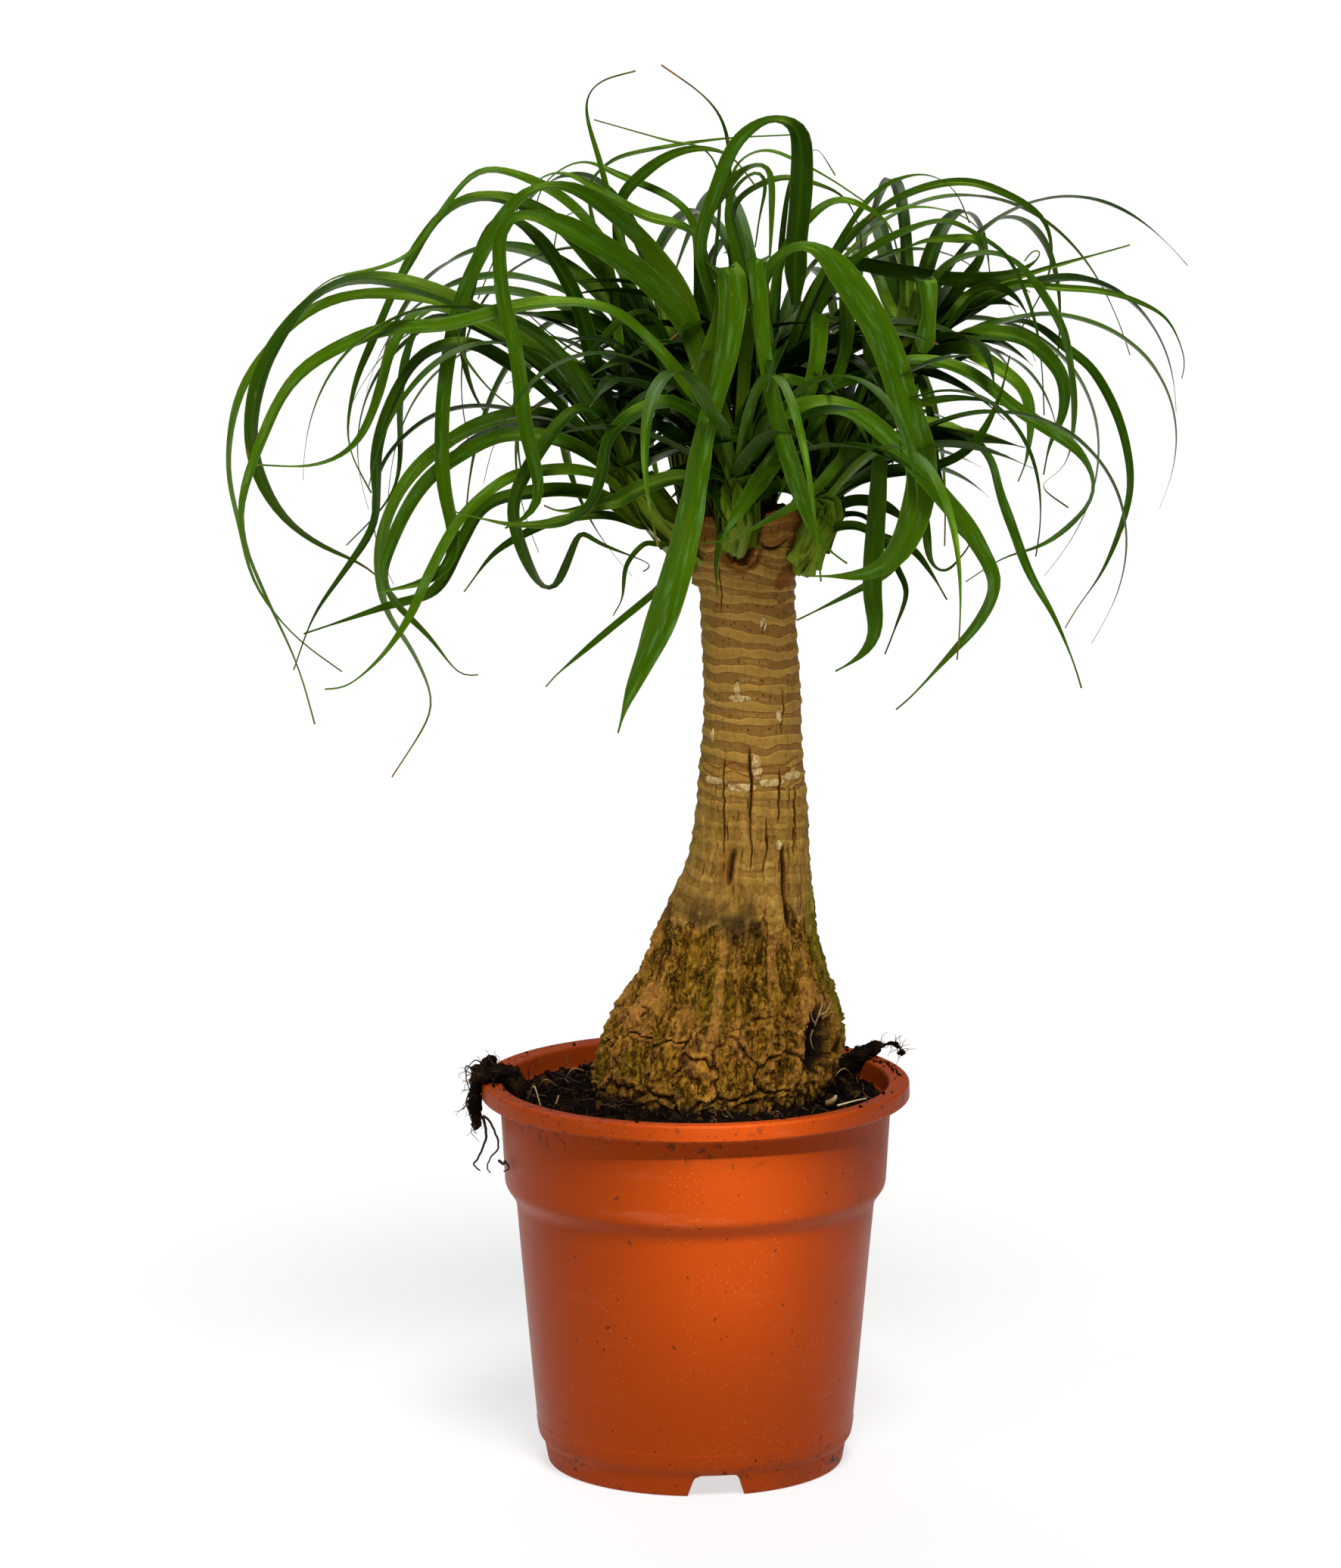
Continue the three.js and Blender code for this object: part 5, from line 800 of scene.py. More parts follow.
def bark_material():
    """Corky base, then smooth bands between thin pale leaf scars, with cracks, flakes and a little moss."""
    p = Paint("bark_surface", roughness=0.8, tint=(1.0, 0.8, 0.5), Specular_IOR_Level=0.10)
    cork, rubbed = p.value("cork"), p.value("lip")
    fine = p.stretched((520, 520, 260), detail=4)
    wavy = p.stretched((190, 190, 130), detail=3)
    lower = p.stretched((240, 240, 130), detail=5, roughness=0.62, distortion=0.8)
    crumb = p.stretched((640, 640, 430), detail=4, roughness=0.68)
    split = p.stretched((135, 135, 40), detail=4, roughness=0.6, distortion=1.2)
    split = p.step(p.size(p.minus(split, 0.5)), 0.034, 0.006)
    split = p.times(split, p.minus(1.0, rubbed))
    edge = p.plus(p.value("band"), p.swing(wavy, 0.26))
    corked = p.step(p.plus(cork, p.swing(lower, 0.9)), 0.38, 0.56)
    colour = p.layer(band_colour(p, edge, fine), cork_colour(p, lower, crumb, rubbed, split), corked)

    grey = p.ramp(lower, [(0.3, (0.022, 0.011, 0.003)), (0.7, (0.105, 0.056, 0.014))])
    colour = p.layer(colour, grey, p.value("grey"))
    moss = p.times(p.value("moss"), p.step(lower, 0.30, 0.60))
    colour = p.layer(colour, (0.120, 0.125, 0.003), moss, 0.75)
    flake = p.value("flake")
    colour = p.layer(colour, (0.055, 0.024, 0.006), p.step(flake, 0.05, 0.22), 0.8)
    flaked = p.layer((0.330, 0.205, 0.070), (0.560, 0.420, 0.180), p.step(crumb, 0.40, 0.62))
    colour = p.layer(colour, flaked, p.step(flake, 0.30, 0.46))
    colour = p.layer(colour, (0.150, 0.042, 0.005), p.value("rust"))
    dots = p.step(p.cells(1.0, p.place((440, 440, 330))), 0.25, 0.16)
    dots = p.times(dots, p.step(edge, 0.40, 0.28), p.value("dots"))
    colour = p.layer(colour, (0.035, 0.012, 0.003), dots, 0.85)
    # Cracks, seams, and the crescent of painted shadow below the stub, which rides on the crack value.
    cracks_and_shadow = p.plus(p.value("crack"), p.swing(wavy, 0.7))
    cracked = p.layer((0.095, 0.038, 0.005), (0.045, 0.019, 0.003), cork)
    colour = p.layer(colour, cracked, p.step(cracks_and_shadow, 0.28, 0.46))
    colour = p.layer(colour, (0.022, 0.008, 0.001), p.step(cracks_and_shadow, 0.62, 0.86))
    # Painted shade: the hollow at the right of the base is coloured near black.
    colour = p.layer(colour, (0.010, 0.006, 0.003), p.value("hollow"))
    soiled = p.times(p.value("soiled"), p.step(fine, 0.36, 0.56))
    colour = p.layer(colour, (0.012, 0.007, 0.004), soiled)

    carved = p.plus(p.times(lower, 2.0), p.times(crumb, 1.6))
    carved = p.minus(carved, p.times(split, 1.3))
    carved = p.times(carved, p.minus(1.0, p.times(rubbed, 0.45)))
    height = p.plus(fine, p.times(carved, corked))
    matt = p.ramp(fine, [(0.2, (0.60,) * 3), (0.8, (0.90,) * 3)])
    return p.finish(colour, matt, height, depth=0.0014, strength=0.9)


def peat_material():
    """Nearly black damp peat with brown and tan specks."""
    p = Paint("peat_surface", roughness=0.92, Specular_IOR_Level=0.05)
    fine = p.noise(900.0, detail=4, roughness=0.65)
    dark = p.ramp(fine, [
        (0.30, (0.002, 0.001, 0.000)),
        (0.58, (0.003, 0.001, 0.0003)),
        (0.70, (0.008, 0.003, 0.0005)),
        (0.86, (0.060, 0.025, 0.007)),
    ])
    tan = p.ramp(fine, [(0.3, (0.009, 0.003, 0.001)), (0.7, (0.070, 0.030, 0.007))])
    return p.finish(p.layer(dark, tan, p.value("tan")), None, fine, depth=0.0008, strength=0.9)


def root_material():
    """Thin roots, from dark brown to straw white along their tone."""
    p = Paint("root_surface", roughness=0.7, Specular_IOR_Level=0.3)
    fine = p.noise(1400.0, detail=3)
    colour = p.ramp(p.value("tone"), [
        (0.0, (0.014, 0.006, 0.003)),
        (0.35, (0.060, 0.026, 0.008)),
        (0.65, (0.300, 0.170, 0.055)),
        (1.0, (0.640, 0.550, 0.300)),
    ])
    colour = p.layer(colour, (0.045, 0.022, 0.010), p.step(fine, 0.50, 0.72), 0.5)
    return p.finish(colour, None, fine, depth=0.0002, strength=0.5)


LEAF = leaf_material()
POT = pot_material()
BARK = bark_material()
PEAT = peat_material()
ROOT = root_material()

# ---------------------------------------------------------------- pot


def wall_radius(z):
    """Outer radius of the pot's wall at a height."""
    heights = [WALL_FOOT, STEP_BOTTOM, STEP_TOP, RIM_UNDER]
    return np.interp(z, heights, [WALL_FOOT_RADIUS, LOWER_RADIUS, STEP_RADIUS, COLLAR_RADIUS])


def rounded(profile, radii):
    """A profile whose corners are rounded: each corner turns into a short arc of the radius given for it."""
    points = [np.array(p, float) for p in profile]
    made = [points[0]]
    for before, here, after, radius in zip(points, points[1:], points[2:], radii[1:]):
        if radius <= 0:
            made.append(here)
            continue
        back, forth = unit(before - here), unit(after - here)
        reach = min(radius, 0.45 * np.linalg.norm(before - here), 0.45 * np.linalg.norm(after - here))
        start, end = here + back * reach, here + forth * reach
        for t in np.linspace(0, 1, 5):
            made.append((1 - t) ** 2 * start + 2 * t * (1 - t) * here + t * t * end)
    made.append(points[-1])
    return np.array(made)


def split_long(profile, longest):
    """Extra points on long runs of a profile, so the surface can carry dust, painted shade and small
    unevenness.
    """
    made = [profile[0]]
    for a, b in zip(profile, profile[1:]):
        count = max(1, math.ceil(np.linalg.norm(b - a) / longest))
        made.extend(a + (b - a) * k / count for k in range(1, count + 1))
    return np.array(made)


def pot_piece():
    """The whole pot turned from one profile, with a few ledges inside, then notched and drilled."""
    inner_step = STEP_RADIUS - WALL
    corners = [
        ((0.2, FLOOR_UNDER), 0),
        ((FOOT_RADIUS - FOOT_WIDTH, FLOOR_UNDER), 1),
        ((FOOT_RADIUS - FOOT_WIDTH + 1, 0.1), 0.8),
        ((FOOT_RADIUS - 1.2, 0.1), 1.2),
        ((FOOT_RADIUS + 0.7, 10), 1.5),
        ((WALL_FOOT_RADIUS - 0.8, WALL_FOOT - 3), 1.6),
        ((WALL_FOOT_RADIUS - 0.2, WALL_FOOT - 0.2), 1),
        ((WALL_FOOT_RADIUS + 0.35, WALL_FOOT + 4.0), 0.4),
        ((WALL_FOOT_RADIUS + 0.15, WALL_FOOT + 4.6), 0.4),
        ((LOWER_RADIUS, STEP_BOTTOM), 2.6),
        ((STEP_RADIUS, STEP_TOP), 2.2),
        ((COLLAR_RADIUS, RIM_UNDER - 1.2), 1.5),
        ((RIM_RADIUS - 1.2, RIM_UNDER), 0.4),
        ((RIM_RADIUS - 0.1, RIM_UNDER + 0.9), 0.5),
        ((RIM_RADIUS - 0.3, POT_HEIGHT - 1.0), 0.5),
        ((RIM_RADIUS - 1.3, POT_HEIGHT - 0.1), 0.5),
        ((COLLAR_RADIUS - WALL + 1.4, POT_HEIGHT - 0.7), 1.4),
        ((COLLAR_RADIUS - WALL + 0.2, RIM_UNDER - 1), 0.6),
        ((COLLAR_RADIUS - WALL - 0.5, RIM_UNDER - 2), 0.4),
        ((COLLAR_RADIUS - WALL - 0.4, RIM_UNDER - 5), 0.4),
        ((COLLAR_RADIUS - WALL - 1.1, RIM_UNDER - 6), 0.4),
        ((inner_step, STEP_TOP), 3),
        ((LOWER_RADIUS - WALL, STEP_BOTTOM), 3),
        ((WALL_FOOT_RADIUS - WALL, FLOOR_TOP + 3), 1.5),
        ((WALL_FOOT_RADIUS - WALL - 3, FLOOR_TOP), 1.5),
        ((0.2, FLOOR_TOP), 0),
    ]
    profile = split_long(rounded([c[0] for c in corners], [c[1] for c in corners]), 5)
    angle = ring_angles(POT_SIDES)
    r, z = profile[:, :1], profile[:, 1:]
    uneven = 0.12 * noise(np.cos(angle) * 2.2, np.sin(angle) * 2.2, z / 45, 5)
    radius = r + uneven * smooth((r - 30) / 30) * smooth((RIM_UNDER - z) / 20)
    points = np.stack([radius * np.cos(angle), radius * np.sin(angle), z + 0 * angle], axis=-1)
    rows = len(profile)
    level = np.repeat(profile[:, 1], POT_SIDES)
    outside = np.repeat(np.arange(rows) < np.argmax(profile[:, 1]), POT_SIDES)
    skin = Skin()
    skin.add(
        points, capped_faces(rows, POT_SIDES),
        dust=np.where(outside, outer_dust(level, np.tile(angle, rows)), 0.85),
        inside=(~outside).astype(float),
    )
    pot = skin.piece("pot_moulded", POT, "pot_plastic", ["pot"], sharp=38)
    for n in range(NOTCH_COUNT):
        cut(pot, notch_points(FIRST_NOTCH + n * TAU / NOTCH_COUNT))
    for n in range(DRAIN_COUNT):
        cut(pot, drain_points((n + 0.5) * TAU / DRAIN_COUNT))


def outer_dust(level, wall_angle):
    """Peat dust on the outside: low down, under the rim, on its top, and in one patch at the right; low down
    and under the rim it also stands for painted shade.
    """
    low_dust = smooth((20 - level) / 9) * (0.35 + 0.65 * smooth(np.abs(wrapped(wall_angle + 1.45)) / 0.5))
    rim_dust = 0.75 * smooth((level - RIM_UNDER + 16) / 12) * (level < RIM_UNDER + 1)
    top_dust = 0.40 * (level > RIM_UNDER + 3)
    wall_dust = 0.9 * bump(wrapped(wall_angle + math.radians(22)), 0.30) * smooth((level - 95) / 50)
    return np.maximum.reduce([low_dust, rim_dust, wall_dust, top_dust])


def notch_points(angle):
    """A wedge that opens the foot ring, with one slanted corner, as an inner and an outer outline."""
    outline = [
        (-NOTCH_FOOT_WIDTH / 2, -1),
        (NOTCH_FOOT_WIDTH / 2, -1),
        (NOTCH_TOP_WIDTH / 2 + 1.2, NOTCH_HEIGHT - 2.0),
        (NOTCH_TOP_WIDTH / 2 - 0.6, NOTCH_HEIGHT - 0.2),
        (NOTCH_TOP_WIDTH / 2 - 2.5, NOTCH_HEIGHT),
        (-NOTCH_TOP_WIDTH / 2 + 2, NOTCH_HEIGHT),
        (-NOTCH_TOP_WIDTH / 2 - 0.6, NOTCH_HEIGHT - 1.2),
        (-NOTCH_TOP_WIDTH / 2 - 1.5, NOTCH_HEIGHT - 2.8),
    ]
    out = np.array([math.cos(angle), math.sin(angle), 0])
    side = np.array([-math.sin(angle), math.cos(angle), 0])
    up = np.array([0, 0, 1])
    depths = (FOOT_RADIUS - FOOT_WIDTH - 6, FOOT_RADIUS + 13)
    return np.array([[depth * out + s * side + z * up for s, z in outline] for depth in depths])


def drain_points(angle):
    """A round hole through the floor, as a lower and an upper outline."""
    middle = DRAIN_CIRCLE * np.array([math.cos(angle), math.sin(angle)])
    turn = ring_angles(DRAIN_SIDES)
    circle = middle + DRAIN_RADIUS * np.stack([np.cos(turn), np.sin(turn)], axis=1)
    return np.array([[(x, y, z) for x, y in circle] for z in (FLOOR_UNDER - 6, FLOOR_TOP + 6)])


def cut(piece, rings):
    """Takes the prism between two outlines out of a piece."""
    mesh = bpy.data.meshes.new("cutter")
    places = (rings.reshape(-1, 3) * MM + AXIS).tolist()
    mesh.from_pydata(places, [], capped_faces(2, rings.shape[1]))
    maker = bmesh.new()
    maker.from_mesh(mesh)
    bmesh.ops.recalc_face_normals(maker, faces=maker.faces)
    maker.to_mesh(mesh)
    maker.free()
    cutter = placed("cutter", mesh)
    piece.data = modified_mesh(piece, "BOOLEAN", object=cutter, operation="DIFFERENCE", solver="EXACT")
    bpy.data.objects.remove(cutter)
    bpy.data.meshes.remove(mesh)


# ---------------------------------------------------------------- stem

STEM_SIDES = 400
STEM_ROW = 0.65
# Cracks on the front: x at the top and bottom, height of the top and bottom, half width, depth.
CRACKS = [
    (12.2, 12.0, 322, 274, 0.55, 1.0),
    (23.5, 24.0, 327, 289, 0.8, 1.5),
    (36.5, 36.0, 317, 288, 0.6, 1.2),
    (43.5, 42.5, 309, 273, 1.0, 1.6),
    (23.8, 24.4, 297, 268, 0.4, 0.8),
    (31.0, 30.4, 297, 271, 0.4, 0.8),
    (37.0, 39.5, 284, 243, 1.5, 1.6),
    (17.0, 13.5, 283, 262, 1.9, 0.9),
    (38.0, 37.2, 352, 326, 0.35, 0.6),
    (29.5, 28.6, 383, 371, 0.35, 0.7),
    (11.0, 11.4, 407, 391, 0.4, 0.7),
    (15.2, 15.6, 352, 344, 0.3, 0.5),
    (6.0, 5.8, 419, 410, 0.6, 1.2),
    (11.5, 11.0, 400, 380, 0.35, 0.6),
]
FINE_CRACKS = 46
BACK_CRACKS = 70
# Pale flakes where the skin has come off: x, height, half width, half height.
FLAKES = [
    (8, 309, 6.5, 1.6),
    (20, 307, 7, 1.7),
    (33, 309, 6, 1.7),
    (42, 311, 5, 1.8),
    (19, 346, 5, 1.3),
    (18, 350, 1.1, 3.6),
    (36, 338, 1.5, 2.6),
    (7.5, 328, 1.4, 3.0),
    (28.8, 378, 1.5, 3.2),
    (36.0, 281.5, 1.5, 2.2),
    (26.5, 316, 2.2, 5.0),
    (4.0, 414.5, 1.4, 3.4),
]
# The torn cut: its height by direction in degrees, and the shallow cup inside it as shares of the last
# ring's radius with the drop at each.
TORN_EDGE = [
    (-180, 421), (-166, 425), (-138, 424), (-126, 412), (-114, 405), (-98, 405), (-88, 412), (-79, 427),
    (-60, 429), (-34, 429), (-12, 426), (12, 423), (60, 425), (120, 426), (180, 421),
]
CUP_RINGS = [(0.95, -0.3), (0.86, 0.2), (0.70, 1.0), (0.50, 1.4), (0.28, 1.4), (0.06, 1.5)]
CUP_LEVEL = 424.0
# How many points are measured against the plates' middles at once.
CHUNK = 8000


def stem_outline(z):
    """Middle in x and radius at a height, with the corners of the outline's rows softened."""
    rows = np.array(STEM, float)
    total = 0.0
    for offset in (-6, -3, 0, 3, 6):
        total = total + np.stack([np.interp(z + offset, rows[:, 0], rows[:, k]) for k in (1, 2)])
    return total / 5


def nearest_two(points, seeds):
    """Distances from each point to its nearest and second nearest seed, and the nearest one's number."""
    first = np.empty(len(points))
    second = np.empty(len(points))
    which = np.empty(len(points), int)
    for start in range(0, len(points), CHUNK):
        here = slice(start, start + CHUNK)
        part = points[here]
        away = np.linalg.norm(part[:, None] - seeds[None], axis=2)
        order = np.argpartition(away, 1, axis=1)[:, :2]
        pair = np.take_along_axis(away, order, axis=1)
        swap = pair[:, 0] > pair[:, 1]
        pair[swap] = pair[swap][:, ::-1]
        which[here] = np.where(swap, order[:, 1], order[:, 0])
        first[here], second[here] = pair[:, 0], pair[:, 1]
    return first, second, which


def plate_seeds(low, high, across, up, seed):
    """Middles of bark plates over a stretch of the stem: rows of jittered points."""
    draw = np.random.default_rng(seed)
    seeds = []
    z = low
    while z < high:
        count = max(5, round(TAU * stem_outline(z)[1] / across))
        turn = draw.uniform(0, TAU)
        for k in range(count):
            angle = turn + (k + draw.uniform(-0.38, 0.38)) * TAU / count
            height = z + draw.uniform(-0.42, 0.42) * up
            middle, radius = stem_outline(height)
            seeds.append((middle + radius * math.cos(angle), radius * math.sin(angle), height))
        z += up
    return np.array(seeds)


def front_angle(x, z):
    """The angle on the stem's front at a given x."""
    middle, radius = stem_outline(z)
    return -np.arccos(np.clip((x - middle) / radius, -0.98, 0.98))


def oval(x, y, wide, tall, uneven=0.0, soft=0.3, reach=1.15):
    """1 inside an oval patch and 0 outside it."""
    return smooth((reach - (x / wide) ** 2 - (y / tall) ** 2 + uneven) / soft)


def big_plates(points, shape):
    """The low plates: crowns and tilts, the seams between, the lips beside and the lines inside them."""
    squash = np.array([1, 1, 0.72])
    first, second, which = nearest_two(points * squash, plate_seeds(148, 240, 19, 18, 3) * squash)
    gap = (second - first).reshape(shape)
    crown = 1 - np.clip(first.reshape(shape) / 13, 0, 1) ** 2
    tilt = np.random.default_rng(8).uniform(-1, 1, 4000)[which].reshape(shape)
    contour = bump(gap - 6.2, 0.9) + 0.7 * bump(gap - 9.6, 0.9)
    return crown, tilt, bump(gap, 0.8), bump(gap - 3.2, 1.5), contour


def small_furrows(points, shape):
    """The seams between the small upright plates above the big ones."""
    squash = np.array([1, 1, 0.42])
    first, second, _ = nearest_two(points * squash, plate_seeds(150, 268, 8.5, 13, 4) * squash)
    return bump((second - first).reshape(shape), 1.0)


def drawn_cracks():
    """Short hairline cracks scattered over the front of the bare stem."""
    draw = np.random.default_rng(17)
    made = []
    for _ in range(FINE_CRACKS):
        x = draw.uniform(3, 46)
        top = draw.uniform(258, 318)
        drift, length, width = draw.uniform(-0.6, 0.6), draw.uniform(5, 15), draw.uniform(0.22, 0.4)
        made.append((x, x + drift, top, top - length, width, 0.5))
    return made


def drawn_back_cracks():
    """Cracks round the rest of the stem, which the front list doesn't cover."""
    draw = np.random.default_rng(18)
    made = []
    for _ in range(BACK_CRACKS):
        line = draw.uniform(0.25, math.pi - 0.25)
        top = draw.uniform(250, 335)
        made.append((line, top, top - draw.uniform(8, 34), draw.uniform(0.3, 0.9), draw.uniform(0.5, 1.3)))
    return made


def crack_fields(a, z, radius):
    """How much of a crack each point is, from 0 to 1, and how deep it lies there."""
    crack, groove = np.zeros(z.shape), np.zeros(z.shape)

    def carve(line, top, bottom, width, depth, seed):
        away = wrapped(a - line) * radius + 0.9 * noise(z / 5, top, 0.5, seed)
        ends = smooth((z - bottom) / 6) * smooth((top - z) / 6)
        carved = bump(away, width) * ends
        np.maximum(crack, carved, out=crack)
        np.maximum(groove, depth * carved, out=groove)

    for x_top, x_low, top, bottom, width, depth in CRACKS + drawn_cracks():
        t = np.clip((z - bottom) / (top - bottom), 0, 1)
        line = front_angle(lerp(x_low, x_top, t), z)
        carve(line, top, bottom, width * (0.65 + 0.35 * np.sin(t * math.pi)), depth, 61)
    for line, top, bottom, width, depth in drawn_back_cracks():
        carve(line, top, bottom, width, depth, 62)
    return crack, groove


def flake_field(a, z, radius):
    """Where the skin has come off in pale flakes."""
    flake = np.zeros(z.shape)
    for x, height, wide, tall in FLAKES:
        away = wrapped(a - front_angle(x, height)) * radius
        edge = 0.35 * rough(a * 12, z / 2.5, height, 71)
        flake = np.maximum(flake, oval(away, z - height, wide, tall, edge, 0.25))
    return flake


def torn_cup(edge, middle):
    """Rings of points that close the stem inside the torn edge."""
    rings = []
    for share, drop in CUP_RINGS:
        ring = edge.copy()
        ring[:, 0] = middle + share * (ring[:, 0] - middle)
        ring[:, 1] = share * ring[:, 1]
        ring[:, 2] = lerp(ring[:, 2], CUP_LEVEL, smooth((1 - share) * 1.3)) - drop
        ring[:, 2] += 0.8 * rough(ring[:, 0] / 3, ring[:, 1] / 3, 0.7, 83)
        rings.append(ring)
    return np.array(rings)


def stem_piece():
    """The stem as one surface, pushed in and out by every mark that the bark carries."""
    angle = ring_angles(STEM_SIDES)
    a, z = np.meshgrid(angle, np.arange(STEM[0][0] + 6, STEM_TOP - 1, STEM_ROW))
    middle, radius = stem_outline(z)
    cx, cy = np.cos(a), np.sin(a)
    here = np.stack([middle + radius * cx, radius * cy, z], axis=-1)
    shape = z.shape

    def belt(turns, rise, seed):
        """Noise round the stem: features per radius round it, and millimetres per feature up it."""
        return noise(cx * turns, cy * turns, z / rise, seed)

    def stirred(size, seeds):
        """Rough noise in all three directions, which bends the pattern of plates."""
        return np.stack([rough(*np.moveaxis(here / size, -1, 0), seed) for seed in seeds], axis=-1)

    # Cork: big plates low down, small upright ones above them.
    bent = (here + 4.8 * stirred(14, (11, 12, 13)) + 1.5 * stirred(5, (14, 15, 16))).reshape(-1, 3)
    crown, tilt, seam, lip, contour = big_plates(bent, shape)
    furrow = small_furrows(bent, shape)
    low = smooth((228 - z + 9 * noise(a * 3, z / 40, 0.7, 19)) / 30)
    mid = smooth((z - 176) / 34) * smooth((CORK_TOP + 4 - z) / 30)
    cork = smooth((CORK_TOP - 6 - z + 11 * rough(a * 5, z / 24, 0.3, 21)) / 16)
    banded = 1 - cork
    grit = rough(here[..., 0] / 3.4, here[..., 1] / 3.4, z / 5.2, 31, 4)
    fibre = rough(a * 26, z / 19, 2.0, 41, 3)
    ridge = rough(a * 9, z / 42, 3.0, 43, 4)

    # Rings: thin raised scars that wander, each a little in its own way.
    phase = (z + 2.3 * belt(1.3, 11, 51) + belt(3.6, 7, 52) + 2.0 * cx) / SCAR_SPACING
    strength = 0.6 + 0.4 * noise(cx * 2.2, cy * 2.2, phase, 53)
    scar = bump((phase - np.round(phase)) * SCAR_SPACING, 0.75) * strength
    half_phase = phase + 0.5 + 0.10 * belt(2, 20, 54)
    faint = bump((half_phase - np.round(half_phase)) * SCAR_SPACING, 0.5) * smooth(2.2 * belt(1.7, 17, 55))
    uneven = 0.95 * belt(1.6, 5, 56) + 0.40 * belt(5, 3, 57)
    clear = smooth((z - 286) / 34)
    band = lerp(0.35, 1, clear) * np.sin(phase * TAU + 1.2) + lerp(0.45, 1, clear) * uneven
    band = 0.5 + 0.30 * band + 0.10 * (1 - clear) * rough(a * 16, z / 26, 0.6, 59)

    crack, groove = crack_fields(a, z, radius)
    flake = flake_field(a, z, radius)
    rust_line = z - 311 - 3.2 * noise(a * 3, 0.2, 0.3, 73)
    rust = bump(rust_line - 6, 0.5) + bump(rust_line - 2.5, 0.45) + 0.9 * bump(rust_line + 4, 0.4)
    rust = rust * smooth(1.6 * noise(a * 2.2, z / 8, 0.1, 74) + 0.9) * banded

    # The hollow at the right of the base with the lobe beside it and the nub below.
    hollow = oval(wrapped(a + math.radians(36)) * radius, z - 196, 9, 16, 0.25 * grit, 0.7, 1.1)
    lobe = bump(wrapped(a + math.radians(16)) * radius, 13) * bump(z - 196, 17)
    nub = bump(wrapped(a + math.radians(38)) * radius, 12) * bump(z - 171, 9)

    # Round the cut: a shoulder on the left, the edge under the front shoot, a stub with a crescent of
    # painted shadow below it, what is left of another shoot, and a flap.
    across = here[..., 0]
    front = cy < 0
    shoulder = smooth((z - 391.5 - 1.5 * noise(a * 4, 0.3, 0.1, 84)) / 2.0)
    shoulder = shoulder * bump(wrapped(a - math.pi), 0.75)
    under_shoot = bump(np.hypot((across - 19.5) / 8.5, (z - 412) / 9.5) - 1, 0.13) * (z < 412) * front
    shadow_crescent = bump(np.hypot(across - 33, z - 418) - 6.5, 0.75) * smooth((416.5 - z) / 2.5) * front
    stub = oval(across - 35, z - 423, 13, 10) * front
    remnant = oval(across - 6, z - 420, 7, 9) * front
    ragged = 0.3 * rough(a * 16, z / 3, 0.4, 85)
    flap = oval(across - 38.5, z - 398 - 0.6 * (across - 38), 5.5, 4.2, ragged, 0.22, 1.1) * front

    push = low * (0.4 * crown + 0.8 * tilt * crown - 1.2 * seam + 0.9 * lip - 0.55 * contour + 0.7 * ridge)
    push += mid * (0.4 * tilt - 1.1 * furrow + 1.5 * ridge + 0.4)
    push += cork * (1.15 * grit + 0.9 * fibre)
    push += banded * (0.40 * scar + 0.20 * faint + 0.45 * smooth((band - 0.42) / 0.2))
    push += banded * 0.10 * (grit + fibre)
    push += 0.5 * flake - 0.35 * rust - groove * (0.7 + 0.3 * banded)
    push += 4.5 * lobe + 3.0 * nub - 13 * hollow
    push += 3.6 * shoulder + 1.3 * stub - 1.6 * shadow_crescent - 1.2 * under_shoot + 0.9 * flap
    push += 0.5 * belt(1.5, 32, 58)
    r = radius + push

    directions, tops = np.array(TORN_EDGE, float).T
    tops = np.interp(wrapped(angle), np.radians(directions), tops)
    tops = tops + 1.4 * rough(np.cos(angle) * 6, np.sin(angle) * 6, 0.4, 81)
    level = np.minimum(z, tops)
    at_top = smooth((level - tops + 5) / 5)
    points = np.stack([middle + r * cx, r * cy, level], axis=-1)
    body = np.concatenate([points, torn_cup(points[-1], middle[-1])])

    moss = smooth((belt(1.4, 30, 91) + 1.3 * bump(wrapped(a - 0.15), 0.5) - 0.25) / 0.5)
    moss = moss * smooth((z - 178) / 20) * smooth((285 - z) / 30)
    olive = smooth((z - 250) / 30) * smooth(0.8 + noise(a * 2, z / 15, 0, 92))
    olive = 0.55 * bump(wrapped(a - math.pi), 0.8) * olive
    grey = smooth((0.5 + 1.1 * rough(a * 2.5, z / 16, 0, 93)) / 0.7)
    grey = grey * bump(z - 249, 10) * bump(wrapped(a + 1.9), 1.2)
    stain = 0.7 * bump(wrapped(a + 1.95) * radius, 4) * bump(z - 271, 9) * banded
    dark_seams = np.maximum(low * np.maximum(0.74 * seam, 0.24 * contour), mid * furrow * 0.30)
    rusty = [rust, stain, 0.85 * at_top, 0.9 * under_shoot, 0.55 * stub, 0.55 * remnant, 0.85 * flap]

    def spread(field, in_cup):
        """A value at every point: the field on the stem, and one number in the cup."""
        cup = np.full((len(CUP_RINGS), STEM_SIDES), in_cup)
        return np.clip(np.concatenate([field, cup]), 0, 1).ravel()

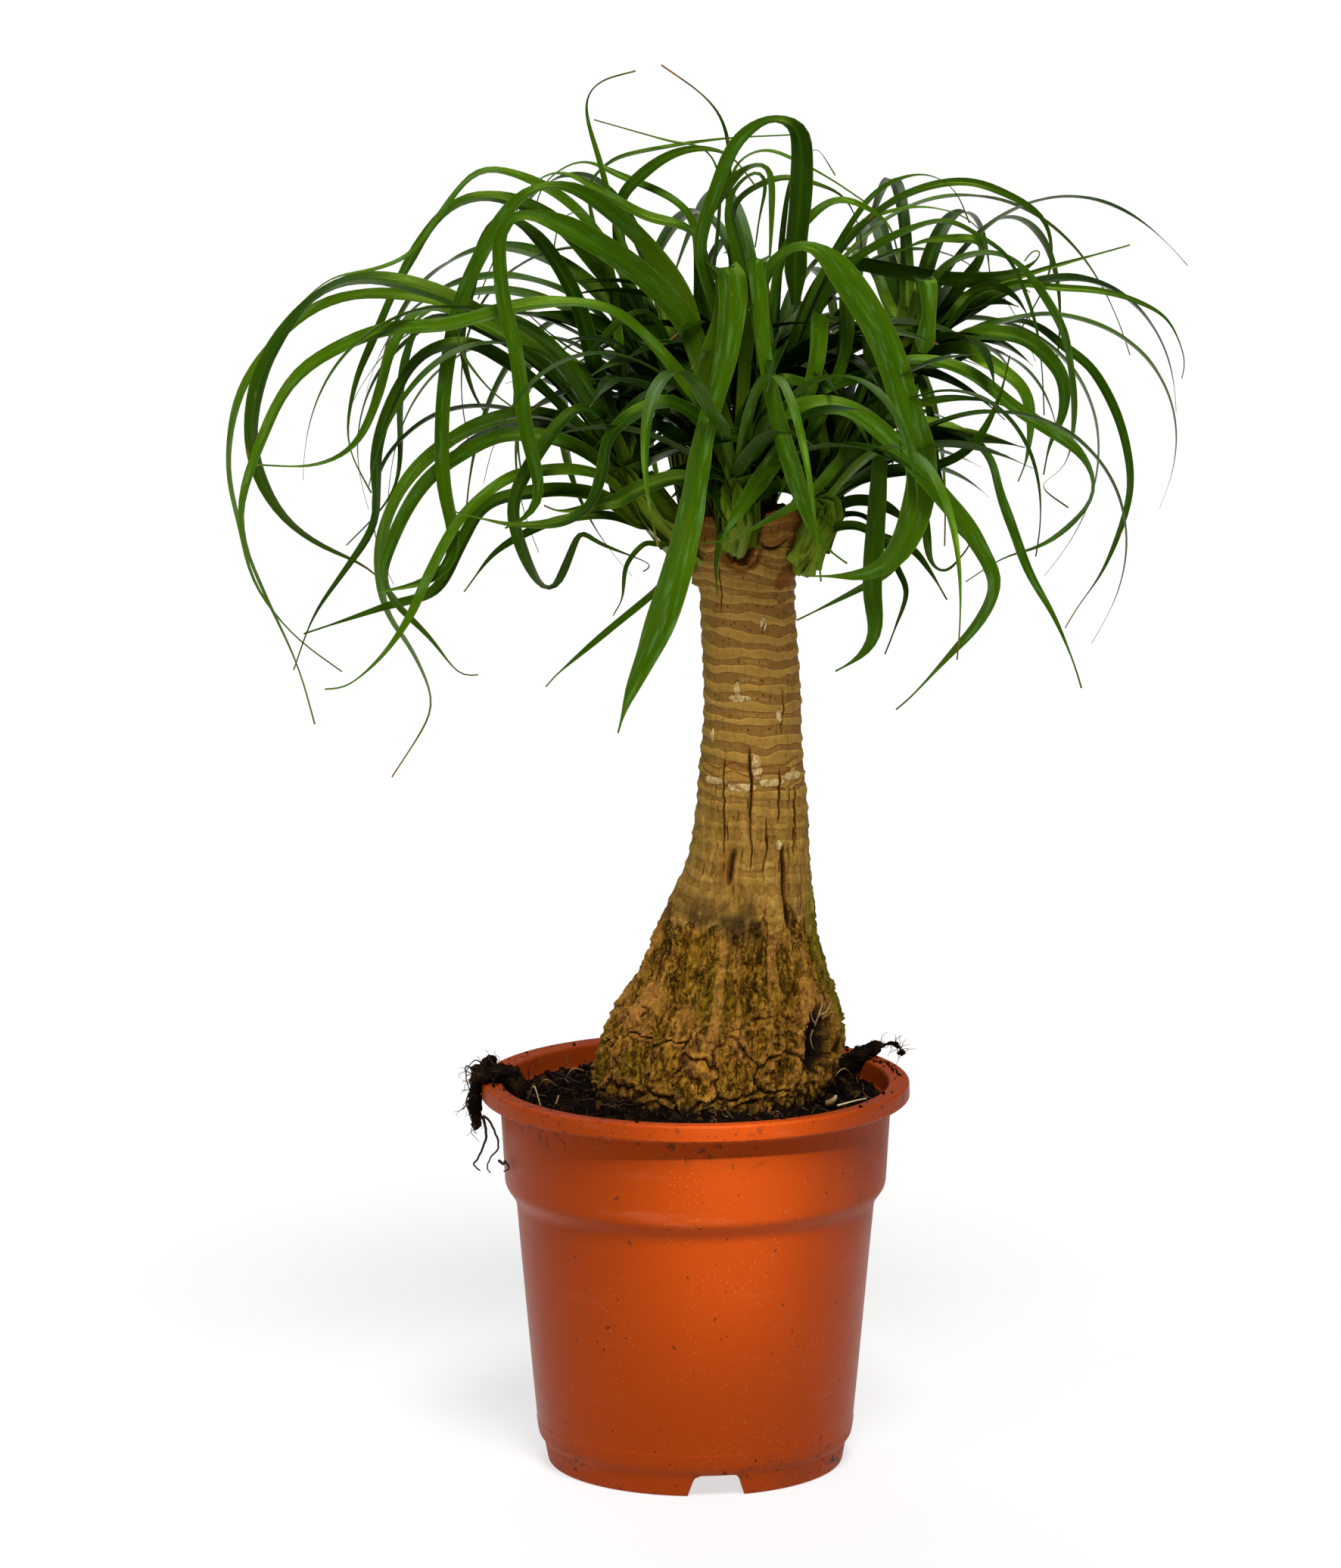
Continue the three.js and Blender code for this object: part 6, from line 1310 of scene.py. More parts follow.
    skin = Skin()
    skin.add(
        body, capped_faces(len(body), STEM_SIDES),
        cork=spread(cork, 0.0),
        ring=spread((0.35 * scar + 0.6 * faint) * banded, 0.0),
        band=spread(band, 0.3),
        # The crack value also carries the crescent of painted shadow below the stub.
        crack=spread(np.maximum.reduce([crack * 0.92, dark_seams, shadow_crescent]), 0.1),
        lip=spread(0.95 * low * lip + mid * smooth((ridge - 0.25) / 0.4), 0.0),
        plate=spread(low, 0.0),
        grey=spread(grey, 0.0),
        moss=spread(np.maximum(moss, olive), 0.0),
        flake=spread(flake * 0.9, 0.0),
        rust=spread(np.maximum.reduce(rusty), 0.75),
        dots=spread(banded, 0.0),
        faded=spread(1 - clear, 0.0),
        # The hollow's value paints it near black as shade.
        hollow=spread(smooth(hollow * 1.9), 0.0),
        soiled=spread(smooth((178 - z + 4 * grit) / 9), 0.0),
    )
    skin.piece("stem_grown", BARK, "bark", ["stem"], sharp=70)


# ---------------------------------------------------------------- soil and loose bits

SOIL_SIDES = 160
SOIL_RINGS = 76
CRUMBS = 2100
CRUMB_SHAPES = 8
FIBRES = 210
CLOD_THREADS = 90
ROOT_THREADS = 46
# How far from the axis a loose fibre may lie without touching the pot's wall.
FIBRE_REACH = 81.5
# Rootlets that stand in small arcs out of the compost: start, middle, end and how pale each is.
LOOPS = [
    ((62, -26, 166), (69, -24, 167.5), (75, -18, 167.5), 1.0),
    ((-74, -6, 164), (-71, -14, 172), (-68, -22, 165), 0.75),
    ((-62, -28, 165), (-60, -24, 170), (-62, -18, 166), 0.55),
    ((-70, 10, 165), (-66, 4, 171), (-60, 8, 166), 0.5),
    ((-58, 30, 165), (-54, 26, 171), (-47, 30, 168), 0.6),
    ((60, 20, 167), (66, 26, 171), (70, 34, 166), 0.6),
]
# Peat that hangs over the left of the rim: middles and half sizes of its lumps, and its dangling roots.
CLOD_LUMPS = [
    ((-87, 2, 174.8), (5.5, 12, 2.6)),
    ((-92, 8, 175.2), (4, 9, 3.0)),
    ((-93, -5, 175.0), (4.5, 10, 3.0)),
    ((-82.5, 4, 171.5), (5, 12, 4.6)),
    ((-79.5, -2, 168.5), (5, 9, 4.5)),
    ((-97.0, -4, 171), (2.6, 8, 5.5)),
    ((-97.2, -6, 163), (2.6, 6.5, 7.5)),
    ((-96.4, -7, 156), (2.0, 4.5, 5.0)),
    ((-91, 15, 176), (3, 6, 3.2)),
    ((-96.4, 6, 174.2), (2.2, 6, 2.8)),
]
CLOD_ROOTS = [
    ([(-95.5, -8, 158), (-93.3, -8, 155), (-92.3, -8, 148.5), (-93.3, -9, 144), (-96.3, -9, 138),
      (-97.7, -9, 135.5), (-95, -8, 132.5)], 0.75),
    ([(-93.5, -10, 158), (-91, -10, 155.5), (-88.3, -11, 150.5), (-86.7, -12, 144), (-90, -12, 140),
      (-91.7, -11, 135), (-90.3, -11, 132)], 0.6),
    ([(-86.4, -20, 140), (-84.5, -23, 139), (-83.5, -25, 141), (-82, -28, 138.5), (-84, -26, 136.5)], 0.7),
    ([(-98, 2, 176), (-101, 1, 177.5), (-101.3, 0, 172), (-99, -2, 166), (-98, -4, 162)], 0.4),
    ([(-99, -4, 168), (-101, -6, 164), (-99.6, -7, 158), (-98, -8, 152)], 0.45),
    ([(-94, 4, 178), (-97, 0, 180.5), (-99.5, -4, 179), (-101, -6, 176)], 0.35),
]
# The root over the right back of the rim: the peat it stands in and its course.
ROOT_LUMPS = [
    ((72, 42, 172), (7, 5, 3.6)),
    ((78, 44.5, 175.2), (5, 3.4, 2.2)),
    ((66, 40, 169.5), (8, 6, 3.5)),
]
ROOT_COURSE = [
    (68, 40, 173), (74, 44.5, 176.2), (79, 47, 177.4), (84, 49.5, 176.4), (88, 50.5, 177.2), (91, 51, 175.4),
    (92.7, 51, 174), (92.0, 51, 171.6),
]
# Crumbs on the rim: direction in degrees, spread in radians, how many.
RIM_CRUMBS = [(28, 0.22, 40), (172, 0.30, 36), (12, 0.10, 16), (-60, 1.2, 14), (95, 1.4, 20)]
# Pale forked rootlets in the stem's hollow, and the blunt tip of a root below it.
FORKS = [
    [(52, -30, 203), (53.5, -33, 208), (55, -34, 213), (54.5, -36, 218)],
    [(54, -32, 208), (57, -34, 210), (59, -33, 214)],
    [(52, -31, 204), (50.5, -34, 207), (50, -36, 211), (48.5, -37, 213)],
    [(55, -31, 206), (59, -31, 209), (62, -29, 208)],
    [(51, -31, 201), (50, -35, 198), (51, -37, 194)],
]
BUD = [(57.5, -34.5, 169), (59.2, -36, 170), (60.6, -37, 171.6), (61.2, -37.4, 173.2)]


def scattered(skin, places, sizes, seed, **values):
    """Crumbs: small uneven lumps, each turned its own way and with its own value."""
    draw = np.random.default_rng(seed)
    shapes = []
    ball, faces = icosphere(2)
    for n in range(CRUMB_SHAPES):
        uneven = 1 + 0.36 * rough(*(ball * 1.3 + 9 * n).T, seed=n + 3, octaves=2)
        shapes.append(ball * uneven[:, None])
    for n, (place, size) in enumerate(zip(places, sizes)):
        turn = np.linalg.qr(draw.normal(size=(3, 3)))[0]
        stretch = size * np.array([1, draw.uniform(0.6, 1.1), draw.uniform(0.45, 0.9)])
        points = (shapes[n % CRUMB_SHAPES] * stretch) @ turn.T + place
        skin.add(points, faces, **{key: value[n] for key, value in values.items()})


def soil_height(x, y):
    """The compost's top: a low mound towards the stem, granular all over."""
    reach = np.hypot(x, y)
    mound = SOIL_MOUND * smooth((1 - reach / 82) / 0.4)
    broad = 1.3 * rough(x / 16, y / 16, 0.5, 101, 2)
    return SOIL_LEVEL + mound + broad + 0.9 * rough(x / 4.2, y / 4.2, 0.5, 102, 3)


def soil_piece():
    """The compost that fills the pot, with crumbs over its top."""
    angle = ring_angles(SOIL_SIDES)
    edge = wall_radius(SOIL_LEVEL) - WALL - 0.7
    outline = [
        (WALL_FOOT_RADIUS - WALL - 3.5, FLOOR_TOP + 0.5),
        (wall_radius(FLOOR_TOP + 5) - WALL - 0.65, FLOOR_TOP + 5),
        (LOWER_RADIUS - WALL - 1.0, STEP_BOTTOM - 1),
        (STEP_RADIUS - WALL - 1.0, STEP_TOP + 1),
        (edge, SOIL_LEVEL - 4),
    ]
    rings = [np.stack([r * np.cos(angle), r * np.sin(angle), z + 0 * angle], axis=1) for r, z in outline]
    for radius in np.linspace(edge - 0.3, 3.0, SOIL_RINGS):
        x, y = radius * np.cos(angle), radius * np.sin(angle)
        rings.append(np.stack([x, y, soil_height(x, y)], axis=1))
    rings = np.array(rings)
    flat = rings.reshape(-1, 3)
    skin = Skin()
    tan = 0.5 * smooth(rough(flat[:, 0] / 6, flat[:, 1] / 6, 0.2, 104) - 0.35)
    skin.add(flat, capped_faces(len(rings), SOIL_SIDES), tan=tan)

    draw = np.random.default_rng(29)
    turn = draw.uniform(0, TAU, CRUMBS)
    reach = edge * np.sqrt(draw.uniform(0.28, 1, CRUMBS)) - 1.2
    x, y = reach * np.cos(turn), reach * np.sin(turn)
    size = 0.55 + 1.9 * draw.uniform(0, 1, CRUMBS) ** 3.2
    z = soil_height(x, y) + 0.25 * size
    bright = draw.uniform(0, 1, CRUMBS) ** 8
    scattered(skin, np.stack([x, y, z], axis=1), size, 31, tan=bright)
    skin.piece("compost", PEAT, "soil", ["soil"], sharp=80)


def wild_course(draw, start, heading, length, steps, curl, sink=0.0):
    """A wandering thread: it sets off along heading and keeps turning a little."""
    place = np.array(start, float)
    way = unit(np.array(heading, float))
    made = [place.copy()]
    for _ in range(steps):
        way = unit(way + curl * draw.normal(size=3) - np.array([0, 0, sink]))
        place = place + way * length / steps
        made.append(place.copy())
    return spline(made, np.linspace(0, 1, 3 * steps + 1))


def fibre_piece():
    """Fibres and pale rootlets in the compost."""
    draw = np.random.default_rng(37)
    skin = Skin()
    for _ in range(FIBRES):
        turn, reach = draw.uniform(0, TAU), draw.uniform(50, 81)
        x, y = reach * math.cos(turn), reach * math.sin(turn)
        start = (x, y, float(soil_height(x, y)) + 0.2)
        heading = draw.normal(size=3) * [1, 1, 0.35]
        course = wild_course(draw, start, heading, draw.uniform(5, 15), 6, 0.34)
        keep_inside(course)
        tube(skin, course, np.linspace(0.28, 0.10, len(course)), 5, tone=draw.uniform(0.0, 0.5))
    for start, middle, end, tone in LOOPS:
        course = spline([start, middle, end], np.linspace(0, 1, 15))
        tube(skin, course, np.linspace(0.5, 0.25, 15), 6, tone=tone)
    skin.piece("compost_fibres", ROOT, "soil", sharp=80)


def keep_inside(course):
    """Keeps a thread on the compost side of the pot's wall and above the compost."""
    reach = np.hypot(course[:, 0], course[:, 1])
    course[:, :2] *= np.minimum(1, FIBRE_REACH / np.maximum(reach, 1e-6))[:, None]
    course[:, 2] = np.maximum(course[:, 2], soil_height(course[:, 0], course[:, 1]) - 0.1)


def remeshed(skin, name, voxel, roughen, seed, replaced, tan):
    """One closed body of peat round everything in the skin, with a crumbly surface."""
    rough_mesh = bpy.data.meshes.new(name)
    rough_mesh.from_pydata((np.vstack(skin.points) * MM).tolist(), [], skin.faces)
    holder = placed(name, rough_mesh)
    mesh = modified_mesh(holder, "REMESH", mode="VOXEL", voxel_size=voxel * MM)
    bpy.data.objects.remove(holder)
    count = len(mesh.vertices)
    points = np.empty(count * 3, np.float32)
    normals = np.empty(count * 3, np.float32)
    mesh.vertices.foreach_get("co", points)
    mesh.vertices.foreach_get("normal", normals)
    points = points.reshape(-1, 3).astype(float) / MM
    grain = rough(*(points / 2.4).T, seed=seed, octaves=4)
    points += normals.reshape(-1, 3) * (roughen * grain)[:, None]
    places = np.clip(points * MM + AXIS, LOWEST, HIGHEST)
    mesh.vertices.foreach_set("co", places.astype(np.float32).ravel())
    light = np.clip(0.5 * rough(*(points / 4.0).T, seed=seed + 5) + 0.1, 0, 1)
    set_values(mesh, "tan", np.clip(light * tan, 0, 1))
    return dressed(mesh, name, PEAT, replaced, 80)


def lumps(skin, rows, seed):
    """Uneven balls stretched to their half sizes."""
    ball, faces = icosphere(3)
    for middle, size in rows:
        uneven = 1 + 0.20 * rough(*(ball * 2 + middle[0]).T, seed=seed)
        skin.add(ball * uneven[:, None] * size + middle, faces)


def clod_pieces():
    """The matted peat over the left of the rim, with roots and threads that hang from it."""
    skin = Skin()
    lumps(skin, CLOD_LUMPS, 7)
    remeshed(skin, "rim_clod_peat", 0.55, 1.0, 45, ["rim_clod"], tan=0.8)
    draw = np.random.default_rng(51)
    roots = Skin()
    for points, radius in CLOD_ROOTS:
        course = spline(points, np.linspace(0, 1, 40))
        course += 0.35 * np.stack([rough(course[:, 2] / 3, radius, n, 53) for n in range(3)], axis=1)
        tube(roots, course, np.linspace(radius, 0.45 * radius, 40), 7, tone=0.08)
    for n in range(CLOD_THREADS):
        middle, size = CLOD_LUMPS[n % len(CLOD_LUMPS)]
        start = np.array(middle) + draw.normal(size=3) * np.array(size) * 0.5
        heading = draw.normal(size=3) + np.array([-0.9, 0, -0.5])
        course = wild_course(draw, start, heading, draw.uniform(5, 13), 6, 0.4, 0.08)
        tube(roots, course, np.linspace(0.22, 0.09, len(course)), 5, tone=draw.uniform(0.0, 0.45))
    roots.piece("rim_clod_roots", ROOT, "peat", sharp=80)


def rim_root_pieces():
    """A twisted dark root that climbs out of the compost, bends over the rim and ends in a hook."""
    skin = Skin()
    lumps(skin, ROOT_LUMPS, 9)
    course = spline(ROOT_COURSE, np.linspace(0, 1, 60))
    thick = 1.45 + 0.45 * np.sin(np.linspace(0, 22, 60)) - 0.5 * np.linspace(0, 1, 60)
    tube(skin, course, thick, 9)
    remeshed(skin, "rim_root_peat", 0.45, 0.65, 47, ["rim_root"], tan=1.0)
    draw = np.random.default_rng(57)
    hair = Skin()
    for _ in range(ROOT_THREADS):
        start = course[draw.integers(0, 58)] + draw.normal(size=3) * 0.5
        thread = wild_course(draw, start, draw.normal(size=3) + [0, 0, 0.2], draw.uniform(3, 8), 5, 0.4)
        tube(hair, thread, np.linspace(0.2, 0.08, len(thread)), 5, tone=draw.uniform(0.05, 0.6))
    hair.piece("rim_root_hairs", ROOT, "peat", sharp=80)


def crumb_piece():
    """Peat crumbs that lie on the rim."""
    draw = np.random.default_rng(61)
    places, sizes, tans = [], [], []
    for turn, spread, count in RIM_CRUMBS:
        for _ in range(count):
            angle = math.radians(turn) + draw.normal() * spread
            reach = draw.uniform(86.5, 92.5)
            size = 0.25 + 0.8 * draw.uniform() ** 3
            places.append((reach * math.cos(angle), reach * math.sin(angle), POT_HEIGHT - 0.2 + 0.4 * size))
            sizes.append(size)
            tans.append(draw.uniform() ** 4)
    skin = Skin()
    scattered(skin, places, sizes, 63, tan=tans)
    skin.piece("rim_crumbs", PEAT, "peat", sharp=80)


def stem_rootlets():
    """Pale forked rootlets in the hollow at the right of the base and the blunt root tip below it."""
    skin = Skin()
    for n, fork in enumerate(FORKS):
        course = spline(fork, np.linspace(0, 1, 16))
        tube(skin, course, np.linspace(0.42, 0.16, 16), 6, tone=0.80 - 0.07 * n)
    share = np.linspace(0, 1, 14)
    tube(skin, spline(BUD, share), 1.5 - 1.0 * share ** 2.2, 10, tone=lerp(0.5, 0.82, share))
    skin.piece("stem_rootlets", ROOT, "bark", sharp=60)


# ---------------------------------------------------------------- leaves

# Rows along a blade, points across it and rows of the sheath below it.
FINE = 66
ACROSS = 9
SHEATH_ROWS = 7
FILLER_SIDES = 26
FILLER_ROWS = 22


def depth_at(depths, share):
    """The parabola through the depths given for root, middle and tip."""
    root, middle, tip = depths
    by_root = root * (1 - share) * (1 - 2 * share)
    return by_root + 4 * middle * share * (1 - share) + tip * share * (2 * share - 1)


def along_sight(x, z, depth):
    """Points moved along the line of sight, so that they stay where they are in the camera's picture."""
    scale = (VIEW_DISTANCE + depth) / VIEW_DISTANCE
    moved_x = VIEW_SIDE + (x - VIEW_SIDE) * scale
    return np.stack([moved_x, depth + 0 * x, VIEW_HEIGHT + (z - VIEW_HEIGHT) * scale], 1)


def course_points(flat, depths, steps):
    """Evenly spaced points of a course given flat, with its depth added."""
    drawn = np.array(flat, float).reshape(-1, 2) * CM
    drawn = np.stack([drawn[:, 0], 0 * drawn[:, 0], drawn[:, 1]], axis=1)
    flat_points = spaced(drawn, steps)
    depth = depth_at(depths, np.linspace(0, 1, steps + 1)) * CM
    return along_sight(flat_points[:, 0], flat_points[:, 2], depth)


def leaf_record(shoot, points, fine, **given):
    """A leaf: its stations before and after the easing, its fine course, and how its blade lies."""
    return {"shoot": shoot, "points": points, "first": points.copy(), "fine": fine, "tone": None, **given}


def course_leaf(shoot, place, width, faces, depths, flat):
    """A leaf with a course of its own, which faces the side to which it bends."""
    points = course_points(flat, depths, STATIONS)
    crest = int(np.argmax(points[:, 2]))
    inside = 0 < crest < STATIONS
    ends = (points[crest + 1], points[crest - 1]) if inside else (points[-1], points[0])
    return leaf_record(
        shoot, points, course_points(flat, depths, FINE),
        width=width, faces=faces, side=np.sign(ends[0][0] - ends[1][0]), across=np.array([0.0, 1.0, 0.0]),
        freedom=0, fold=1.0, strap=STRAPS.get((shoot, place)),
    )


def fan_leaf(shoot, fan, n, draw):
    """A leaf that rises from the shoot, arches and droops; young ones stay more upright."""
    turn = ((n + 0.5) / fan["count"] - 0.5) * fan["spread"] + (next(draw) - 0.5) * 14
    heading = math.radians(fan["towards"] + turn)
    out = np.array([math.cos(heading), math.sin(heading), 0.0])
    length = fan["longest"] * lerp(0.68, 1, next(draw))
    rise = math.radians(lerp(30, 72, next(draw)))
    droop = math.radians(lerp(120, 175, next(draw))) * fan.get("droop", 1)
    width = lerp(5, 10, next(draw))
    twist = lerp(-25, 25, next(draw))
    drift = lerp(-0.35, 0.35, next(draw))
    sideways = np.array([-out[1], out[0], 0.0])
    place = np.array(SHOOTS[shoot]["to"], float)
    points = [place.copy()]
    for k in range(1, STATIONS + 1):
        share = k / STATIONS
        slope = rise - droop * float(smooth(share * 0.95)) * (0.55 + 0.45 * share)
        step = out * math.cos(slope) + np.array([0, 0, math.sin(slope)]) + sideways * drift * share
        place = place + step * length / STATIONS
        points.append(place.copy())
    points = np.array(points)
    return leaf_record(
        shoot, points, spline(points, np.linspace(0, 1, FINE + 1)),
        width=width, faces=(twist * 0.3, twist), side=1, across=sideways, freedom=1, fold=0.5, strap=None,
    )


def eased_width(share):
    """Width along the leaf as a share of its widest, as far as it counts when leaves are eased apart."""
    root = 0.75 + 0.25 * smooth(share / 0.2)
    return root * np.maximum(0.12, 1 - smooth((share - 0.35) / 0.75) ** 0.9)


def ease_apart(leaves):
    """Leaves that would touch are eased apart, those with a drawn course only in depth."""
    share = np.linspace(0, 1, STATIONS + 1)
    hold = smooth((share - 0.1) / 0.3)[None, :, None]
    reach = np.array([1.8 + 0.3 * leaf["width"] * eased_width(share) for leaf in leaves])
    free = np.array([leaf["freedom"] for leaf in leaves], float)
    points = np.array([leaf["points"] for leaf in leaves])
    for _ in range(EASE_ROUNDS):
        push = np.zeros_like(points)
        low, high = points.min(axis=1) - 5, points.max(axis=1) + 5
        for a in range(len(leaves) - 1):
            near = np.all((low[a] <= high[a + 1:]) & (high[a] >= low[a + 1:]), axis=1)
            others = np.nonzero(near)[0] + a + 1
            if not len(others):
                continue
            gap = points[a, 3:, None, None] - points[None, others, 3:]
            apart = np.linalg.norm(gap, axis=-1)
            need = reach[a, 3:, None, None] + reach[None, others, 3:]
            amount = 0.5 * np.maximum(need - apart, 0)
            way = np.where(gap[..., 1] >= 0, 1.0, -1.0) * amount
            slide = gap * (amount / (apart + 1))[..., None]
            push[a, 3:, 1] += way.sum(axis=(1, 2))
            push[a, 3:, 0] += free[a] * slide[..., 0].sum(axis=(1, 2))
            push[a, 3:, 2] += free[a] * slide[..., 2].sum(axis=(1, 2))
            push[others, 3:, 1] -= way.sum(axis=0)
            push[others, 3:, 0] -= free[others, None] * slide[..., 0].sum(axis=0)
            push[others, 3:, 2] -= free[others, None] * slide[..., 2].sum(axis=0)
        for _ in range(2):
            push[:, 1:-1] = 0.5 * push[:, 1:-1] + 0.25 * (push[:, :-2] + push[:, 2:])
        length = np.linalg.norm(push, axis=-1, keepdims=True)
        push = push * np.minimum(1, 4 / np.maximum(length, 1e-9))
        points = points + 0.5 * push * hold
    for leaf, eased in zip(leaves, points):
        leaf["points"] = eased


def upper_faces(leaf):
    """Upper-face direction at each station: turned from the leaf's own bending plane towards the front."""
    points, across = leaf["points"], leaf["across"]
    padded = np.vstack([points[:1], points, points[-1:]])
    along = unit(padded[2:] - padded[:-2])
    sideways = unit(across - along * (along @ across)[:, None])
    in_plane = np.cross(along, sideways) * leaf["side"]
    bend = np.linalg.norm(padded[2:] - 2 * points + padded[:-2], axis=1)
    bend = bend / np.maximum(np.linalg.norm(padded[2:] - padded[:-2], axis=1) / 2, 1e-6)
    bend[[0, -1]] = 0
    folded = 1 - (0.3 if leaf["strap"] else leaf["fold"]) * smooth((bend - 0.22) / 0.30)
    turn = lerp(leaf["faces"][0], leaf["faces"][1], np.linspace(0, 1, STATIONS + 1))
    turn = np.radians(turn * folded)[:, None]
    raw = in_plane * np.cos(turn) - sideways * np.sin(turn)
    raw = np.vstack([raw[:1], raw, raw[-1:]])
    return unit(raw[1:-1] + raw[:-2] + raw[2:])


def all_leaves():
    """Every leaf of the crown: courses and fans eased apart, and the short ones that close the hearts."""
    leaves = []
    for shoot in SHOOTS:
        for place, course in enumerate(COURSES[shoot]):
            leaves.append(course_leaf(shoot, place, *course))
        draw = draws(FANS[shoot]["seed"])
        for n in range(FANS[shoot]["count"]):
            leaves.append(fan_leaf(shoot, FANS[shoot], n, draw))
    ease_apart(leaves)
    for shoot, fan in HEARTS.items():
        draw = draws(fan["seed"])
        for n in range(fan["count"]):
            young = fan_leaf(shoot, fan, n, draw)
            # The heart leaves' dark tone is painted shade of the crown's inside.
            young["tone"] = 0.24 * next(draw)
            young["width"] *= 2.0
            leaves.append(young)
    return leaves


def shoot_axis(shoot, share):
    """A point on a shoot's middle line and its radius there."""
    start, end = np.array(shoot["from"], float), np.array(shoot["to"], float)
    low, high = shoot["low"], shoot["high"]
    radius = np.interp(share, [0, 0.35, 0.8, 1, 1.22], [0.8 * low, low, high, 0.85 * high, 0.3 * high])
    radius = radius * lerp(0.45, 1.0, smooth(share / 0.55))
    return start + (end - start) * np.asarray(share)[..., None], radius


def folded_over(course, up, crest):
    """Draws the rising half in behind the falling one, so that the blade folds over its crest."""
    course, up = course.copy(), up.copy()
    below = course[crest, 2] - course[:, 2]
    rising = np.arange(len(course)) < crest
    fall = course[crest + 1:crest + 20]
    order = np.argsort(fall[:, 2])
    match = [np.interp(course[:, 2], fall[order, 2], fall[order, k]) for k in (0, 1)]
    near = rising * smooth((62 - below) / 45)
    course[:, 0] += near * 0.92 * (match[0] - course[:, 0])
    course[:, 1] += near * (match[1] + 5.5 - course[:, 1])
    sideways = unit(np.cross(course[crest + 8] - course[crest + 3], [0.22, -1.0, 0.1]))
    along = unit(np.gradient(course, axis=0))
    hold = np.where(rising, smooth((80 - below) / 40), smooth((75 - below) / 50))[:, None]
    return course, unit(up * (1 - hold) + unit(np.cross(sideways, along)) * hold)


def sheathed(course, up, shoot, draw):
    """Adds the clasping part below a course, down the shoot it grows from, and gives its shares too."""
    start, end = np.array(shoot["from"], float), np.array(shoot["to"], float)
    axis = unit(end - start)
    outward = -(up[0] - axis * up[0].dot(axis))
    outward = unit(outward + 0.25 * unit(course[6] - course[0]))
    outward = unit(outward - axis * outward.dot(axis))
    lowest = draw.uniform(0.02, 0.55) ** 1.3
    highest = min(1.0, max(0.5, float((course[0] - start) @ axis / np.linalg.norm(end - start))))
    down = np.linspace(lowest, highest, SHEATH_ROWS + 1)[:-1]
    climbed = (down - lowest) / (highest - lowest)
    middle, radius = shoot_axis(shoot, down)
    layer = draw.uniform(0.55, 0.98)
    toward = smooth(climbed)[:, None] ** 2
    tuck = 0.72 + 0.28 * smooth((down - lowest) / 0.18)
    own = middle + outward * (0.82 * radius * layer * tuck)[:, None]
    course = np.vstack([own + toward * 0.75 * (course[0] - own), course])
    up = unit(np.vstack([-outward * (1 - toward) + up[0] * toward, up]))
    joint = SHEATH_ROWS + 8
    for _ in range(2):
        course[1:joint] = 0.5 * course[1:joint] + 0.25 * (course[:joint - 1] + course[2:joint + 1])
        up[1:-1] = unit(0.5 * up[1:-1] + 0.25 * (up[:-2] + up[2:]))
    return course, up, -0.12 * (1 - climbed) - 0.004


def strap_look(strap, share, crest):
    """Width and tone, as painted light and shade, along a broad strap: they change past its crest, where a
    waist pinches it.
    """
    before, after, painted_light_before, painted_light_after, folds, tip = strap
    past = smooth((share - crest + 0.04) / 0.10)
    waist = 0.30 * bump(share - crest - 0.20, 0.13) if folds else 0.52 * bump(share - crest, 0.045)
    outline = lerp(before, after, past) * (1 - waist) * (1 - smooth((share - tip) / 0.24) ** 1.3)
    return outline, lerp(painted_light_before, painted_light_after, past)


def gutter(course, sideways, up, half, wrap, crease, thick, waves):
    """Rings round a thin strip: bent by the angle wrap, creased along its middle, with wavy margins."""
    c = np.linspace(-1, 1, ACROSS)
    angle = wrap[:, None] * c
    bend = (half / np.maximum(np.sin(wrap), 0.2))[:, None]
    flat = bend * np.sin(angle)
    lift = bend * (1 - np.cos(angle)) - 0.30 * bend * (1 - np.cos(wrap))[:, None]
    lift = lift + (half * crease)[:, None] * np.abs(c) ** 0.8
    lift = lift + 0.11 * half[:, None] * np.sign(c) * np.abs(c) ** 3 * waves[:, None]
    depth = thick[:, None] * (1 - 0.78 * np.abs(c) ** 2.5)

    def surface(sign):
        out = flat - sign * 0.5 * depth * np.sin(angle)
        over = lift + sign * 0.5 * depth * np.cos(angle)
        return course[:, None] + sideways[:, None] * out[..., None] + up[:, None] * over[..., None]

    return np.concatenate([surface(1), surface(-1)[:, ::-1]], axis=1)


def strip_faces(rows):
    """Quads round a strip's rings, and quads that close its two ends."""
    sides = 2 * ACROSS
    faces = ring_faces(rows, sides)[:, ::-1].tolist()
    last = (rows - 1) * sides
    for k in range(ACROSS - 1):
        end = [k, k + 1, sides - 2 - k, sides - 1 - k]
        faces.append(end)
        faces.append([last + corner for corner in reversed(end)])
    return faces


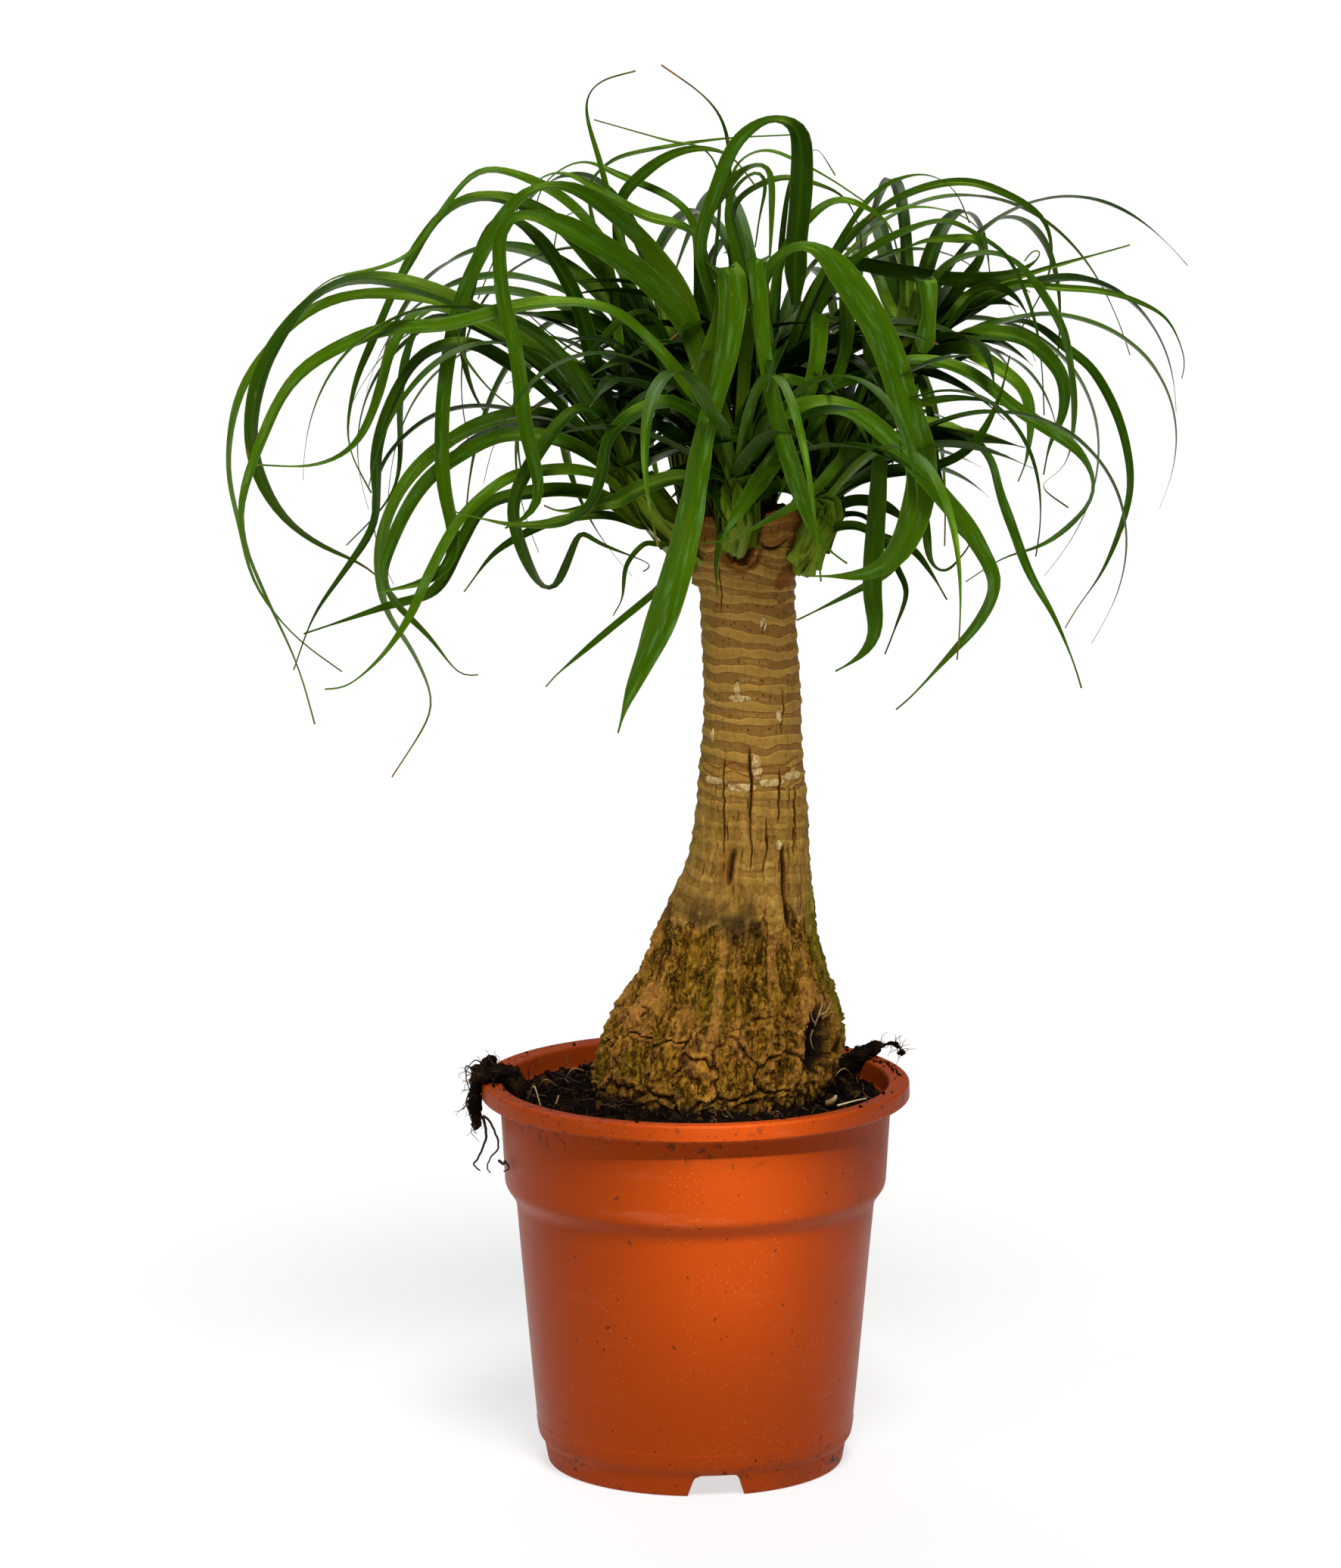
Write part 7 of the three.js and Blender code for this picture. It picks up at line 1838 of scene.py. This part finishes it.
def blade(skin, leaf, number):
    """One leaf: a clasping sheath, then a gutter that opens, flattens and runs to a fine tip."""
    draw = np.random.default_rng(1000 + number)
    station = np.linspace(0, 1, STATIONS + 1)
    share = np.linspace(0, 1, FINE + 1)
    moved = leaf["points"] - leaf["first"]
    course = leaf["fine"] + np.stack([np.interp(share, station, moved[:, k]) for k in range(3)], axis=1)
    for _ in range(3):
        course[1:-1] = 0.5 * course[1:-1] + 0.25 * (course[:-2] + course[2:])
    up = upper_faces(leaf)
    up = unit(np.stack([np.interp(share, station, up[:, k]) for k in range(3)], axis=1))
    crest = int(np.argmax(course[:, 2]))
    if leaf["strap"]:
        up = unit(up + np.array([0.1, -0.9, 0.1]) * smooth((share - crest / FINE) / 0.15)[:, None])
        if leaf["strap"][4]:
            course, up = folded_over(course, up, crest)
    course, up, below = sheathed(course, up, SHOOTS[leaf["shoot"]], draw)
    share = np.concatenate([below, share])

    rows = len(course)
    along = unit(np.gradient(course, axis=0))
    run = np.concatenate([[0], np.cumsum(np.linalg.norm(np.diff(course, axis=0), axis=1))])
    sway = noise(run / 75, number * 3.1, 0.5, 201) + 0.35 * noise(run / 28, number * 2.3, 0.9, 207)
    broad = 1.0 if leaf["strap"] else 0.0
    twist = (math.radians(lerp(30, 9, broad)) * sway * smooth(share / 0.30))[:, None]
    up = unit(up - along * np.sum(up * along, axis=1)[:, None])
    sideways = np.cross(along, up)
    cosine, sine = np.cos(twist), np.sin(twist)
    up, sideways = up * cosine + sideways * sine, sideways * cosine - up * sine

    outline = (0.75 + 0.25 * smooth(share / 0.2)) * (1 - 0.30 * np.clip(share, 0, 1))
    outline = outline * np.maximum(1 - smooth((share - 0.58) / 0.46) ** 1.15, 0.10)
    tone = draw.uniform() if leaf["tone"] is None else leaf["tone"]
    if leaf["strap"]:
        outline, tone = strap_look(leaf["strap"], share, crest / FINE)
    half = 0.5 * leaf["width"] * lerp(0.95, 1.08, broad) * outline
    half = half * (1 + lerp(0.42, 0.15, broad) * smooth((0.16 - share) / 0.22))
    half = half * (1 + 0.045 * noise(run / 17, number * 1.7, 0.1, 203))
    half = np.maximum(half * (1 - 0.55 * smooth((share - 0.93) / 0.07)), 0.42)
    wrap = np.radians(lerp(13 + 12 * draw.uniform(), 74, smooth((0.20 - share) / 0.24)))
    wrap = wrap * (1 - 0.35 * smooth((share - 0.5) / 0.5))
    crease = 0.10 + 0.14 * draw.uniform()
    thick = 0.42 * lerp(1.0, 0.6, smooth(share)) * np.minimum(1, half / 2)
    waves = noise(run / 11, number * 0.9, 0.3, 205)

    base = smooth((lerp(0.22, 0.34, broad) - share) / 0.26) * lerp(0.75, 1.0, draw.uniform())
    tip_start = 0.975 - 0.06 * draw.uniform() ** 2
    dries = draw.uniform() < 0.6 and not leaf["strap"]
    across = np.linspace(-1, 1, ACROSS)
    both = np.concatenate([across, across[::-1]])

    def spread(per_row):
        return np.repeat(per_row, 2 * ACROSS)

    skin.add(
        gutter(course, sideways, up, half, wrap, crease, thick, waves), strip_faces(rows),
        across=np.tile(both, rows),
        side=(half[:, None] * both).ravel(),
        run=spread(run + 37.0 * number),
        base=spread(base),
        heart=spread(np.clip((share + 0.12) / lerp(0.30, 0.42, broad), 0, 1)),
        tone=spread(tone + 0 * share),
        dry=spread(smooth((share - tip_start) / 0.03) * dries),
        under=np.tile(np.repeat([0.0, 1.0], ACROSS), rows),
    )


def shoot_filler(skin, shoot):
    """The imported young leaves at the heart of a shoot."""
    share = np.linspace(-0.07, 1.12, FILLER_ROWS)
    middle, radius = shoot_axis(shoot, share)
    axis = unit(np.array(shoot["to"], float) - np.array(shoot["from"], float))
    across = unit(np.cross([0, 1, 0.2], axis))
    over = np.cross(axis, across)
    angle = ring_angles(FILLER_SIDES)
    ribs = 1 + 0.10 * np.cos(angle * 4 + 1.0)
    foot = 0.10 + 0.90 * np.sqrt(smooth((share + 0.07) / 0.30))
    radius = radius * lerp(0.40, 0.70, smooth((share + 0.05) / 0.7)) * foot
    radius = radius * np.clip((1.2 - share) / 0.35, 0.05, 1)
    ring = np.cos(angle)[:, None] * across + np.sin(angle)[:, None] * over
    rings = middle[:, None] + (radius[:, None] * ribs)[..., None] * ring
    skin.add(
        rings, capped_faces(FILLER_ROWS, FILLER_SIDES),
        across=np.tile(np.sin(angle * 4), FILLER_ROWS),
        side=np.tile(4 * np.sin(angle), FILLER_ROWS),
        run=np.repeat(share * 40, FILLER_SIDES),
        heart=np.repeat(np.clip(share * 0.8, 0, 1), FILLER_SIDES),
        base=1.0, tone=0.4, dry=0.0, under=0.4,
    )


def shoot_pieces():
    """One piece for each shoot, with all its leaves."""
    leaves = all_leaves()
    for name, shoot in SHOOTS.items():
        skin = Skin()
        shoot_filler(skin, shoot)
        for number, leaf in enumerate(leaves):
            if leaf["shoot"] == name:
                blade(skin, leaf, number)
        skin.piece(f"leaves_{name}", LEAF, "leaf", [f"shoot_{name}"], sharp=62)


# ---------------------------------------------------------------- the object

pot_piece()
soil_piece()
fibre_piece()
stem_piece()
stem_rootlets()
clod_pieces()
rim_root_pieces()
crumb_piece()
shoot_pieces()

# ---------------------------------------------------------------- floor, light and camera


FLOOR_REACH = 60.0
FLOOR_GREY = 0.28
FLOOR_GLOW = 0.665
SKY_STRENGTH = 0.20
# The narrow lamp: its cone, and the place on the pot that it is turned to, in metres from the axis.
LAMP_CONE = math.radians(5.6)
LAMP_TARGET = (0.016, -0.08, 0.140)


def stage_floor():
    mesh = bpy.data.meshes.new("floor")
    corners = [(-1, -1), (1, -1), (1, 1), (-1, 1)]
    mesh.from_pydata([(x * FLOOR_REACH, y * FLOOR_REACH, 0) for x, y in corners], [], [(0, 1, 2, 3)])
    paint = Paint("floor_surface", roughness=0.9, Specular_IOR_Level=0.1)
    paint.shader.inputs["Base Color"].default_value = (FLOOR_GREY, FLOOR_GREY, FLOOR_GREY, 1)
    paint.shader.inputs["Emission Color"].default_value = (1, 1, 1, 1)
    paint.shader.inputs["Emission Strength"].default_value = FLOOR_GLOW
    mesh.materials.append(paint.material)
    floor = placed("floor", mesh)


def sun(name, side, height, strength, angle, colour=(1.0, 1.0, 1.0)):
    """Broad light from a side of the camera and a height, both in degrees."""
    data = bpy.data.lights.new(name, "SUN")
    data.energy = strength
    data.angle = math.radians(angle)
    data.color = colour
    a, e = math.radians(side), math.radians(height)
    source = Vector((math.sin(a) * math.cos(e), -math.cos(a) * math.cos(e), math.sin(e)))
    placed(name, data).rotation_euler = source.to_track_quat("Z", "Y").to_euler()


def lamp(name, side, away, height, size, power):
    """A narrow soft light near the plant, turned to the upper part of the pot; degrees, metres and watts."""
    data = bpy.data.lights.new(name, "SPOT")
    data.spot_size = LAMP_CONE
    data.spot_blend = 1.0
    data.shadow_soft_size = size
    data.energy = power
    made = placed(name, data)
    a = math.radians(side)
    made.location = Vector((AXIS[0] + away * math.sin(a), AXIS[1] - away * math.cos(a), height))
    target = Vector(AXIS + np.array(LAMP_TARGET))
    made.rotation_euler = (made.location - target).to_track_quat("Z", "Y").to_euler()


def stage_light():
    scene = bpy.context.scene
    world = bpy.data.worlds.new("studio")
    world.use_nodes = True
    sky = world.node_tree.nodes["Background"]
    sky.inputs["Color"].default_value = (1.0, 1.0, 1.0, 1)
    sky.inputs["Strength"].default_value = SKY_STRENGTH
    scene.world = world
    scene.view_settings.view_transform = "Standard"
    sun("key", side=9, height=57, strength=3.15, angle=20, colour=(1.0, 0.99, 0.95))
    lamp("near", side=12, away=0.85, height=1.00, size=0.03, power=125)
    sun("fill", side=-48, height=24, strength=0.50, angle=40)
    sun("rear", side=196, height=52, strength=0.60, angle=40)


def stage_camera():
    data = bpy.data.cameras.new("camera")
    data.sensor_width = SENSOR
    data.lens = LENS
    data.clip_start, data.clip_end = 0.1, 200
    made = placed("camera", data)
    made.location = AXIS + np.array([VIEW_SIDE, -VIEW_DISTANCE, VIEW_HEIGHT]) * MM
    made.rotation_euler = (math.pi / 2 - VIEW_TILT, 0, 0)
    bpy.context.scene.camera = made


stage_floor()
stage_light()
stage_camera()
